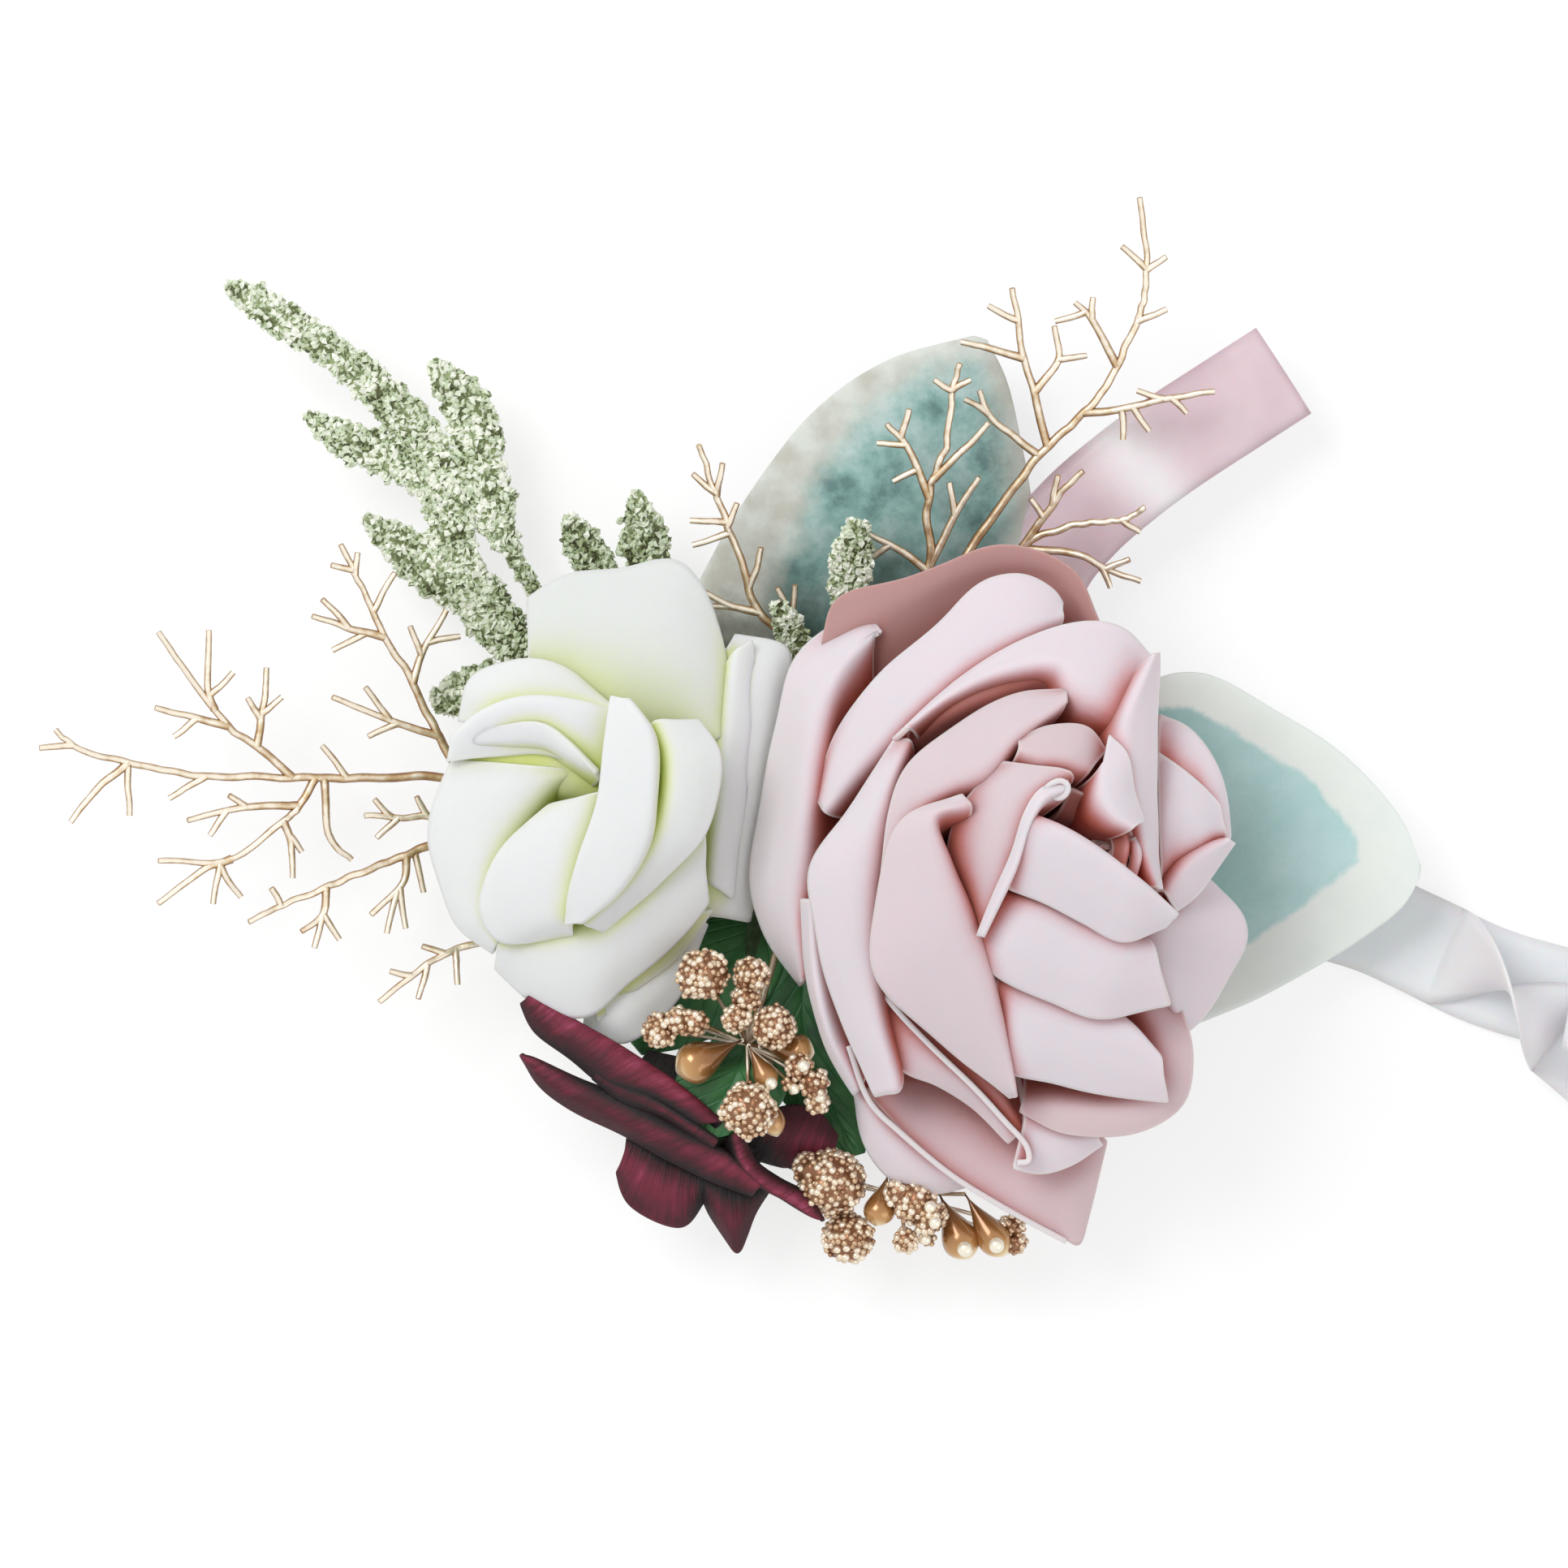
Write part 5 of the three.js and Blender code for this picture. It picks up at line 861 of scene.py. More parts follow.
# Gold twigs. Branching plastic twigs with short forked spurs, sprayed a pale champagne gold. The
# stems are moulded thicker at the foot, and all the thin tips are a little uneven.
TWIG_RADIUS = 0.68
BRANCH_RADIUS = 0.56
TWIG_TIP_RADIUS = 0.36
TWIG_SEED = 5  # of the wobble in the wires
SPUR_SHARE = 0.85
TWIG_STEP = 0.7
TWIG_WOBBLE = 0.28
twigs = {
    "left_twig": ((808, 1080), 76.8, 13, 1.6, [
        [(808, 1080), (680, 1000), (550, 959), (423, 959), (356, 957), (237, 955), (150, 939),
         (87, 921), (61, 900)],
        [(352, 955), (308, 919), (273, 894), (221, 827), (186, 777)],
        [(380, 960), (360, 993), (344, 1008), (277, 1060), (186, 1062)],
        [(391, 962), (399, 1036), (425, 1062)], [(80, 919), (40, 921)],
        [(257, 873), (247, 846), (249, 773)], [(249, 855), (279, 827)],
        [(273, 894), (221, 882), (182, 872)], [(233, 884), (206, 906)],
        [(308, 919), (316, 870), (322, 821)], [(314, 885), (297, 858)], [(316, 878), (340, 858)],
        [(277, 1060), (245, 1072), (186, 1115)], [(262, 1066), (253, 1115)],
        [(262, 1066), (287, 1107)], [(360, 993), (289, 995), (221, 1012)], [(295, 995), (273, 981)],
        [(270, 1000), (249, 1030)], [(340, 1012), (350, 1044), (352, 1084)],
        [(346, 1030), (362, 1050)], [(245, 955), (198, 983)], [(150, 939), (111, 973), (77, 1014)],
        [(148, 940), (150, 1006)], [(420, 957), (389, 919)]
    ]),
    "upper_left_twig": ((816, 1064), 56.3, 13, 1.6, [
        [(816, 1064), (700, 1000), (560, 945), (534, 906), (514, 866), (494, 823), (467, 783),
         (455, 751), (435, 712), (415, 669)],
        [(429, 700), (402, 693)], [(432, 706), (436, 678)], [(455, 751), (482, 704)],
        [(467, 783), (424, 771), (379, 758)], [(424, 771), (393, 736)], [(446, 778), (404, 798)],
        [(502, 840), (516, 800), (545, 749)], [(522, 790), (562, 783)], [(514, 805), (500, 770)],
        [(534, 906), (474, 886), (403, 858)], [(474, 886), (443, 844)], [(484, 889), (447, 908)]
    ]),
    "lower_left_twig": ((816, 1096), 51.8, 13, 1.6, [
        [(816, 1096), (680, 1072), (522, 1044), (486, 1058), (439, 1076), (395, 1095), (348, 1115),
         (300, 1137)],
        [(620, 1060), (532, 1008), (490, 1008), (443, 1006)], [(476, 1007), (455, 985)],
        [(484, 1008), (459, 1034)], [(520, 1008), (508, 981)],
        [(494, 1056), (490, 1091), (451, 1127)], [(484, 1100), (470, 1151)],
        [(487, 1096), (494, 1147)], [(505, 1052), (516, 1103)],
        [(395, 1095), (391, 1131), (364, 1149)], [(391, 1131), (380, 1169)],
        [(391, 1128), (411, 1159)], [(340, 1118), (328, 1097)],
        [(760, 1087), (690, 1120), (583, 1166), (542, 1178), (500, 1205), (463, 1238)],
        [(542, 1178), (514, 1168)], [(500, 1205), (474, 1200)], [(520, 1192), (510, 1234)],
        [(556, 1175), (557, 1216)]
    ]),
    "middle_twig": ((964, 1064), 52.8, 16, 1.6, [
        [(964, 1064), (990, 930), (979, 800), (935, 752), (919, 710), (900, 653), (884, 612),
         (874, 586), (861, 546)],
        [(880, 605), (852, 581)], [(882, 608), (890, 567)], [(896, 640), (850, 640)],
        [(900, 653), (852, 669)], [(898, 645), (909, 618)], [(924, 722), (938, 672)],
        [(935, 752), (900, 744), (858, 722)], [(905, 745), (877, 744)], [(975, 792), (979, 717)],
        [(977, 760), (957, 720)]
    ]),
    "tall_twig": ((1091, 1064), 88.4, 16, 1.2, [
        [(1091, 1064), (1130, 900), (1185, 700), (1240, 613), (1302, 537), (1348, 495), (1382, 441),
         (1405, 391), (1414, 361), (1416, 315), (1407, 238)],
        [(1416, 326), (1386, 300)], [(1416, 328), (1440, 310)], [(1406, 391), (1442, 377)],
        [(1378, 445), (1348, 388), (1328, 365)], [(1348, 388), (1351, 362)],
        [(1340, 380), (1303, 391)], [(1294, 545), (1275, 472), (1263, 430), (1256, 384), (1250, 349)],
        [(1257, 390), (1221, 370)], [(1263, 437), (1214, 422), (1187, 416)],
        [(1279, 478), (1307, 437), (1303, 395)], [(1307, 437), (1344, 434)],
        [(1286, 558), (1252, 533), (1221, 506), (1210, 476)], [(1221, 506), (1191, 487)],
        [(1340, 505), (1386, 499), (1452, 485), (1503, 478)], [(1386, 499), (1389, 537)],
        [(1400, 497), (1420, 527)], [(1440, 488), (1405, 476)], [(1448, 486), (1466, 503)]
    ]),
    "centre_twig": ((1060, 1064), 63.1, 16, 1.4, [
        [(1060, 1064), (1095, 900), (1148, 694), (1145, 621), (1152, 587), (1168, 544), (1175, 483),
         (1183, 445)],
        [(1176, 478), (1152, 464)], [(1177, 478), (1198, 464)],
        [(1152, 587), (1194, 548), (1221, 518)], [(1147, 610), (1118, 544), (1095, 518)],
        [(1118, 544), (1083, 543)], [(1112, 535), (1120, 499)], [(1130, 575), (1103, 590)],
        [(1148, 694), (1183, 625), (1208, 583)], [(1180, 632), (1172, 590)],
        [(1140, 700), (1099, 667), (1072, 655)], [(1099, 667), (1076, 684)]
    ]),
    "right_twig": ((1133, 1064), 52.2, 16, 1.6, [
        [(1133, 1064), (1180, 850), (1262, 672), (1328, 644), (1386, 638), (1414, 624)],
        [(1386, 638), (1408, 654)], [(1262, 672), (1328, 680), (1367, 698), (1410, 714)],
        [(1367, 698), (1397, 686)], [(1360, 696), (1372, 722)],
        [(1262, 672), (1309, 606), (1337, 579)], [(1300, 620), (1305, 583)],
        [(1290, 635), (1272, 612)]
    ]),
}
noise.seed_set(TWIG_SEED)
gold_finish, gold_tree, gold_shader = finish("champagne_gold", Metallic=0.55, Roughness=0.36)
# Painted light and shade: the gold is paler where a twig faces up and browner where it faces down, and browner
# at the thick feet, which lie in the shade of the leaves, over a random speckle.
gold_facing = wire(gold_tree, "ShaderNodeNewGeometry").outputs["Normal"]
gold_up = wire(gold_tree, "ShaderNodeSeparateXYZ", {0: gold_facing}).outputs["Z"]
gold_speckle_and_painted_light = maths(gold_tree, "MULTIPLY_ADD", speckle(gold_tree, 700, 4), 0.45,
                   maths(gold_tree, "MULTIPLY_ADD", gold_up, 0.5, 0.25))
gold_foot_painted_shade = span(gold_tree, own_mark(gold_tree, "girth"), 0.42 * MM, 0.66 * MM, 0.0, 0.24)
gold_tree.links.new(ramp(gold_tree, maths(gold_tree, "SUBTRACT", gold_speckle_and_painted_light, gold_foot_painted_shade),
                         (0.36, (0.48, 0.27, 0.12)), (0.6, (0.64, 0.46, 0.28)), (0.77, (0.81, 0.70, 0.54)),
                         (0.92, (0.97, 0.93, 0.86))), gold_shader.inputs["Base Color"])
bump(gold_tree, gold_shader, speckle(gold_tree, 1500, 3), 0.4, 0.1)

moulding, given, made = recipe("twig_moulding", {
    "Sides": ("Int", 8), "Unevenness": ("Float", 0.12 * MM), "Finish": ("Material", None)})
ring = wire(moulding, "GeometryNodeCurvePrimitiveCircle", {"Resolution": given["Sides"], "Radius": 1.0})
thick = wire(moulding, "GeometryNodeInputRadius")
weighed = marked(moulding, given["Geometry"], "girth", thick.outputs[0], domain="POINT")
body = wire(moulding, "GeometryNodeCurveToMesh", {
    "Curve": weighed, "Profile Curve": ring.outputs[0], "Scale": thick.outputs[0], "Fill Caps": True})
lumps = wire(moulding, "ShaderNodeTexNoise", {"Scale": 900.0, "Detail": 1.0})
amount = maths(moulding, "MULTIPLY", maths(moulding, "SUBTRACT", lumps.outputs["Fac"], 0.5),
               given["Unevenness"])
facing = wire(moulding, "GeometryNodeInputNormal")
push = wire(moulding, "ShaderNodeVectorMath", {0: facing.outputs[0], "Scale": amount}, operation="SCALE")
uneven = wire(moulding, "GeometryNodeSetPosition", {"Geometry": body.outputs[0], "Offset": push.outputs[0]})
finished(moulding, given, made, uneven.outputs[0])


def wire_curve(name, lines):
    """A curve object of smooth wires, each a list of (point, radius) in millimetres."""
    curve = bpy.data.curves.new(name, "CURVE")
    curve.dimensions = "3D"
    for line in lines:
        spline = curve.splines.new("POLY")
        spline.points.add(len(line) - 1)
        for target, (point, radius) in zip(spline.points, line):
            target.co = (*(point * MM), 1)
            target.radius = radius * MM
    piece = bpy.data.objects.new(name, curve)
    bpy.context.scene.collection.objects.link(piece)
    return piece


def nearest_on(point, lines):
    """The point of the lines that lies nearest."""
    best = None
    for line in lines:
        for (a, _), (b, _) in zip(line, line[1:]):
            t = min(max((point - a).dot(b - a) / max((b - a).length_squared, 1e-9), 0), 1)
            candidate = a.lerp(b, t)
            if best is None or (candidate - point).length < (best - point).length:
                best = candidate
    return best


for node, (root_pixel, length, rise, power, branches) in twigs.items():
    spot = rising(root_pixel, length, rise, power)
    lines = []
    for k, branch in enumerate(branches):
        run = [spot(x, y) for x, y in branch]
        if lines:
            run[0] = nearest_on(run[0], lines)
        foot = BRANCH_RADIUS if k else TWIG_RADIUS
        if k and len(branch) == 2:
            foot = BRANCH_RADIUS * SPUR_SHARE
        steps = max(4, int(sum((b - a).length for a, b in zip(run, run[1:])) / TWIG_STEP))
        line = []
        for s in range(steps + 1):
            share = s / steps
            wobble = noise.noise_vector(Vector((share * steps * 0.22, k * 5.1, len(node))))
            wobble = wobble * TWIG_WOBBLE * min(1, 3 * share)
            line.append((smooth_point(run, share) + wobble, foot + (TWIG_TIP_RADIUS - foot) * share ** 0.8))
        lines.append(line)
    twig = grow(wire_curve(node + "_wire", lines), moulding, finish=gold_finish)
    fit(twig, "gold", node)

# Berry picks. Each is a bunch of wired stamens: balls covered in tiny gold beads, and smooth
# gold drops with a pearly tip. The wires are bound together and pushed in under the roses.
BEAD_RADIUS = 0.44
STALK_RADIUS = 0.45
PEARL_DROP = 20  # above the bunch, where the search for a pearl's seat starts
BALL_RINGS = 12
BALL_SIDES = 20
BALL_LUMPS = 0.3
DROP_STEPS = 16
DROP_SIDES = 20
STALK_STEPS = 24
STALK_SAG = 0.22
picks = {
    "berry_pick": ((974, 1096), -0.33, 25, [(955, 1180, 0.45), (920, 1290, 0.70)],
                   [(865, 1202, 34, 0.98), (926, 1202, 24, 0.98), (920, 1230, 21, 0.93),
                    (812, 1271, 24, 0.88), (834, 1260, 20, 0.92), (857, 1261, 18, 0.94),
                    (907, 1256, 20, 0.96), (954, 1267, 29, 0.93), (922, 1370, 36, 0.95),
                    (984, 1316, 20, 0.90), (1004, 1338, 21, 0.90), (1008, 1360, 17, 0.84),
                    (975, 1338, 14, 0.86)],
                   [(914, 1284, 832, 1324, 27, 0.80), (936, 1292, 1004, 1300, 22, 0.82),
                    (922, 1290, 952, 1345, 15, 0.88), (936, 1335, 958, 1404, 16, 0.78)],
                   [(950, 1337, 8), (990, 1315, 8), (1010, 1353, 8), (979, 1344, 7)]),
    "lower_berry_pick": ((1080, 1096), 0.08, 16, [(1085, 1250, 0.45), (1100, 1420, 0.6), (1110, 1480, 0.75)],
                         [(1024, 1462, 45, 0.85), (1046, 1532, 33, 0.75), (1000, 1448, 26, 0.92),
                          (1128, 1488, 30, 0.85), (1146, 1506, 24, 0.88), (1108, 1476, 20, 0.9),
                          (1118, 1536, 18, 0.75), (1146, 1534, 12, 0.78), (1252, 1518, 18, 0.72),
                          (1256, 1540, 17, 0.7)],
                         [(1160, 1478, 1198, 1560, 24, 0.74), (1192, 1478, 1242, 1556, 21, 0.78),
                          (1096, 1452, 1080, 1518, 20, 0.82)],
                         [(1192, 1546, 10), (1231, 1541, 10), (1143, 1534, 7), (1154, 1512, 8),
                          (1148, 1493, 8)]),
}
bead_finish, bead_tree, bead_shader = finish("gold_beads", Metallic=0.55, Roughness=0.25)
bead_tree.links.new(ramp(bead_tree, own_mark(bead_tree, "grain"), (0.0, (0.55, 0.38, 0.27)),
                         (0.15, (0.63, 0.46, 0.34)), (0.5, (0.83, 0.71, 0.58)), (1.0, (0.97, 0.92, 0.84))),
                    bead_shader.inputs["Base Color"])

beading, given, made = recipe("bead_cover", {
    "Bead Radius": ("Float", BEAD_RADIUS * MM), "Spacing": ("Float", 0.66 * MM), "Density": ("Float", 6.0e6),
    "Seed": ("Int", 5), "Finish": ("Material", None)})
spread = wire(beading, "GeometryNodeDistributePointsOnFaces", {
    "Mesh": given["Geometry"], "Distance Min": given["Spacing"], "Density Max": given["Density"],
    "Seed": given["Seed"]}, distribute_method="POISSON")
bead = wire(beading, "GeometryNodeMeshIcoSphere", {"Radius": given["Bead Radius"], "Subdivisions": 2})
beads = wire(beading, "GeometryNodeInstanceOnPoints", {
    "Points": spread.outputs["Points"], "Instance": bead.outputs["Mesh"],
    "Scale": chance(beading, given, 0.72, 1.2)})
grained = marked(beading, beads.outputs[0], "grain", chance(beading, given, 0.15, 1.0))
finished(beading, given, made, laid_on(beading, given, grained))

drop_finish, drop_tree, drop_shader = finish("gold_drops", Metallic=0.35, Roughness=0.22, Coat_Weight=0.6)
# The drops run from a dark root to a pearly cream tip with a highlight painted on it in near-white; the pearls
# take the same colour.
drop_tree.links.new(ramp(drop_tree, own_mark(drop_tree, "along"), (0.0, (0.40, 0.25, 0.12)),
                         (0.4, (0.62, 0.42, 0.22)), (0.7, (0.80, 0.61, 0.38)),
                         (0.84, (0.93, 0.82, 0.62)), (0.95, (0.99, 0.96, 0.88))),
                    drop_shader.inputs["Base Color"])
bump(drop_tree, drop_shader, speckle(drop_tree, 600, 2), 0.2, 0.1)


def ball_shape(centre, radius, lumps=0.0):
    """A ball; with lumps it swells and sinks, as a bunch of beads does."""
    points = [centre + Vector((0, 0, radius))]
    for r in range(1, BALL_RINGS):
        fall = math.pi * r / BALL_RINGS
        for s in range(BALL_SIDES):
            turn = 2 * math.pi * s / BALL_SIDES
            points.append(centre + radius * Vector((math.sin(fall) * math.cos(turn),
                                                    math.sin(fall) * math.sin(turn), math.cos(fall))))
    points.append(centre - Vector((0, 0, radius)))
    last = len(points) - 1
    faces = [(0, 1 + s, 1 + (s + 1) % BALL_SIDES) for s in range(BALL_SIDES)]
    for r in range(BALL_RINGS - 2):
        for s in range(BALL_SIDES):
            a, b = 1 + r * BALL_SIDES + s, 1 + r * BALL_SIDES + (s + 1) % BALL_SIDES
            faces.append((a, a + BALL_SIDES, b + BALL_SIDES, b))
    lowest = last - BALL_SIDES
    faces += [(last, lowest + (s + 1) % BALL_SIDES, lowest + s) for s in range(BALL_SIDES)]
    return [centre + (p - centre) * (1 + lumps * noise.noise(p * 0.8)) for p in points], faces


def drop_shape(start, end, radius):
    """A drop: thin where the wire enters, swollen and rounded at its tip."""
    shares = [1 - (1 - k / DROP_STEPS) ** 1.6 for k in range(DROP_STEPS + 1)]
    radii = [max(radius * math.sin(math.pi * min(share, 0.998) ** 2.1) ** 0.7, 0.1) for share in shares]
    return tube([start.lerp(end, share) for share in shares], radii, DROP_SIDES)


for node, (root_pixel, share, height, stalk, balls, drops, pearls) in picks.items():
    root = socket(share, -1)
    spots = [plan(x, y, h * height) for x, y, h in stalk]
    hub = spots[-1]
    cores = together(ball_shape(plan(x, y, h * height), radius * PIXEL - BEAD_RADIUS, BALL_LUMPS)
                     for x, y, radius, h in balls)
    beads_piece = grow(mesh_piece(node + "_beads", *cores, bead_finish), beading, finish=bead_finish)
    fit(beads_piece, "gold", node)
    shapes = [drop_shape(plan(x, y, h * height), plan(tip_x, tip_y, h * height), radius * PIXEL)
              for x, y, tip_x, tip_y, radius, h in drops]
    along = [(k // DROP_SIDES) / DROP_STEPS for points, faces in shapes for k in range(len(points))]
    carriers = BVHTree.FromPolygons(*together([cores] + shapes))
    for x, y, radius in pearls:
        top = plan(x, y, height) + Vector((0, 0, PEARL_DROP))
        seat = carriers.ray_cast(top, Vector((0, 0, -1)))[0]
        shapes.append(ball_shape(seat + Vector((0, 0, BEAD_RADIUS)), radius * PIXEL))
        along += [1.0] * len(shapes[-1][0])
    drops_piece = mesh_piece(node + "_drops", *together(shapes), drop_finish)
    drops_piece.data.attributes.new("along", "FLOAT", "POINT").data.foreach_set("value", along)
    fit(drops_piece, "gold")
    stalk_run = [root] + spots
    lines = [[(smooth_point(stalk_run, k / STALK_STEPS), STALK_RADIUS) for k in range(STALK_STEPS + 1)]]
    for x, y, h in [(b[0], b[1], b[3]) for b in balls] + [(d[0], d[1], d[5]) for d in drops]:
        end = plan(x, y, h * height)
        sag = hub.lerp(end, 0.5) - Vector((0, 0, STALK_SAG * (end - hub).length))
        lines.append([(smooth_point([hub, sag, end], k / 8), STALK_RADIUS * 0.55) for k in range(9)])
    stalks = grow(wire_curve(node + "_stalks", lines), moulding, finish=gold_finish, sides=8)
    fit(stalks, "gold")

# Pink rose. Soft foam petals, die-cut from sheet and rolled at the lip with a hot iron, wound in
# rings on a rolled heart. They are dusty pink, with shade painted darker where they run down into the rose.
CLEARANCE = 0.3
ROOT_HEIGHT = 13.8
FOAM_THICKNESS = 0.75
PETAL_COLUMNS = 26
PETAL_ROWS = 22
FOLD_COLUMNS = 30
FOLD_ROWS = 5
FOLD_THICKNESS = 0.7
HEART_ROWS = 14
HEART_THICKNESS = 0.8
ROOT_SPREAD = 0.6
BELLY_OUT = 0.6
BELLY_UP = 0.5
ROLL_ARCH = 0.09
HEART_DEPTH = 0.82
FOOT_PAINTED_SHADE = 1.5
PETAL_SEED = 5  # of the ripple in the petals
RIPPLE_PACE = 0.12
FOLD_REACH = 18.0  # how far a place looks for petals over it
FOLD_RAYS = 30
FOLD_BLUR = 5
FOLD_START = 0.3
FOLD_SPREAD = 0.98
FOLD_FADE = 0.6
SAME_FACE = 0.6  # how alike two neighbours face that are evened out
GOLDEN_TURN = 2.39996
CALYX_BOTTOM = 9.7
CALYX_SIDES = 60
STEM_STEPS = 20
STEM_SIDES = 16
STEM_RADIUS = 1.0
noise.seed_set(PETAL_SEED)


def foam_finish(name, rim, painted_shade_colour, through, *stops, grain=0.12):
    """Closed-cell foam: matt and a little translucent, with shade painted into its folds and towards each
    petal's root, and a highlight painted along its cut edges.
    """
    material, tree, shader_node = finish(name, Roughness=0.8, Sheen_Weight=0.1, Sheen_Roughness=0.5,
                                         Subsurface_Weight=0.6, Subsurface_Scale=1.8 * MM,
                                         Subsurface_Radius=through, Specular_IOR_Level=0.3)
    mottle = maths(tree, "SUBTRACT", speckle(tree, 300, 6, 0.7), 0.5)
    # Painted shade: the depth between the petals, and the share below the crest, darken the colour along the
    # stops.
    painted_shade_depth = maths(tree, "MULTIPLY_ADD", own_mark(tree, "foot"), FOOT_PAINTED_SHADE, own_mark(tree, "fold"))
    colour = ramp(tree, maths(tree, "MULTIPLY_ADD", mottle, grain, painted_shade_depth), *stops)
    # Painted highlight: the colour turns pale along the cut edges, where the foam's rim catches the light.
    painted_edge_highlight = span(tree, own_mark(tree, "edge"), 0.5, 0.15, 0.0, 0.7)
    shaded = mixed(tree, own_mark(tree, "shade"), mixed(tree, painted_edge_highlight, colour, tint(*rim)), tint(*painted_shade_colour))
    tree.links.new(shaded, shader_node.inputs["Base Color"])
    bump(tree, shader_node, speckle(tree, 2400, 3, 0.65), 0.3, 0.08)
    return material


def value_for(piece, table):
    """What a table of parts says for a piece, or nothing."""
    return next((table[part] for part in table if piece.name.endswith((part + "_foam", part))), 0)


def blurred(values, pairs):
    """Values evened out between neighbours."""
    sums, counts = values[:], [1] * len(values)
    for a, b in pairs:
        sums[a] += values[b]
        sums[b] += values[a]
        counts[a] += 1
        counts[b] += 1
    return [total / count for total, count in zip(sums, counts)]


def mark_fold_shade(pieces, shades, painted_shade_offsets):
    """Marks how deep each place lies between the petals, from 0 in the open to 1 deep inside, plus the piece's
    offset, as the shade painted there; and the piece's share of the painted shade colour.
    """
    shapes = [([vertex.co.copy() for vertex in piece.data.vertices],
               [face.vertices for face in piece.data.polygons]) for piece in pieces]
    rose_walls = BVHTree.FromPolygons(*together(shapes))
    spiral = []
    for k in range(FOLD_RAYS):
        level, turn = 1 - (2 * k + 1) / FOLD_RAYS, GOLDEN_TURN * k
        spiral.append(Vector((math.cos(turn), math.sin(turn), 0)) * math.sqrt(1 - level * level)
                      + Vector((0, 0, level)))
    for piece in pieces:
        mesh = piece.data
        depth = []
        for vertex in mesh.vertices:
            start = vertex.co + vertex.normal * FOLD_START * MM
            closed = 0
            for away in spiral:
                hit = rose_walls.ray_cast(start, vertex.normal + FOLD_SPREAD * away, FOLD_REACH * MM)
                if hit[3] is not None:
                    closed += 1 - FOLD_FADE * hit[3] / (FOLD_REACH * MM)
            depth.append(closed / FOLD_RAYS)
        facing = [vertex.normal.copy() for vertex in mesh.vertices]
        edges = [tuple(edge.vertices) for edge in mesh.edges]
        pairs = [(a, b) for a, b in edges if facing[a].dot(facing[b]) > SAME_FACE]
        for _ in range(FOLD_BLUR):
            depth = blurred(depth, pairs)
        painted_shade_offset, shade = value_for(piece, painted_shade_offsets), value_for(piece, shades)
        mesh.attributes.new("fold", "FLOAT", "POINT").data.foreach_set("value", [d + painted_shade_offset for d in depth])
        mesh.attributes.new("shade", "FLOAT", "POINT").data.foreach_set("value", [shade] * len(depth))


def edge_distance(grid):
    """How far each point of a petal lies from its cut edge, in millimetres."""
    return [min((point - grid[0][j]).length, (point - grid[-1][j]).length, (point - column[-1]).length)
            for column in grid for j, point in enumerate(column)]


def foot_share(grid):
    """How far each point of a petal lies below its crest, from 0 there to 1 at its root."""
    return [max(0, 1 - 2 * j / (len(column) - 1)) for column in grid for j in range(len(column))]


def petal_grid(rose, ring, crest_row, lip_row, ripple=0.35, arch=ROLL_ARCH):
    """A petal from its root in a ring on the calyx, out to its crest and over to its lip."""
    base, top, height = rose["base"], rose["top"], rose["height"]
    step = rose["thickness"] + CLEARANCE
    root_radius = rose["core"] + CLEARANCE + rose["thickness"] / 2 + ring * step
    crests, lips = ([plan(x, y, share * height) for x, y, share in row] for row in (crest_row, lip_row))

    def axis(z):
        return base.lerp(top, (z - base.z) / (top.z - base.z))

    def polar(point):
        away = point - axis(point.z)
        return math.atan2(away.y, away.x), math.hypot(away.x, away.y)

    def about(turn, radius, z):
        return axis(z) + Vector((radius * math.cos(turn), radius * math.sin(turn), 0))

    middle = polar(smooth_point(crests, 0.5))[0]
    grid = []
    for i in range(PETAL_COLUMNS + 1):
        share = i / PETAL_COLUMNS
        crest, lip = smooth_point(crests, share), smooth_point(lips, share)
        turn, radius = polar(crest)
        off = (turn - middle + math.pi) % (2 * math.pi) - math.pi
        root = about(middle + ROOT_SPREAD * off, root_radius, ROOT_HEIGHT)
        belly = about(middle + (1 + ROOT_SPREAD) / 2 * off, root_radius + (radius - root_radius) * BELLY_OUT,
                      ROOT_HEIGHT + (crest.z - ROOT_HEIGHT) * BELLY_UP)
        roll = crest.lerp(lip, 0.5) + Vector((0, 0, arch * (crest - lip).length))
        column = []
        for j in range(PETAL_ROWS + 1):
            v = j / PETAL_ROWS
            point = smooth_point([root, belly, crest, roll, lip], v)
            drift = noise.noise_vector(point * RIPPLE_PACE + Vector((ring * 3.1, middle, 0)))
            column.append(point + drift * ripple * v * v)
        grid.append(column)
    return grid


def standing_fold(rose, path, drop):
    """A thin fold of foam on edge: its top runs along places of (x, y, share of the height)."""
    run = [plan(x, y, share * rose["height"]) for x, y, share in path]
    tops = [smooth_point(run, i / FOLD_COLUMNS) for i in range(FOLD_COLUMNS + 1)]
    return [[top - Vector((0, 0, drop * (1 - j / FOLD_ROWS))) for j in range(FOLD_ROWS + 1)] for top in tops]


def rolled_heart(rose, turns, tip_radius, wall):
    """The heart: one strip of foam rolled up, leaning with the rose."""
    base, top = rose["base"], rose["top"]
    steps = int(turns * 26)
    grid = []
    for j in range(steps + 1):
        share = j / steps
        turn = 2 * math.pi * turns * share
        column = []
        for i in range(HEART_ROWS + 1):
            up = i / HEART_ROWS
            outer = rose["core"] - wall / 2 + (tip_radius - rose["core"]) * up
            radius = max(outer * (0.16 + 0.84 * share), 0.35)
            centre = base.lerp(top, up * HEART_DEPTH)
            edge = up ** 6 * 0.9 * noise.noise(Vector((3 * share * turns, 2.0, 1.0))) - 0.5 * up * share
            column.append(centre + Vector((radius * math.cos(turn), radius * math.sin(turn), edge)))
        grid.append(column)
    return grid


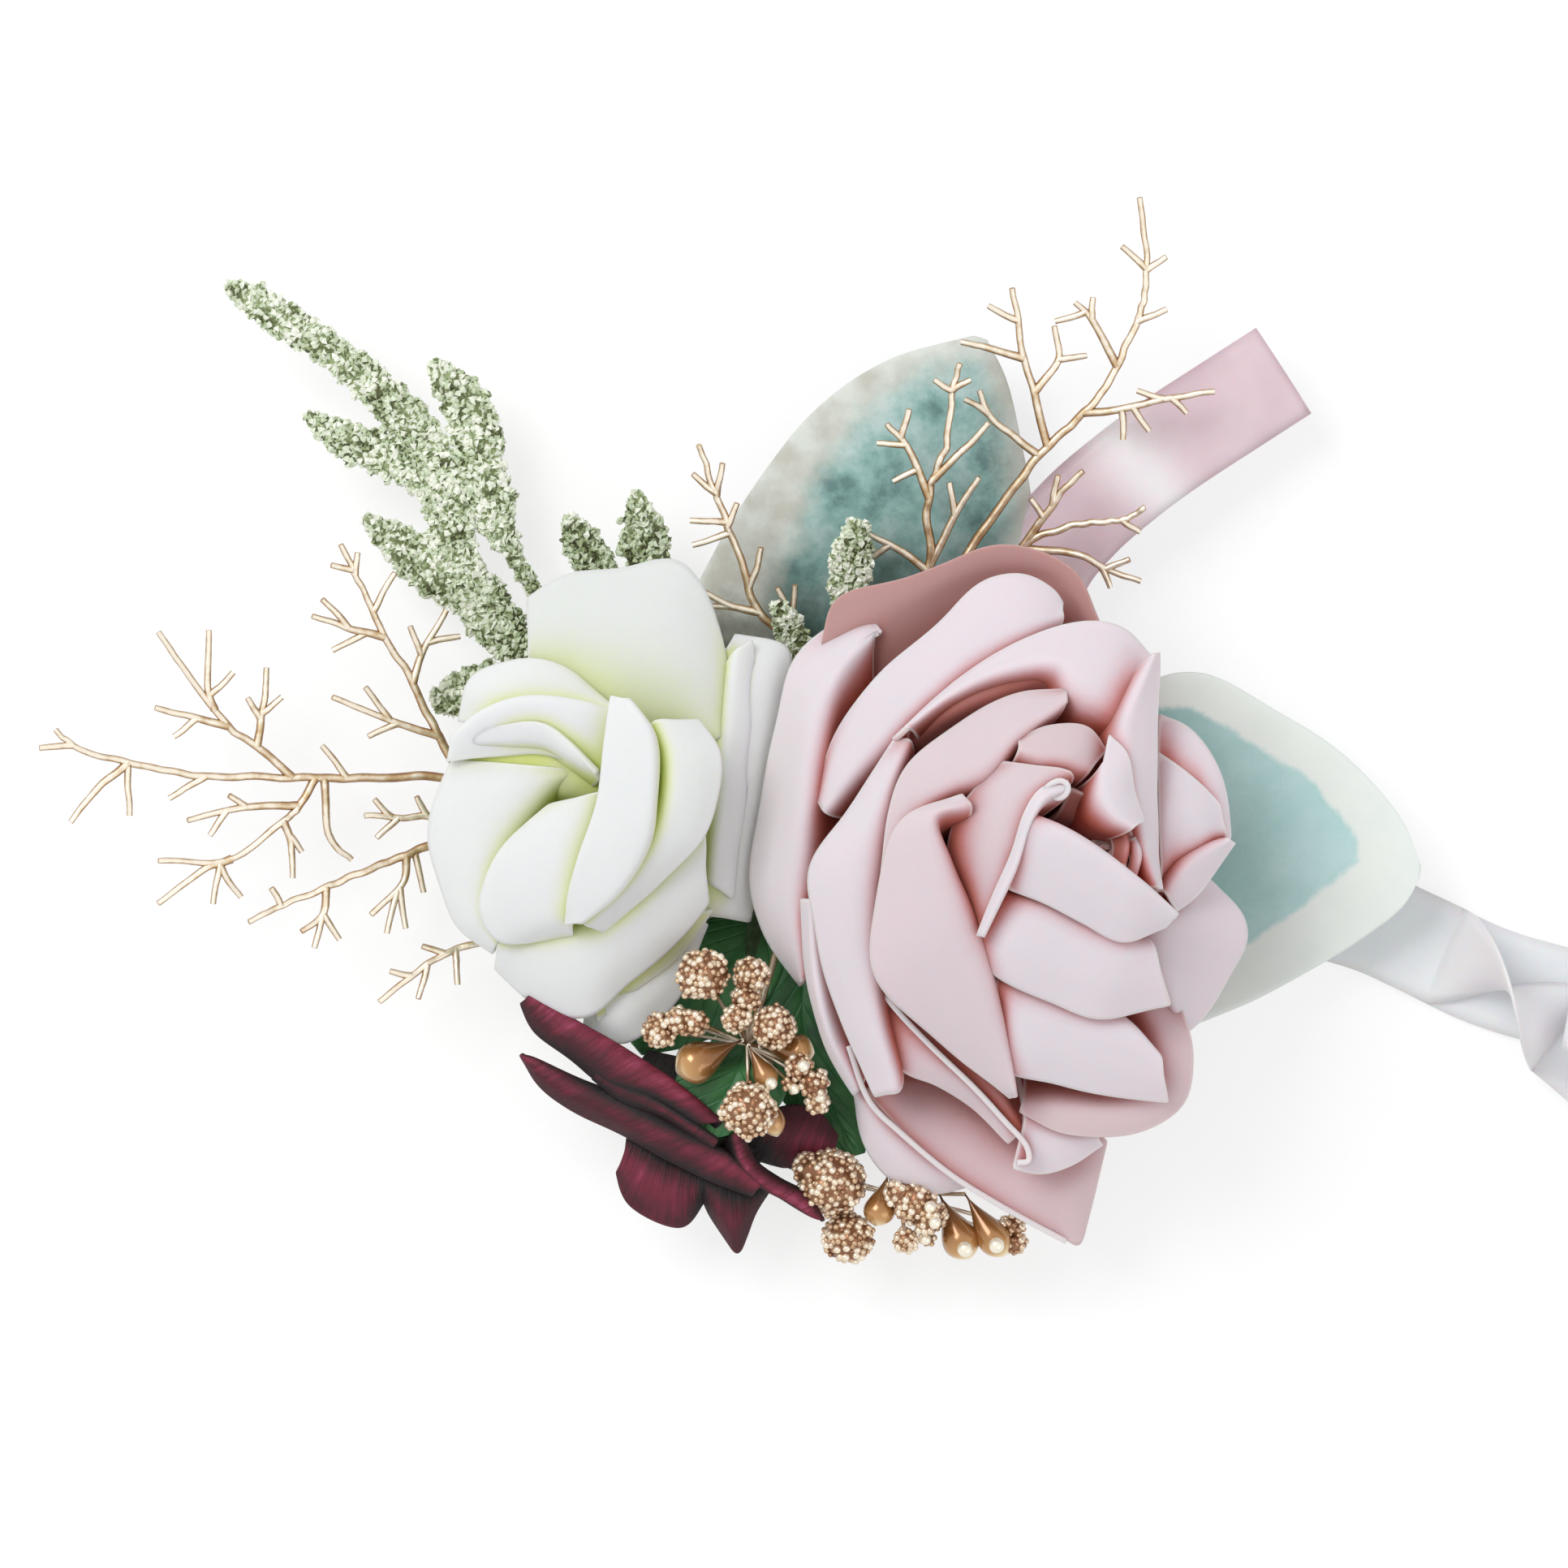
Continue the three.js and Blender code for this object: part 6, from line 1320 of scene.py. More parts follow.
def dress_rose(name, rose, material, slot, petals, folds, standing, heart, shades, painted_shade_offsets):
    """Makes a foam rose from tables of its petals, of the folds between them and of its heart."""
    shapes = []
    for k, (petal, ring, crest, lip) in enumerate(petals + folds):
        node = f"{name}_petal_{petal}"
        grid = petal_grid(rose, ring, crest, lip)
        shapes.append((node + "_foam", grid, FOAM_THICKNESS, [node] if k < len(petals) else []))
    shapes += [(f"{name}_petal_{petal}_foam", standing_fold(rose, path, drop), FOLD_THICKNESS, [])
               for petal, drop, path in standing]
    shapes.append((f"{name}_core_roll", rolled_heart(rose, *heart), HEART_THICKNESS, [f"{name}_core"]))
    pieces = [sheet_piece(shape_name, grid, thickness, material, crisp=0.6,
                          marks={"edge": edge_distance(grid), "foot": foot_share(grid)})
              for shape_name, grid, thickness, nodes in shapes]
    mark_fold_shade(pieces, shades, painted_shade_offsets)
    for piece, (shape_name, grid, thickness, nodes) in zip(pieces, shapes):
        piece = rounded(piece)
        fit(piece, slot, *nodes)


def calyx(name, rose, stem_points, ribs=10):
    """The cup under a rose, ribbed like tape over sepals, and its bent wire stem."""
    base, rim = rose["base"], rose["rim"]
    profile = [(0.6, 0), (1.0, 0), (1.4, 0.35), (rim * 0.45, 1.2), (rim * 0.8, 2.3), (rim * 0.97, 3.0),
               (rim, 3.4), (rim * 0.98, 3.75), (rim * 0.9, 3.8), (0.5, 3.8)]
    points = []
    for k, (radius, z) in enumerate(profile):
        for s in range(CALYX_SIDES):
            turn = 2 * math.pi * s / CALYX_SIDES
            wave = 1 - 0.03 * (1 + math.cos(ribs * turn)) * (0 < k < len(profile) - 2)
            points.append((base.x + radius * wave * math.cos(turn), base.y + radius * wave * math.sin(turn),
                           CALYX_BOTTOM + z))
    faces = tube_faces(len(profile), CALYX_SIDES)
    cup = mesh_piece(name + "_calyx_cup", points, faces, tape_finish)
    fit(cup, "floral_tape", name + "_stem_and_calyx")
    run = [Vector((base.x, base.y, CALYX_BOTTOM + 1.5))] + [plan(x, y, z) for x, y, z in stem_points]
    centres = [smooth_point(run, k / STEM_STEPS) for k in range(STEM_STEPS + 1)]
    stem = mesh_piece(name + "_stem_wire", *tube(centres, [STEM_RADIUS] * len(centres), STEM_SIDES), tape_finish)
    fit(stem, "floral_tape")


pink_petals = [
    ["heart", 0,
     [[1352, 948, 0.9], [1346, 985, 0.92], [1366, 1008, 0.93], [1390, 1020, 0.92]],
     [[1362, 906, 0.86], [1383, 930, 0.88], [1392, 975, 0.88], [1402, 1012, 0.88]]],
    ["heart_top", 1,
     [[1252, 926, 0.86], [1280, 938, 0.88], [1308, 947, 0.88], [1338, 952, 0.87]],
     [[1254, 914, 0.83], [1290, 895, 0.84], [1335, 895, 0.84], [1360, 926, 0.83]]],
    ["inner_left", 0,
     [[1318, 952, 0.9], [1280, 982, 0.91], [1254, 1040, 0.9], [1228, 1110, 0.86], [1208, 1150, 0.82]],
     [[1232, 936, 0.83], [1185, 990, 0.8], [1166, 1050, 0.78], [1182, 1110, 0.76], [1200, 1160, 0.74]]],
    ["upper_band", 1,
     [[1264, 1003, 0.95], [1306, 1020, 0.97], [1350, 1046, 0.96], [1395, 1080, 0.94],
     [1446, 1124, 0.88]],
     [[1236, 1092, 0.87], [1282, 1110, 0.88], [1330, 1135, 0.87], [1380, 1158, 0.86],
      [1430, 1138, 0.85]]],
    ["middle_band", 2,
     [[1228, 1096, 0.83], [1282, 1110, 0.85], [1330, 1130, 0.84], [1380, 1150, 0.83], [1415, 1160, 0.8]],
     [[1196, 1166, 0.77], [1228, 1200, 0.77], [1290, 1232, 0.76], [1350, 1252, 0.75],
      [1440, 1236, 0.72]]],
    ["tongue", 2,
     [[1195, 992, 0.86], [1150, 1005, 0.87], [1165, 1060, 0.86], [1195, 1130, 0.83],
     [1225, 1225, 0.76], [1252, 1350, 0.64]],
     [[1182, 978, 0.84], [1108, 1015, 0.8], [1079, 1110, 0.76], [1078, 1200, 0.72],
      [1150, 1275, 0.67], [1243, 1352, 0.61]]],
    ["right_lip", 1,
     [[1416, 808, 0.8], [1378, 900, 0.85], [1380, 940, 0.86], [1390, 995, 0.86], [1408, 1060, 0.84],
     [1418, 1092, 0.82]],
     [[1423, 804, 0.76], [1422, 890, 0.78], [1421, 950, 0.79], [1421, 1000, 0.79], [1422, 1050, 0.78],
      [1427, 1096, 0.78]]],
    ["lower_band", 3,
     [[1225, 1205, 0.73], [1270, 1220, 0.73], [1325, 1240, 0.72], [1385, 1258, 0.71],
     [1428, 1300, 0.68]],
     [[1229, 1255, 0.67], [1236, 1315, 0.65], [1300, 1333, 0.64], [1370, 1350, 0.63],
      [1441, 1356, 0.61]]],
    ["top_inner", 3,
     [[1120, 1045, 0.77], [1142, 998, 0.79], [1180, 973, 0.81], [1215, 955, 0.83], [1252, 912, 0.84],
     [1311, 867, 0.82]],
     [[1085, 1085, 0.74], [1096, 1000, 0.74], [1117, 942, 0.74], [1186, 889, 0.75], [1253, 855, 0.77],
      [1314, 850, 0.77]]],
    ["right_cup", 2,
     [[1424, 1095, 0.70], [1446, 1070, 0.69], [1478, 1052, 0.67], [1512, 1042, 0.62]],
     [[1424, 880, 0.68], [1465, 900, 0.67], [1500, 945, 0.66], [1516, 1030, 0.63]]],
    ["right_roll", 3,
     [[1430, 1098, 0.74], [1455, 1066, 0.74], [1482, 1046, 0.72], [1511, 1033, 0.7]],
     [[1447, 1122, 0.69], [1468, 1106, 0.68], [1489, 1080, 0.67], [1518, 1038, 0.66]]],
    ["top_middle", 4,
     [[1118, 897, 0.71], [1170, 859, 0.73], [1235, 829, 0.75], [1302, 822, 0.77], [1322, 865, 0.79],
     [1376, 893, 0.79]],
     [[1098, 912, 0.65], [1150, 866, 0.67], [1230, 806, 0.69], [1303, 773, 0.7], [1380, 775, 0.71],
      [1420, 815, 0.71]]],
    ["left_inner", 4,
     [[1122, 912, 0.68], [1101, 965, 0.7], [1085, 1050, 0.7], [1078, 1130, 0.68], [1083, 1245, 0.62],
     [1109, 1345, 0.54]],
     [[1104, 906, 0.64], [1050, 995, 0.62], [998, 1070, 0.6], [1008, 1160, 0.58], [1040, 1265, 0.54],
      [1078, 1352, 0.5]]],
    ["curled_strip", 5,
     [[1086, 1212, 0.55], [1135, 1256, 0.55], [1185, 1308, 0.53], [1228, 1352, 0.51],
     [1262, 1395, 0.49]],
     [[1090, 1292, 0.52], [1114, 1322, 0.5], [1154, 1338, 0.48], [1198, 1364, 0.46],
      [1246, 1410, 0.46]]],
    ["lower_open", 4,
     [[1262, 1354, 0.52], [1310, 1358, 0.55], [1372, 1360, 0.57], [1418, 1338, 0.575], [1424, 1288, 0.58],
      [1400, 1236, 0.58]],
     [[1256, 1372, 0.52], [1310, 1398, 0.53], [1390, 1398, 0.54], [1458, 1366, 0.55],
      [1470, 1300, 0.56], [1452, 1226, 0.57]]],
    ["right_outer", 5,
     [[1478, 1080, 0.6], [1440, 1122, 0.64], [1412, 1152, 0.65], [1420, 1190, 0.64], [1438, 1225, 0.6],
     [1446, 1258, 0.56]],
     [[1490, 1086, 0.57], [1530, 1125, 0.55], [1536, 1155, 0.54], [1512, 1205, 0.52],
      [1480, 1255, 0.51], [1455, 1276, 0.51]]],
    ["top_outer", 5,
     [[1018, 1002, 0.55], [1062, 950, 0.59], [1120, 898, 0.63], [1195, 838, 0.66], [1262, 790, 0.67],
     [1310, 762, 0.65]],
     [[1008, 985, 0.5], [1025, 912, 0.52], [1083, 834, 0.56], [1160, 765, 0.59], [1212, 716, 0.61],
      [1262, 708, 0.62], [1298, 726, 0.62], [1308, 742, 0.62]]],
    ["left_outer", 6,
     [[1078, 780, 0.5], [1026, 848, 0.52], [1002, 950, 0.53], [994, 1060, 0.52], [990, 1130, 0.5],
     [990, 1210, 0.46]],
     [[1086, 780, 0.49], [1066, 760, 0.46], [984, 804, 0.43], [957, 900, 0.42], [937, 1004, 0.4],
      [925, 1095, 0.38], [946, 1160, 0.37], [988, 1216, 0.38]]],
    ["back", 6,
     [[1035, 835, 0.44], [1070, 795, 0.46], [1130, 755, 0.48], [1220, 715, 0.5], [1290, 715, 0.51],
     [1338, 775, 0.53]],
     [[1010, 792, 0.46], [1030, 737, 0.47], [1120, 710, 0.5], [1235, 671, 0.53], [1320, 697, 0.54],
      [1358, 770, 0.55]]],
    ["bottom_tip", 6,
     [[1095, 1342, 0.37], [1145, 1342, 0.36], [1205, 1362, 0.35], [1262, 1402, 0.35], [1312, 1408, 0.36],
     [1356, 1396, 0.38]],
     [[1060, 1344, 0.41], [1112, 1397, 0.39], [1176, 1452, 0.36], [1252, 1500, 0.33],
      [1314, 1532, 0.305], [1334, 1541, 0.3], [1343, 1508, 0.31], [1367, 1408, 0.37]]],
    ["bottom_left", 7,
     [[1050, 1335, 0.38], [1085, 1368, 0.37], [1120, 1395, 0.36], [1160, 1430, 0.34],
     [1198, 1458, 0.32]],
     [[1056, 1350, 0.34], [1066, 1412, 0.31], [1098, 1456, 0.29], [1150, 1477, 0.28],
      [1200, 1466, 0.29]]],
]
# Folds between the petals. The top_step and heart_wall sheets line crevices and carry painted shade.
pink_folds = [
    ["white_lip", 1, [[1314, 972, 0.95], [1286, 981, 0.97], [1267, 1009, 0.965], [1247, 1070, 0.93],
                      [1209, 1152, 0.85]],
     [[1312, 962, 0.94], [1281, 971, 0.95], [1259, 1003, 0.94], [1239, 1064, 0.91], [1202, 1151, 0.83]]],
    ["lower_fold", 5, [[1262, 1375, 0.50], [1285, 1388, 0.49], [1318, 1400, 0.48], [1355, 1402, 0.46]],
     [[1250, 1440, 0.46], [1285, 1446, 0.45], [1320, 1437, 0.44], [1362, 1412, 0.44]]],
    ["top_step", 4,
     [[1116, 925, 0.62], [1160, 890, 0.68], [1226, 863, 0.71], [1300, 848, 0.72], [1338, 884, 0.73]],
     [[1118, 900, 0.65], [1166, 861, 0.70], [1234, 829, 0.725], [1302, 822, 0.745], [1325, 866, 0.765]]],
    ["heart_strip", 0, [[1377, 1016, 0.845], [1386, 1038, 0.85], [1382, 1066, 0.84]],
     [[1363, 1022, 0.82], [1371, 1044, 0.825], [1366, 1068, 0.815]]],
    ["heart_slip", 0, [[1396, 1030, 0.845], [1401, 1052, 0.85], [1394, 1080, 0.835]],
     [[1384, 1036, 0.82], [1390, 1056, 0.825], [1382, 1082, 0.81]]],
    ["cup_layer", 2, [[1424, 1090, 0.71], [1446, 1064, 0.71], [1476, 1044, 0.70], [1508, 1032, 0.66]],
     [[1424, 927, 0.72], [1449, 944, 0.72], [1474, 965, 0.71], [1500, 992, 0.69]]],
    ["heart_wall", 0, [[1300, 1000, 0.82], [1340, 1018, 0.82], [1375, 1048, 0.80], [1405, 1085, 0.76]],
     [[1318, 968, 0.86], [1352, 985, 0.86], [1384, 1015, 0.85], [1410, 1062, 0.82]]],
    ["left_layer", 5, [[1002, 1108, 0.56], [1006, 1190, 0.55], [1022, 1270, 0.50], [1060, 1345, 0.42]],
     [[991, 1108, 0.52], [996, 1190, 0.5], [1014, 1280, 0.46], [1054, 1352, 0.4]]],
    ["under_right", 6, [[1400, 1060, 0.46], [1400, 1120, 0.46], [1396, 1180, 0.46], [1380, 1240, 0.44]],
     [[1480, 1060, 0.44], [1498, 1120, 0.43], [1486, 1180, 0.43], [1440, 1262, 0.42]]],
]
pink_standing = [
    ["heart_curl", 3.0, [[1276, 984, 0.96], [1288, 968, 0.965], [1302, 962, 0.965], [1311, 968, 0.965],
                         [1308, 979, 0.965], [1298, 983, 0.96], [1290, 978, 0.96]]],
    ["strip_rim", 4.0, [[1078, 1210, 0.6], [1106, 1246, 0.61], [1150, 1292, 0.6], [1200, 1340, 0.585],
                        [1240, 1384, 0.56], [1266, 1414, 0.54], [1268, 1432, 0.53], [1254, 1434, 0.53]]],
    ["tip_rim", 1.8, [[1046, 1290, 0.5], [1072, 1360, 0.445], [1112, 1400, 0.42], [1174, 1452, 0.385],
                      [1250, 1499, 0.35], [1318, 1536, 0.32]]],
]
# Painted shade for each piece: its share of the painted shade colour, and an offset to its painted fold shade,
# below zero where a rim stays pale.
pink_shades = {"back": 0.85, "bottom_tip": 0.35, "heart_wall": 0.5, "under_right": 0.2, "heart_top": 0.3,
               "heart_strip": 0.25, "core_roll": 0.8, "inner_left": 0.22, "tongue": 0.16, "top_inner": 0.2,
               "curled_strip": 0.15, "lower_open": 0.3, "top_step": 0.35}
pink_painted_shade_offsets = {"left_layer": -0.2, "heart_curl": -0.3, "heart_slip": -0.2, "strip_rim": -0.3, "tip_rim": -0.25,
             "top_outer": -0.05, "middle_band": -0.06, "lower_band": -0.06, "upper_band": -0.04,
             "white_lip": -0.2, "right_outer": -0.2, "lower_open": -0.02, "lower_fold": -0.2, "top_step": 0.3}
pink_rose = {"base": plan(1240, 1110, ROOT_HEIGHT), "top": plan(1387, 1032, 46.5), "height": 50,
             "core": 3.6, "thickness": FOAM_THICKNESS, "rim": 13.2}
# Pink foam: the painted edge highlight colour, the painted shade colour, its translucency, then stops from the
# open face down into painted crevice shade.
pink_foam = foam_finish("pink_foam", (0.96, 0.91, 0.91), (0.72, 0.54, 0.52), (1.0, 0.5, 0.45),
                        (0.05, (0.935, 0.88, 0.905)), (0.16, (0.92, 0.85, 0.875)),
                        (0.28, (0.895, 0.785, 0.81)),
                        (0.40, (0.86, 0.69, 0.705)), (0.53, (0.81, 0.55, 0.54)), (0.68, (0.74, 0.40, 0.34)),
                        (0.88, (0.62, 0.24, 0.16)))
calyx("pink_rose", pink_rose, [(1232, 1096, 9.4), (1215, 1083, 7.4)])
dress_rose("pink_rose", pink_rose, pink_foam, "pink_foam", pink_petals, pink_folds, pink_standing,
           (2.6, 2.3, 0.9), pink_shades, pink_painted_shade_offsets)

# White rose. The same foam, undyed, with yellow-green shade painted down in its folds. Its petals
# lie closer, and two broad ones stand up behind it against the pink rose.
white_petals = [
    ["centre_roll", 0,
     [[775, 862, 0.92], [804, 905, 0.95], [806, 985, 0.96], [797, 1040, 0.93], [762, 1098, 0.88],
     [716, 1136, 0.8]],
     [[755, 858, 0.88], [746, 920, 0.9], [738, 985, 0.9], [716, 1050, 0.87], [700, 1105, 0.82],
      [698, 1140, 0.77]]],
    ["right_inner", 1,
     [[806, 888, 0.88], [822, 930, 0.9], [820, 985, 0.9], [804, 1032, 0.88], [770, 1082, 0.84],
     [718, 1138, 0.76]],
     [[862, 888, 0.82], [887, 928, 0.83], [883, 985, 0.83], [864, 1036, 0.82], [812, 1088, 0.78],
      [742, 1148, 0.7]]],
    ["left_face", 1,
     [[742, 975, 0.84], [732, 1040, 0.83], [716, 1090, 0.8], [704, 1135, 0.77]],
     [[676, 994, 0.76], [612, 1055, 0.72], [588, 1120, 0.67], [612, 1160, 0.65], [706, 1152, 0.66]]],
    ["left_mouth", 2,
     [[758, 876, 0.82], [700, 862, 0.82], [640, 860, 0.79], [594, 876, 0.75], [556, 908, 0.7]],
     [[748, 962, 0.8], [706, 940, 0.78], [672, 928, 0.75], [606, 930, 0.7], [548, 938, 0.66]]],
    ["left_outer", 3,
     [[745, 952, 0.72], [690, 965, 0.71], [646, 1015, 0.68], [612, 1075, 0.65], [600, 1130, 0.62],
     [610, 1164, 0.58]],
     [[556, 934, 0.63], [532, 990, 0.6], [525, 1035, 0.57], [538, 1090, 0.55], [558, 1140, 0.53],
      [606, 1176, 0.53]]],
    ["lower_right", 3,
     [[868, 1026, 0.74], [815, 1078, 0.73], [768, 1118, 0.71], [728, 1140, 0.68], [680, 1152, 0.64],
     [612, 1164, 0.58]],
     [[872, 1112, 0.62], [838, 1155, 0.59], [775, 1212, 0.55], [722, 1253, 0.51], [668, 1246, 0.49],
      [608, 1196, 0.49]]],
    ["upper_left", 4,
     [[764, 880, 0.68], [700, 866, 0.66], [650, 864, 0.64], [612, 872, 0.62], [592, 892, 0.58]],
     [[742, 862, 0.63], [690, 822, 0.6], [640, 812, 0.58], [578, 834, 0.55], [562, 890, 0.52]]],
    ["top_back", 4,
     [[652, 822, 0.53], [700, 846, 0.56], [745, 868, 0.6], [795, 880, 0.62], [850, 888, 0.62],
     [888, 908, 0.6]],
     [[645, 735, 0.5], [694, 707, 0.53], [760, 698, 0.56], [838, 688, 0.58], [888, 780, 0.58],
      [898, 900, 0.56]]],
    ["right_back", 5,
     [[893, 800, 0.56], [892, 850, 0.58], [884, 920, 0.59], [878, 985, 0.58], [872, 1050, 0.56],
     [862, 1125, 0.5]],
     [[903, 780, 0.5], [974, 800, 0.5], [962, 880, 0.5], [947, 960, 0.49], [935, 1050, 0.47],
      [924, 1140, 0.42]]],
    ["bottom_outer", 5,
     [[720, 1238, 0.47], [762, 1210, 0.5], [806, 1172, 0.51], [856, 1126, 0.51]],
     [[714, 1270, 0.42], [768, 1288, 0.42], [828, 1240, 0.45], [872, 1140, 0.47]]],
]
# Folds between the petals. The mouth_floor and lower_crease sheets fill a hollow and a crease, where they take
# painted yellow-green shade.
white_folds = [
    ["mouth_floor", 2,
     [[760, 985, 0.72], [700, 975, 0.70], [650, 965, 0.67], [600, 962, 0.63], [560, 960, 0.58]],
     [[770, 880, 0.76], [705, 878, 0.76], [645, 876, 0.73], [600, 890, 0.69], [566, 915, 0.64]]],
    ["mouth_lip", 2,
     [[742, 958, 0.83], [706, 934, 0.82], [672, 916, 0.79], [616, 914, 0.74], [560, 922, 0.68]],
     [[738, 950, 0.86], [704, 914, 0.85], [668, 892, 0.82], [620, 892, 0.77], [572, 906, 0.71]]],
    ["back_layer", 5,
     [[905, 800, 0.60], [900, 860, 0.61], [892, 930, 0.61], [884, 1000, 0.6], [874, 1090, 0.56]],
     [[925, 786, 0.56], [930, 860, 0.56], [922, 940, 0.55], [912, 1020, 0.54], [902, 1110, 0.5]]],
    ["lower_crease", 4,
     [[850, 1128, 0.55], [800, 1178, 0.53], [756, 1216, 0.5], [730, 1238, 0.47]],
     [[878, 1120, 0.53], [848, 1165, 0.52], [787, 1222, 0.50], [734, 1262, 0.47]]],
]
white_rose = {"base": plan(737, 1015, ROOT_HEIGHT), "top": plan(775, 960, 31.8), "height": 37,
              "core": 2.8, "thickness": FOAM_THICKNESS, "rim": 10}
# White foam: the painted edge highlight colour, the painted shade colour, its translucency, then stops from the
# open face down into painted yellow-green shade.
white_foam = foam_finish("white_foam", (0.95, 0.96, 0.94), (0.84, 0.86, 0.87), (0.9, 1.0, 0.7),
                         (0.04, (0.945, 0.965, 0.95)), (0.15, (0.935, 0.95, 0.92)),
                         (0.27, (0.92, 0.94, 0.85)),
                         (0.40, (0.90, 0.93, 0.765)), (0.55, (0.88, 0.91, 0.66)), (0.75, (0.84, 0.88, 0.54)),
                         (0.95, (0.77, 0.82, 0.44)))
calyx("white_rose", white_rose, [(765, 1045, 8.7), (815, 1078, 7.4), (850, 1080, 7.4)])
# Painted shade for each piece: its share of the painted shade colour, and an offset to its painted fold shade.
white_shades = {"top_back": 0.35, "right_inner": 0.1}
white_painted_shade_offsets = {"top_back": 0.13, "lower_crease": 0.3, "bottom_outer": -0.15, "right_back": -0.12,
              "back_layer": -0.15}
dress_rose("white_rose", white_rose, white_foam, "white_foam", white_petals, white_folds, [], (2.2, 1.6, 0.9),
           white_shades, white_painted_shade_offsets)

# Burgundy rose. A small silk rose under the berries, seen from its side: long velvety petals of
# woven cloth with curled lips, with shade painted almost black on their inner faces and towards their lips.
SILK_THICKNESS = 0.7
SILK_RIPPLE = 0.9
SILK_ARCH = 0.22
SILK_FOOT_PAINTED_SHADE = 2.2
burgundy_petals = [
    ["upper", 0,
     [[652, 1227, 0.92], [700, 1258, 0.94], [765, 1294, 0.96], [830, 1338, 0.97], [890, 1386, 0.93]],
     [[640, 1240, 0.86], [662, 1280, 0.86], [712, 1322, 0.86], [765, 1348, 0.85], [838, 1394, 0.84]]],
    ["middle", 1,
     [[640, 1303, 0.80], [700, 1330, 0.83], [770, 1358, 0.85], [840, 1396, 0.86], [890, 1422, 0.85],
      [940, 1464, 0.82]],
     [[637, 1308, 0.76], [660, 1342, 0.75], [712, 1380, 0.74], [780, 1412, 0.74], [850, 1450, 0.74],
      [926, 1474, 0.76]]],
    ["right", 1,
     [[900, 1402, 0.84], [912, 1440, 0.84], [938, 1466, 0.82], [975, 1486, 0.80], [1008, 1508, 0.78]],
     [[908, 1398, 0.82], [926, 1434, 0.8], [960, 1458, 0.78], [995, 1478, 0.76], [1015, 1512, 0.76]]],
    ["bottom", 2,
     [[772, 1400, 0.68], [805, 1418, 0.69], [838, 1434, 0.68], [868, 1450, 0.68]],
     [[756, 1452, 0.6], [776, 1496, 0.58], [834, 1518, 0.58], [868, 1484, 0.62]]],
]
# Folds between the petals; the body fills the rose under the upper petals and takes painted shade.
burgundy_folds = [
    ["tail", 2, [[862, 1446, 0.66], [885, 1456, 0.68], [910, 1464, 0.68], [940, 1468, 0.66]],
     [[866, 1480, 0.6], [878, 1508, 0.59], [898, 1542, 0.57], [909, 1555, 0.56], [918, 1534, 0.57],
      [928, 1504, 0.59], [944, 1472, 0.62]]],
    ["body", 1, [[770, 1335, 0.56], [820, 1375, 0.58], [870, 1410, 0.6], [930, 1440, 0.6]],
     [[796, 1296, 0.6], [850, 1306, 0.64], [910, 1340, 0.66], [965, 1410, 0.62]]],
    ["back", 2, [[900, 1418, 0.6], [935, 1434, 0.6], [975, 1445, 0.6], [1020, 1450, 0.58]],
     [[945, 1376, 0.72], [975, 1366, 0.72], [1005, 1370, 0.7], [1036, 1404, 0.66]]],
    ["rim", 0, [[735, 1322, 0.93], [780, 1342, 0.94], [830, 1374, 0.95], [885, 1408, 0.93]],
     [[728, 1330, 0.87], [770, 1356, 0.87], [820, 1386, 0.87], [880, 1420, 0.86]]],
]
burgundy_rose = {"base": plan(862, 1392, ROOT_HEIGHT), "top": plan(880, 1375, 18), "height": 20,
                 "core": 2, "thickness": SILK_THICKNESS, "rim": 5}
silk_finish, silk_tree, silk_shader = finish("burgundy_silk", Roughness=0.7, Sheen_Weight=0.15,
                                             Sheen_Roughness=0.35, Sheen_Tint=tint(0.75, 0.32, 0.46))
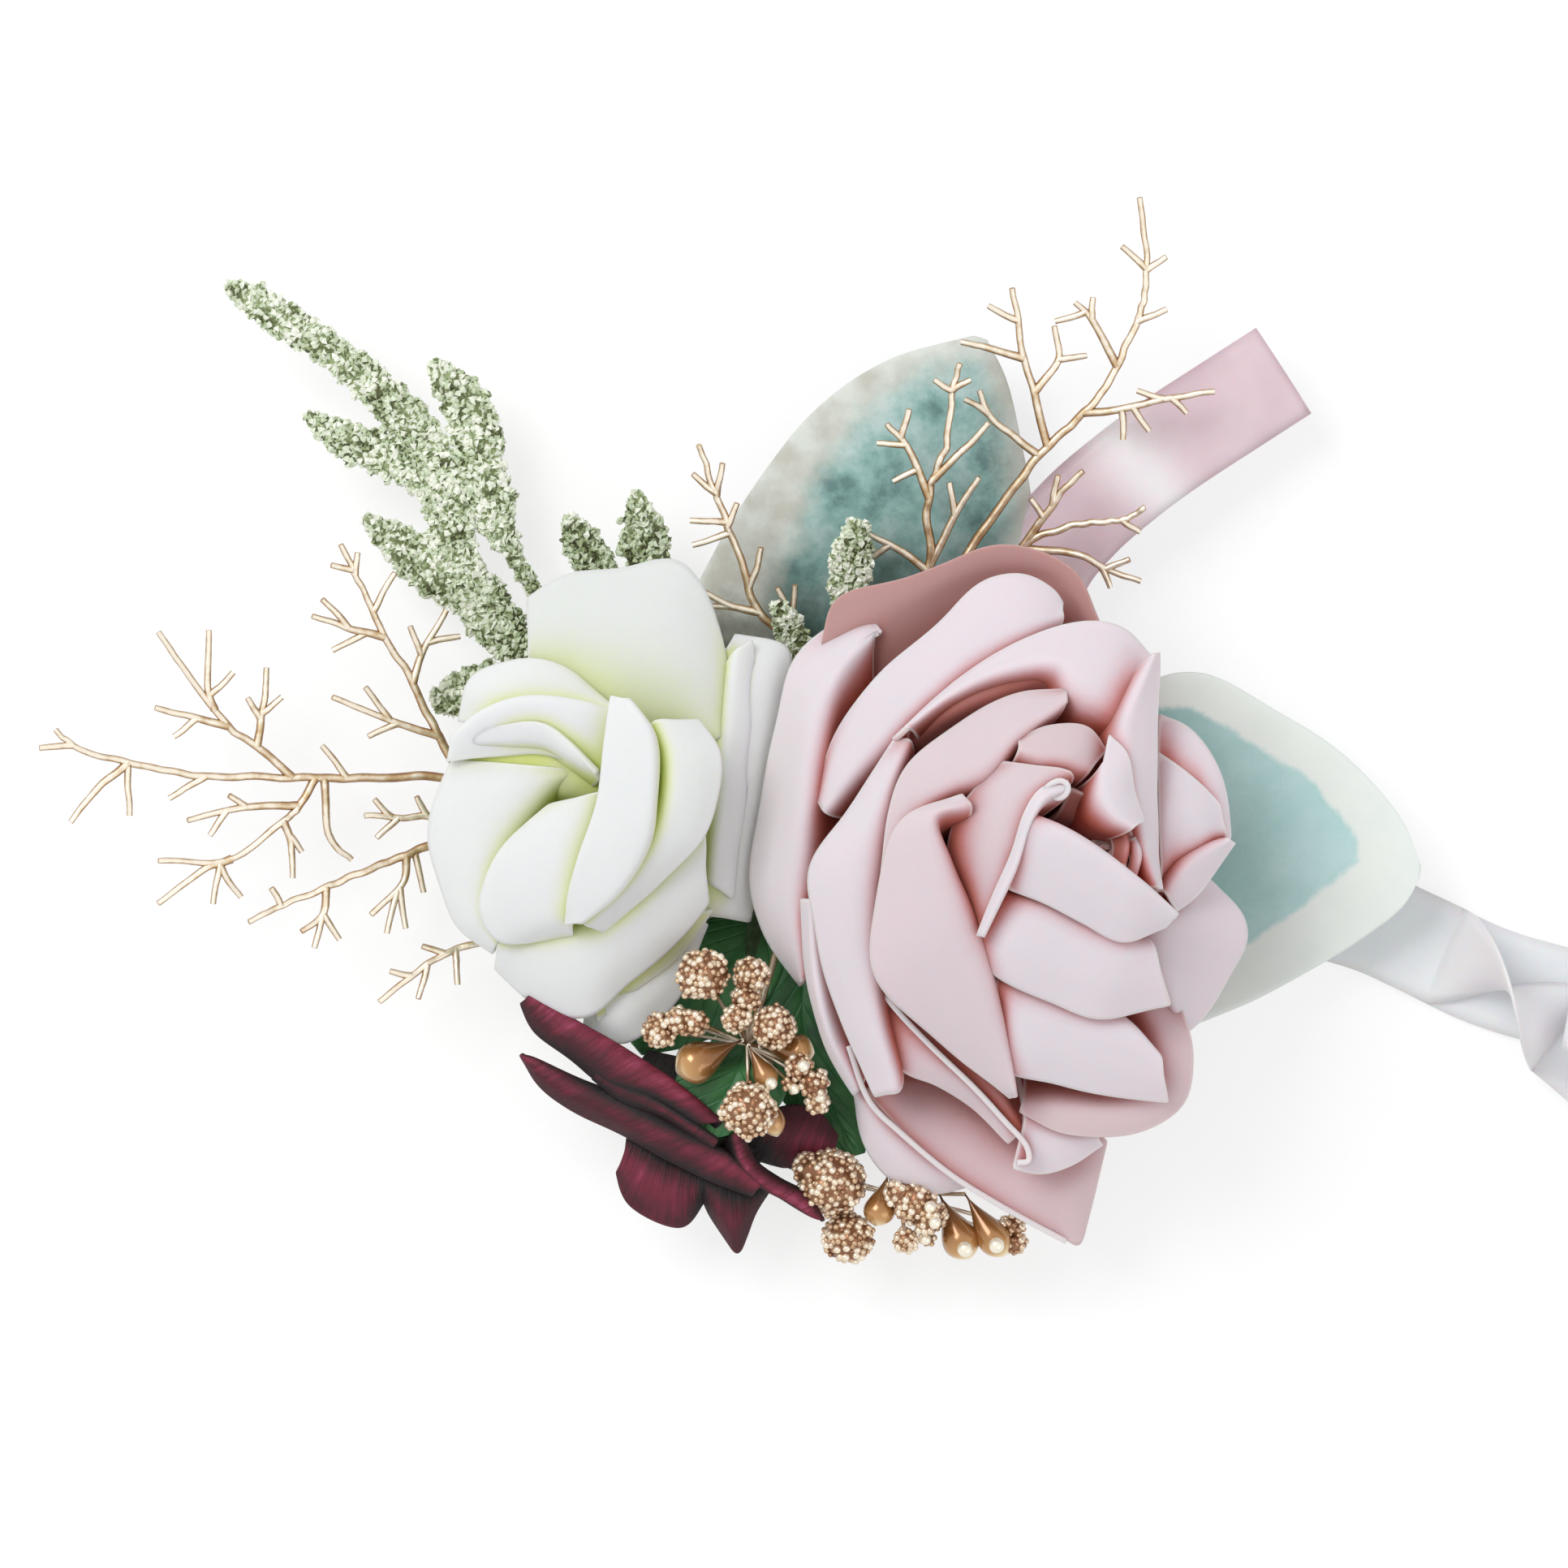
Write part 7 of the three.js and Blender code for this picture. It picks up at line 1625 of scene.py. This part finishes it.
# Painted shade: the silk is darkened by its depth between the petals, by its share below the crest and towards
# each lip; a crushed-strand noise and a mottle vary it.
silk_painted_shade_depth = maths(silk_tree, "MULTIPLY_ADD", own_mark(silk_tree, "foot"), SILK_FOOT_PAINTED_SHADE,
                  own_mark(silk_tree, "fold"))
silk_place, silk_parts = cloth_place(silk_tree)
silk_lip_painted_shade = span(silk_tree, silk_parts["Y"], 0.62, 0.92, 0.0, 0.26)
silk_strands = wire(silk_tree, "ShaderNodeVectorMath", {0: silk_place, 1: (26.0, 2.2, 1.0)},
                    operation="MULTIPLY").outputs[0]
silk_crush = wire(silk_tree, "ShaderNodeTexNoise", {"Vector": silk_strands, "Scale": 1.0, "Detail": 3.0,
                                                    "Roughness": 0.6}).outputs["Fac"]
silk_crush_and_painted_shade = maths(silk_tree, "MULTIPLY_ADD", silk_crush, 0.34, maths(silk_tree, "ADD", silk_painted_shade_depth, silk_lip_painted_shade))
silk_mottle_and_painted_shade = maths(silk_tree, "MULTIPLY_ADD", speckle(silk_tree, 320, 5, 0.6), 0.16, silk_crush_and_painted_shade)
silk_tree.links.new(ramp(silk_tree, silk_mottle_and_painted_shade, (0.16, (0.66, 0.29, 0.41)), (0.29, (0.46, 0.12, 0.21)),
                         (0.43, (0.27, 0.04, 0.10)), (0.62, (0.06, 0.012, 0.025))),
                    silk_shader.inputs["Base Color"])
bump(silk_tree, silk_shader, silk_crush, 0.7, 0.5)
calyx("burgundy_rose", burgundy_rose, [(885, 1340, 8.7), (920, 1200, 6.4), (935, 1100, 6.4)], ribs=5)
silk_grids = [(f"burgundy_rose_petal_{petal}",
               petal_grid(burgundy_rose, ring, crest, lip, ripple=SILK_RIPPLE, arch=SILK_ARCH))
              for petal, ring, crest, lip in burgundy_petals + burgundy_folds]
silks = [sheet_piece(node + "_silk", grid, SILK_THICKNESS, silk_finish, crisp=0.3,
                     marks={"foot": foot_share(grid)}) for node, grid in silk_grids]
# Painted shade offsets for the silk pieces; the body takes the most.
mark_fold_shade(silks, {}, {"bottom_silk": -0.1, "tail_silk": -0.04, "body_silk": 0.3, "back_silk": -0.05,
                       "upper_silk": 0.04, "rim_silk": 0.1})
for k, (silk, (node, grid)) in enumerate(zip(silks, silk_grids)):
    silk = rounded(silk)
    declare_cut(silk, grid)
    fit(silk, "burgundy_silk", *([node] if k < len(burgundy_petals) else []))
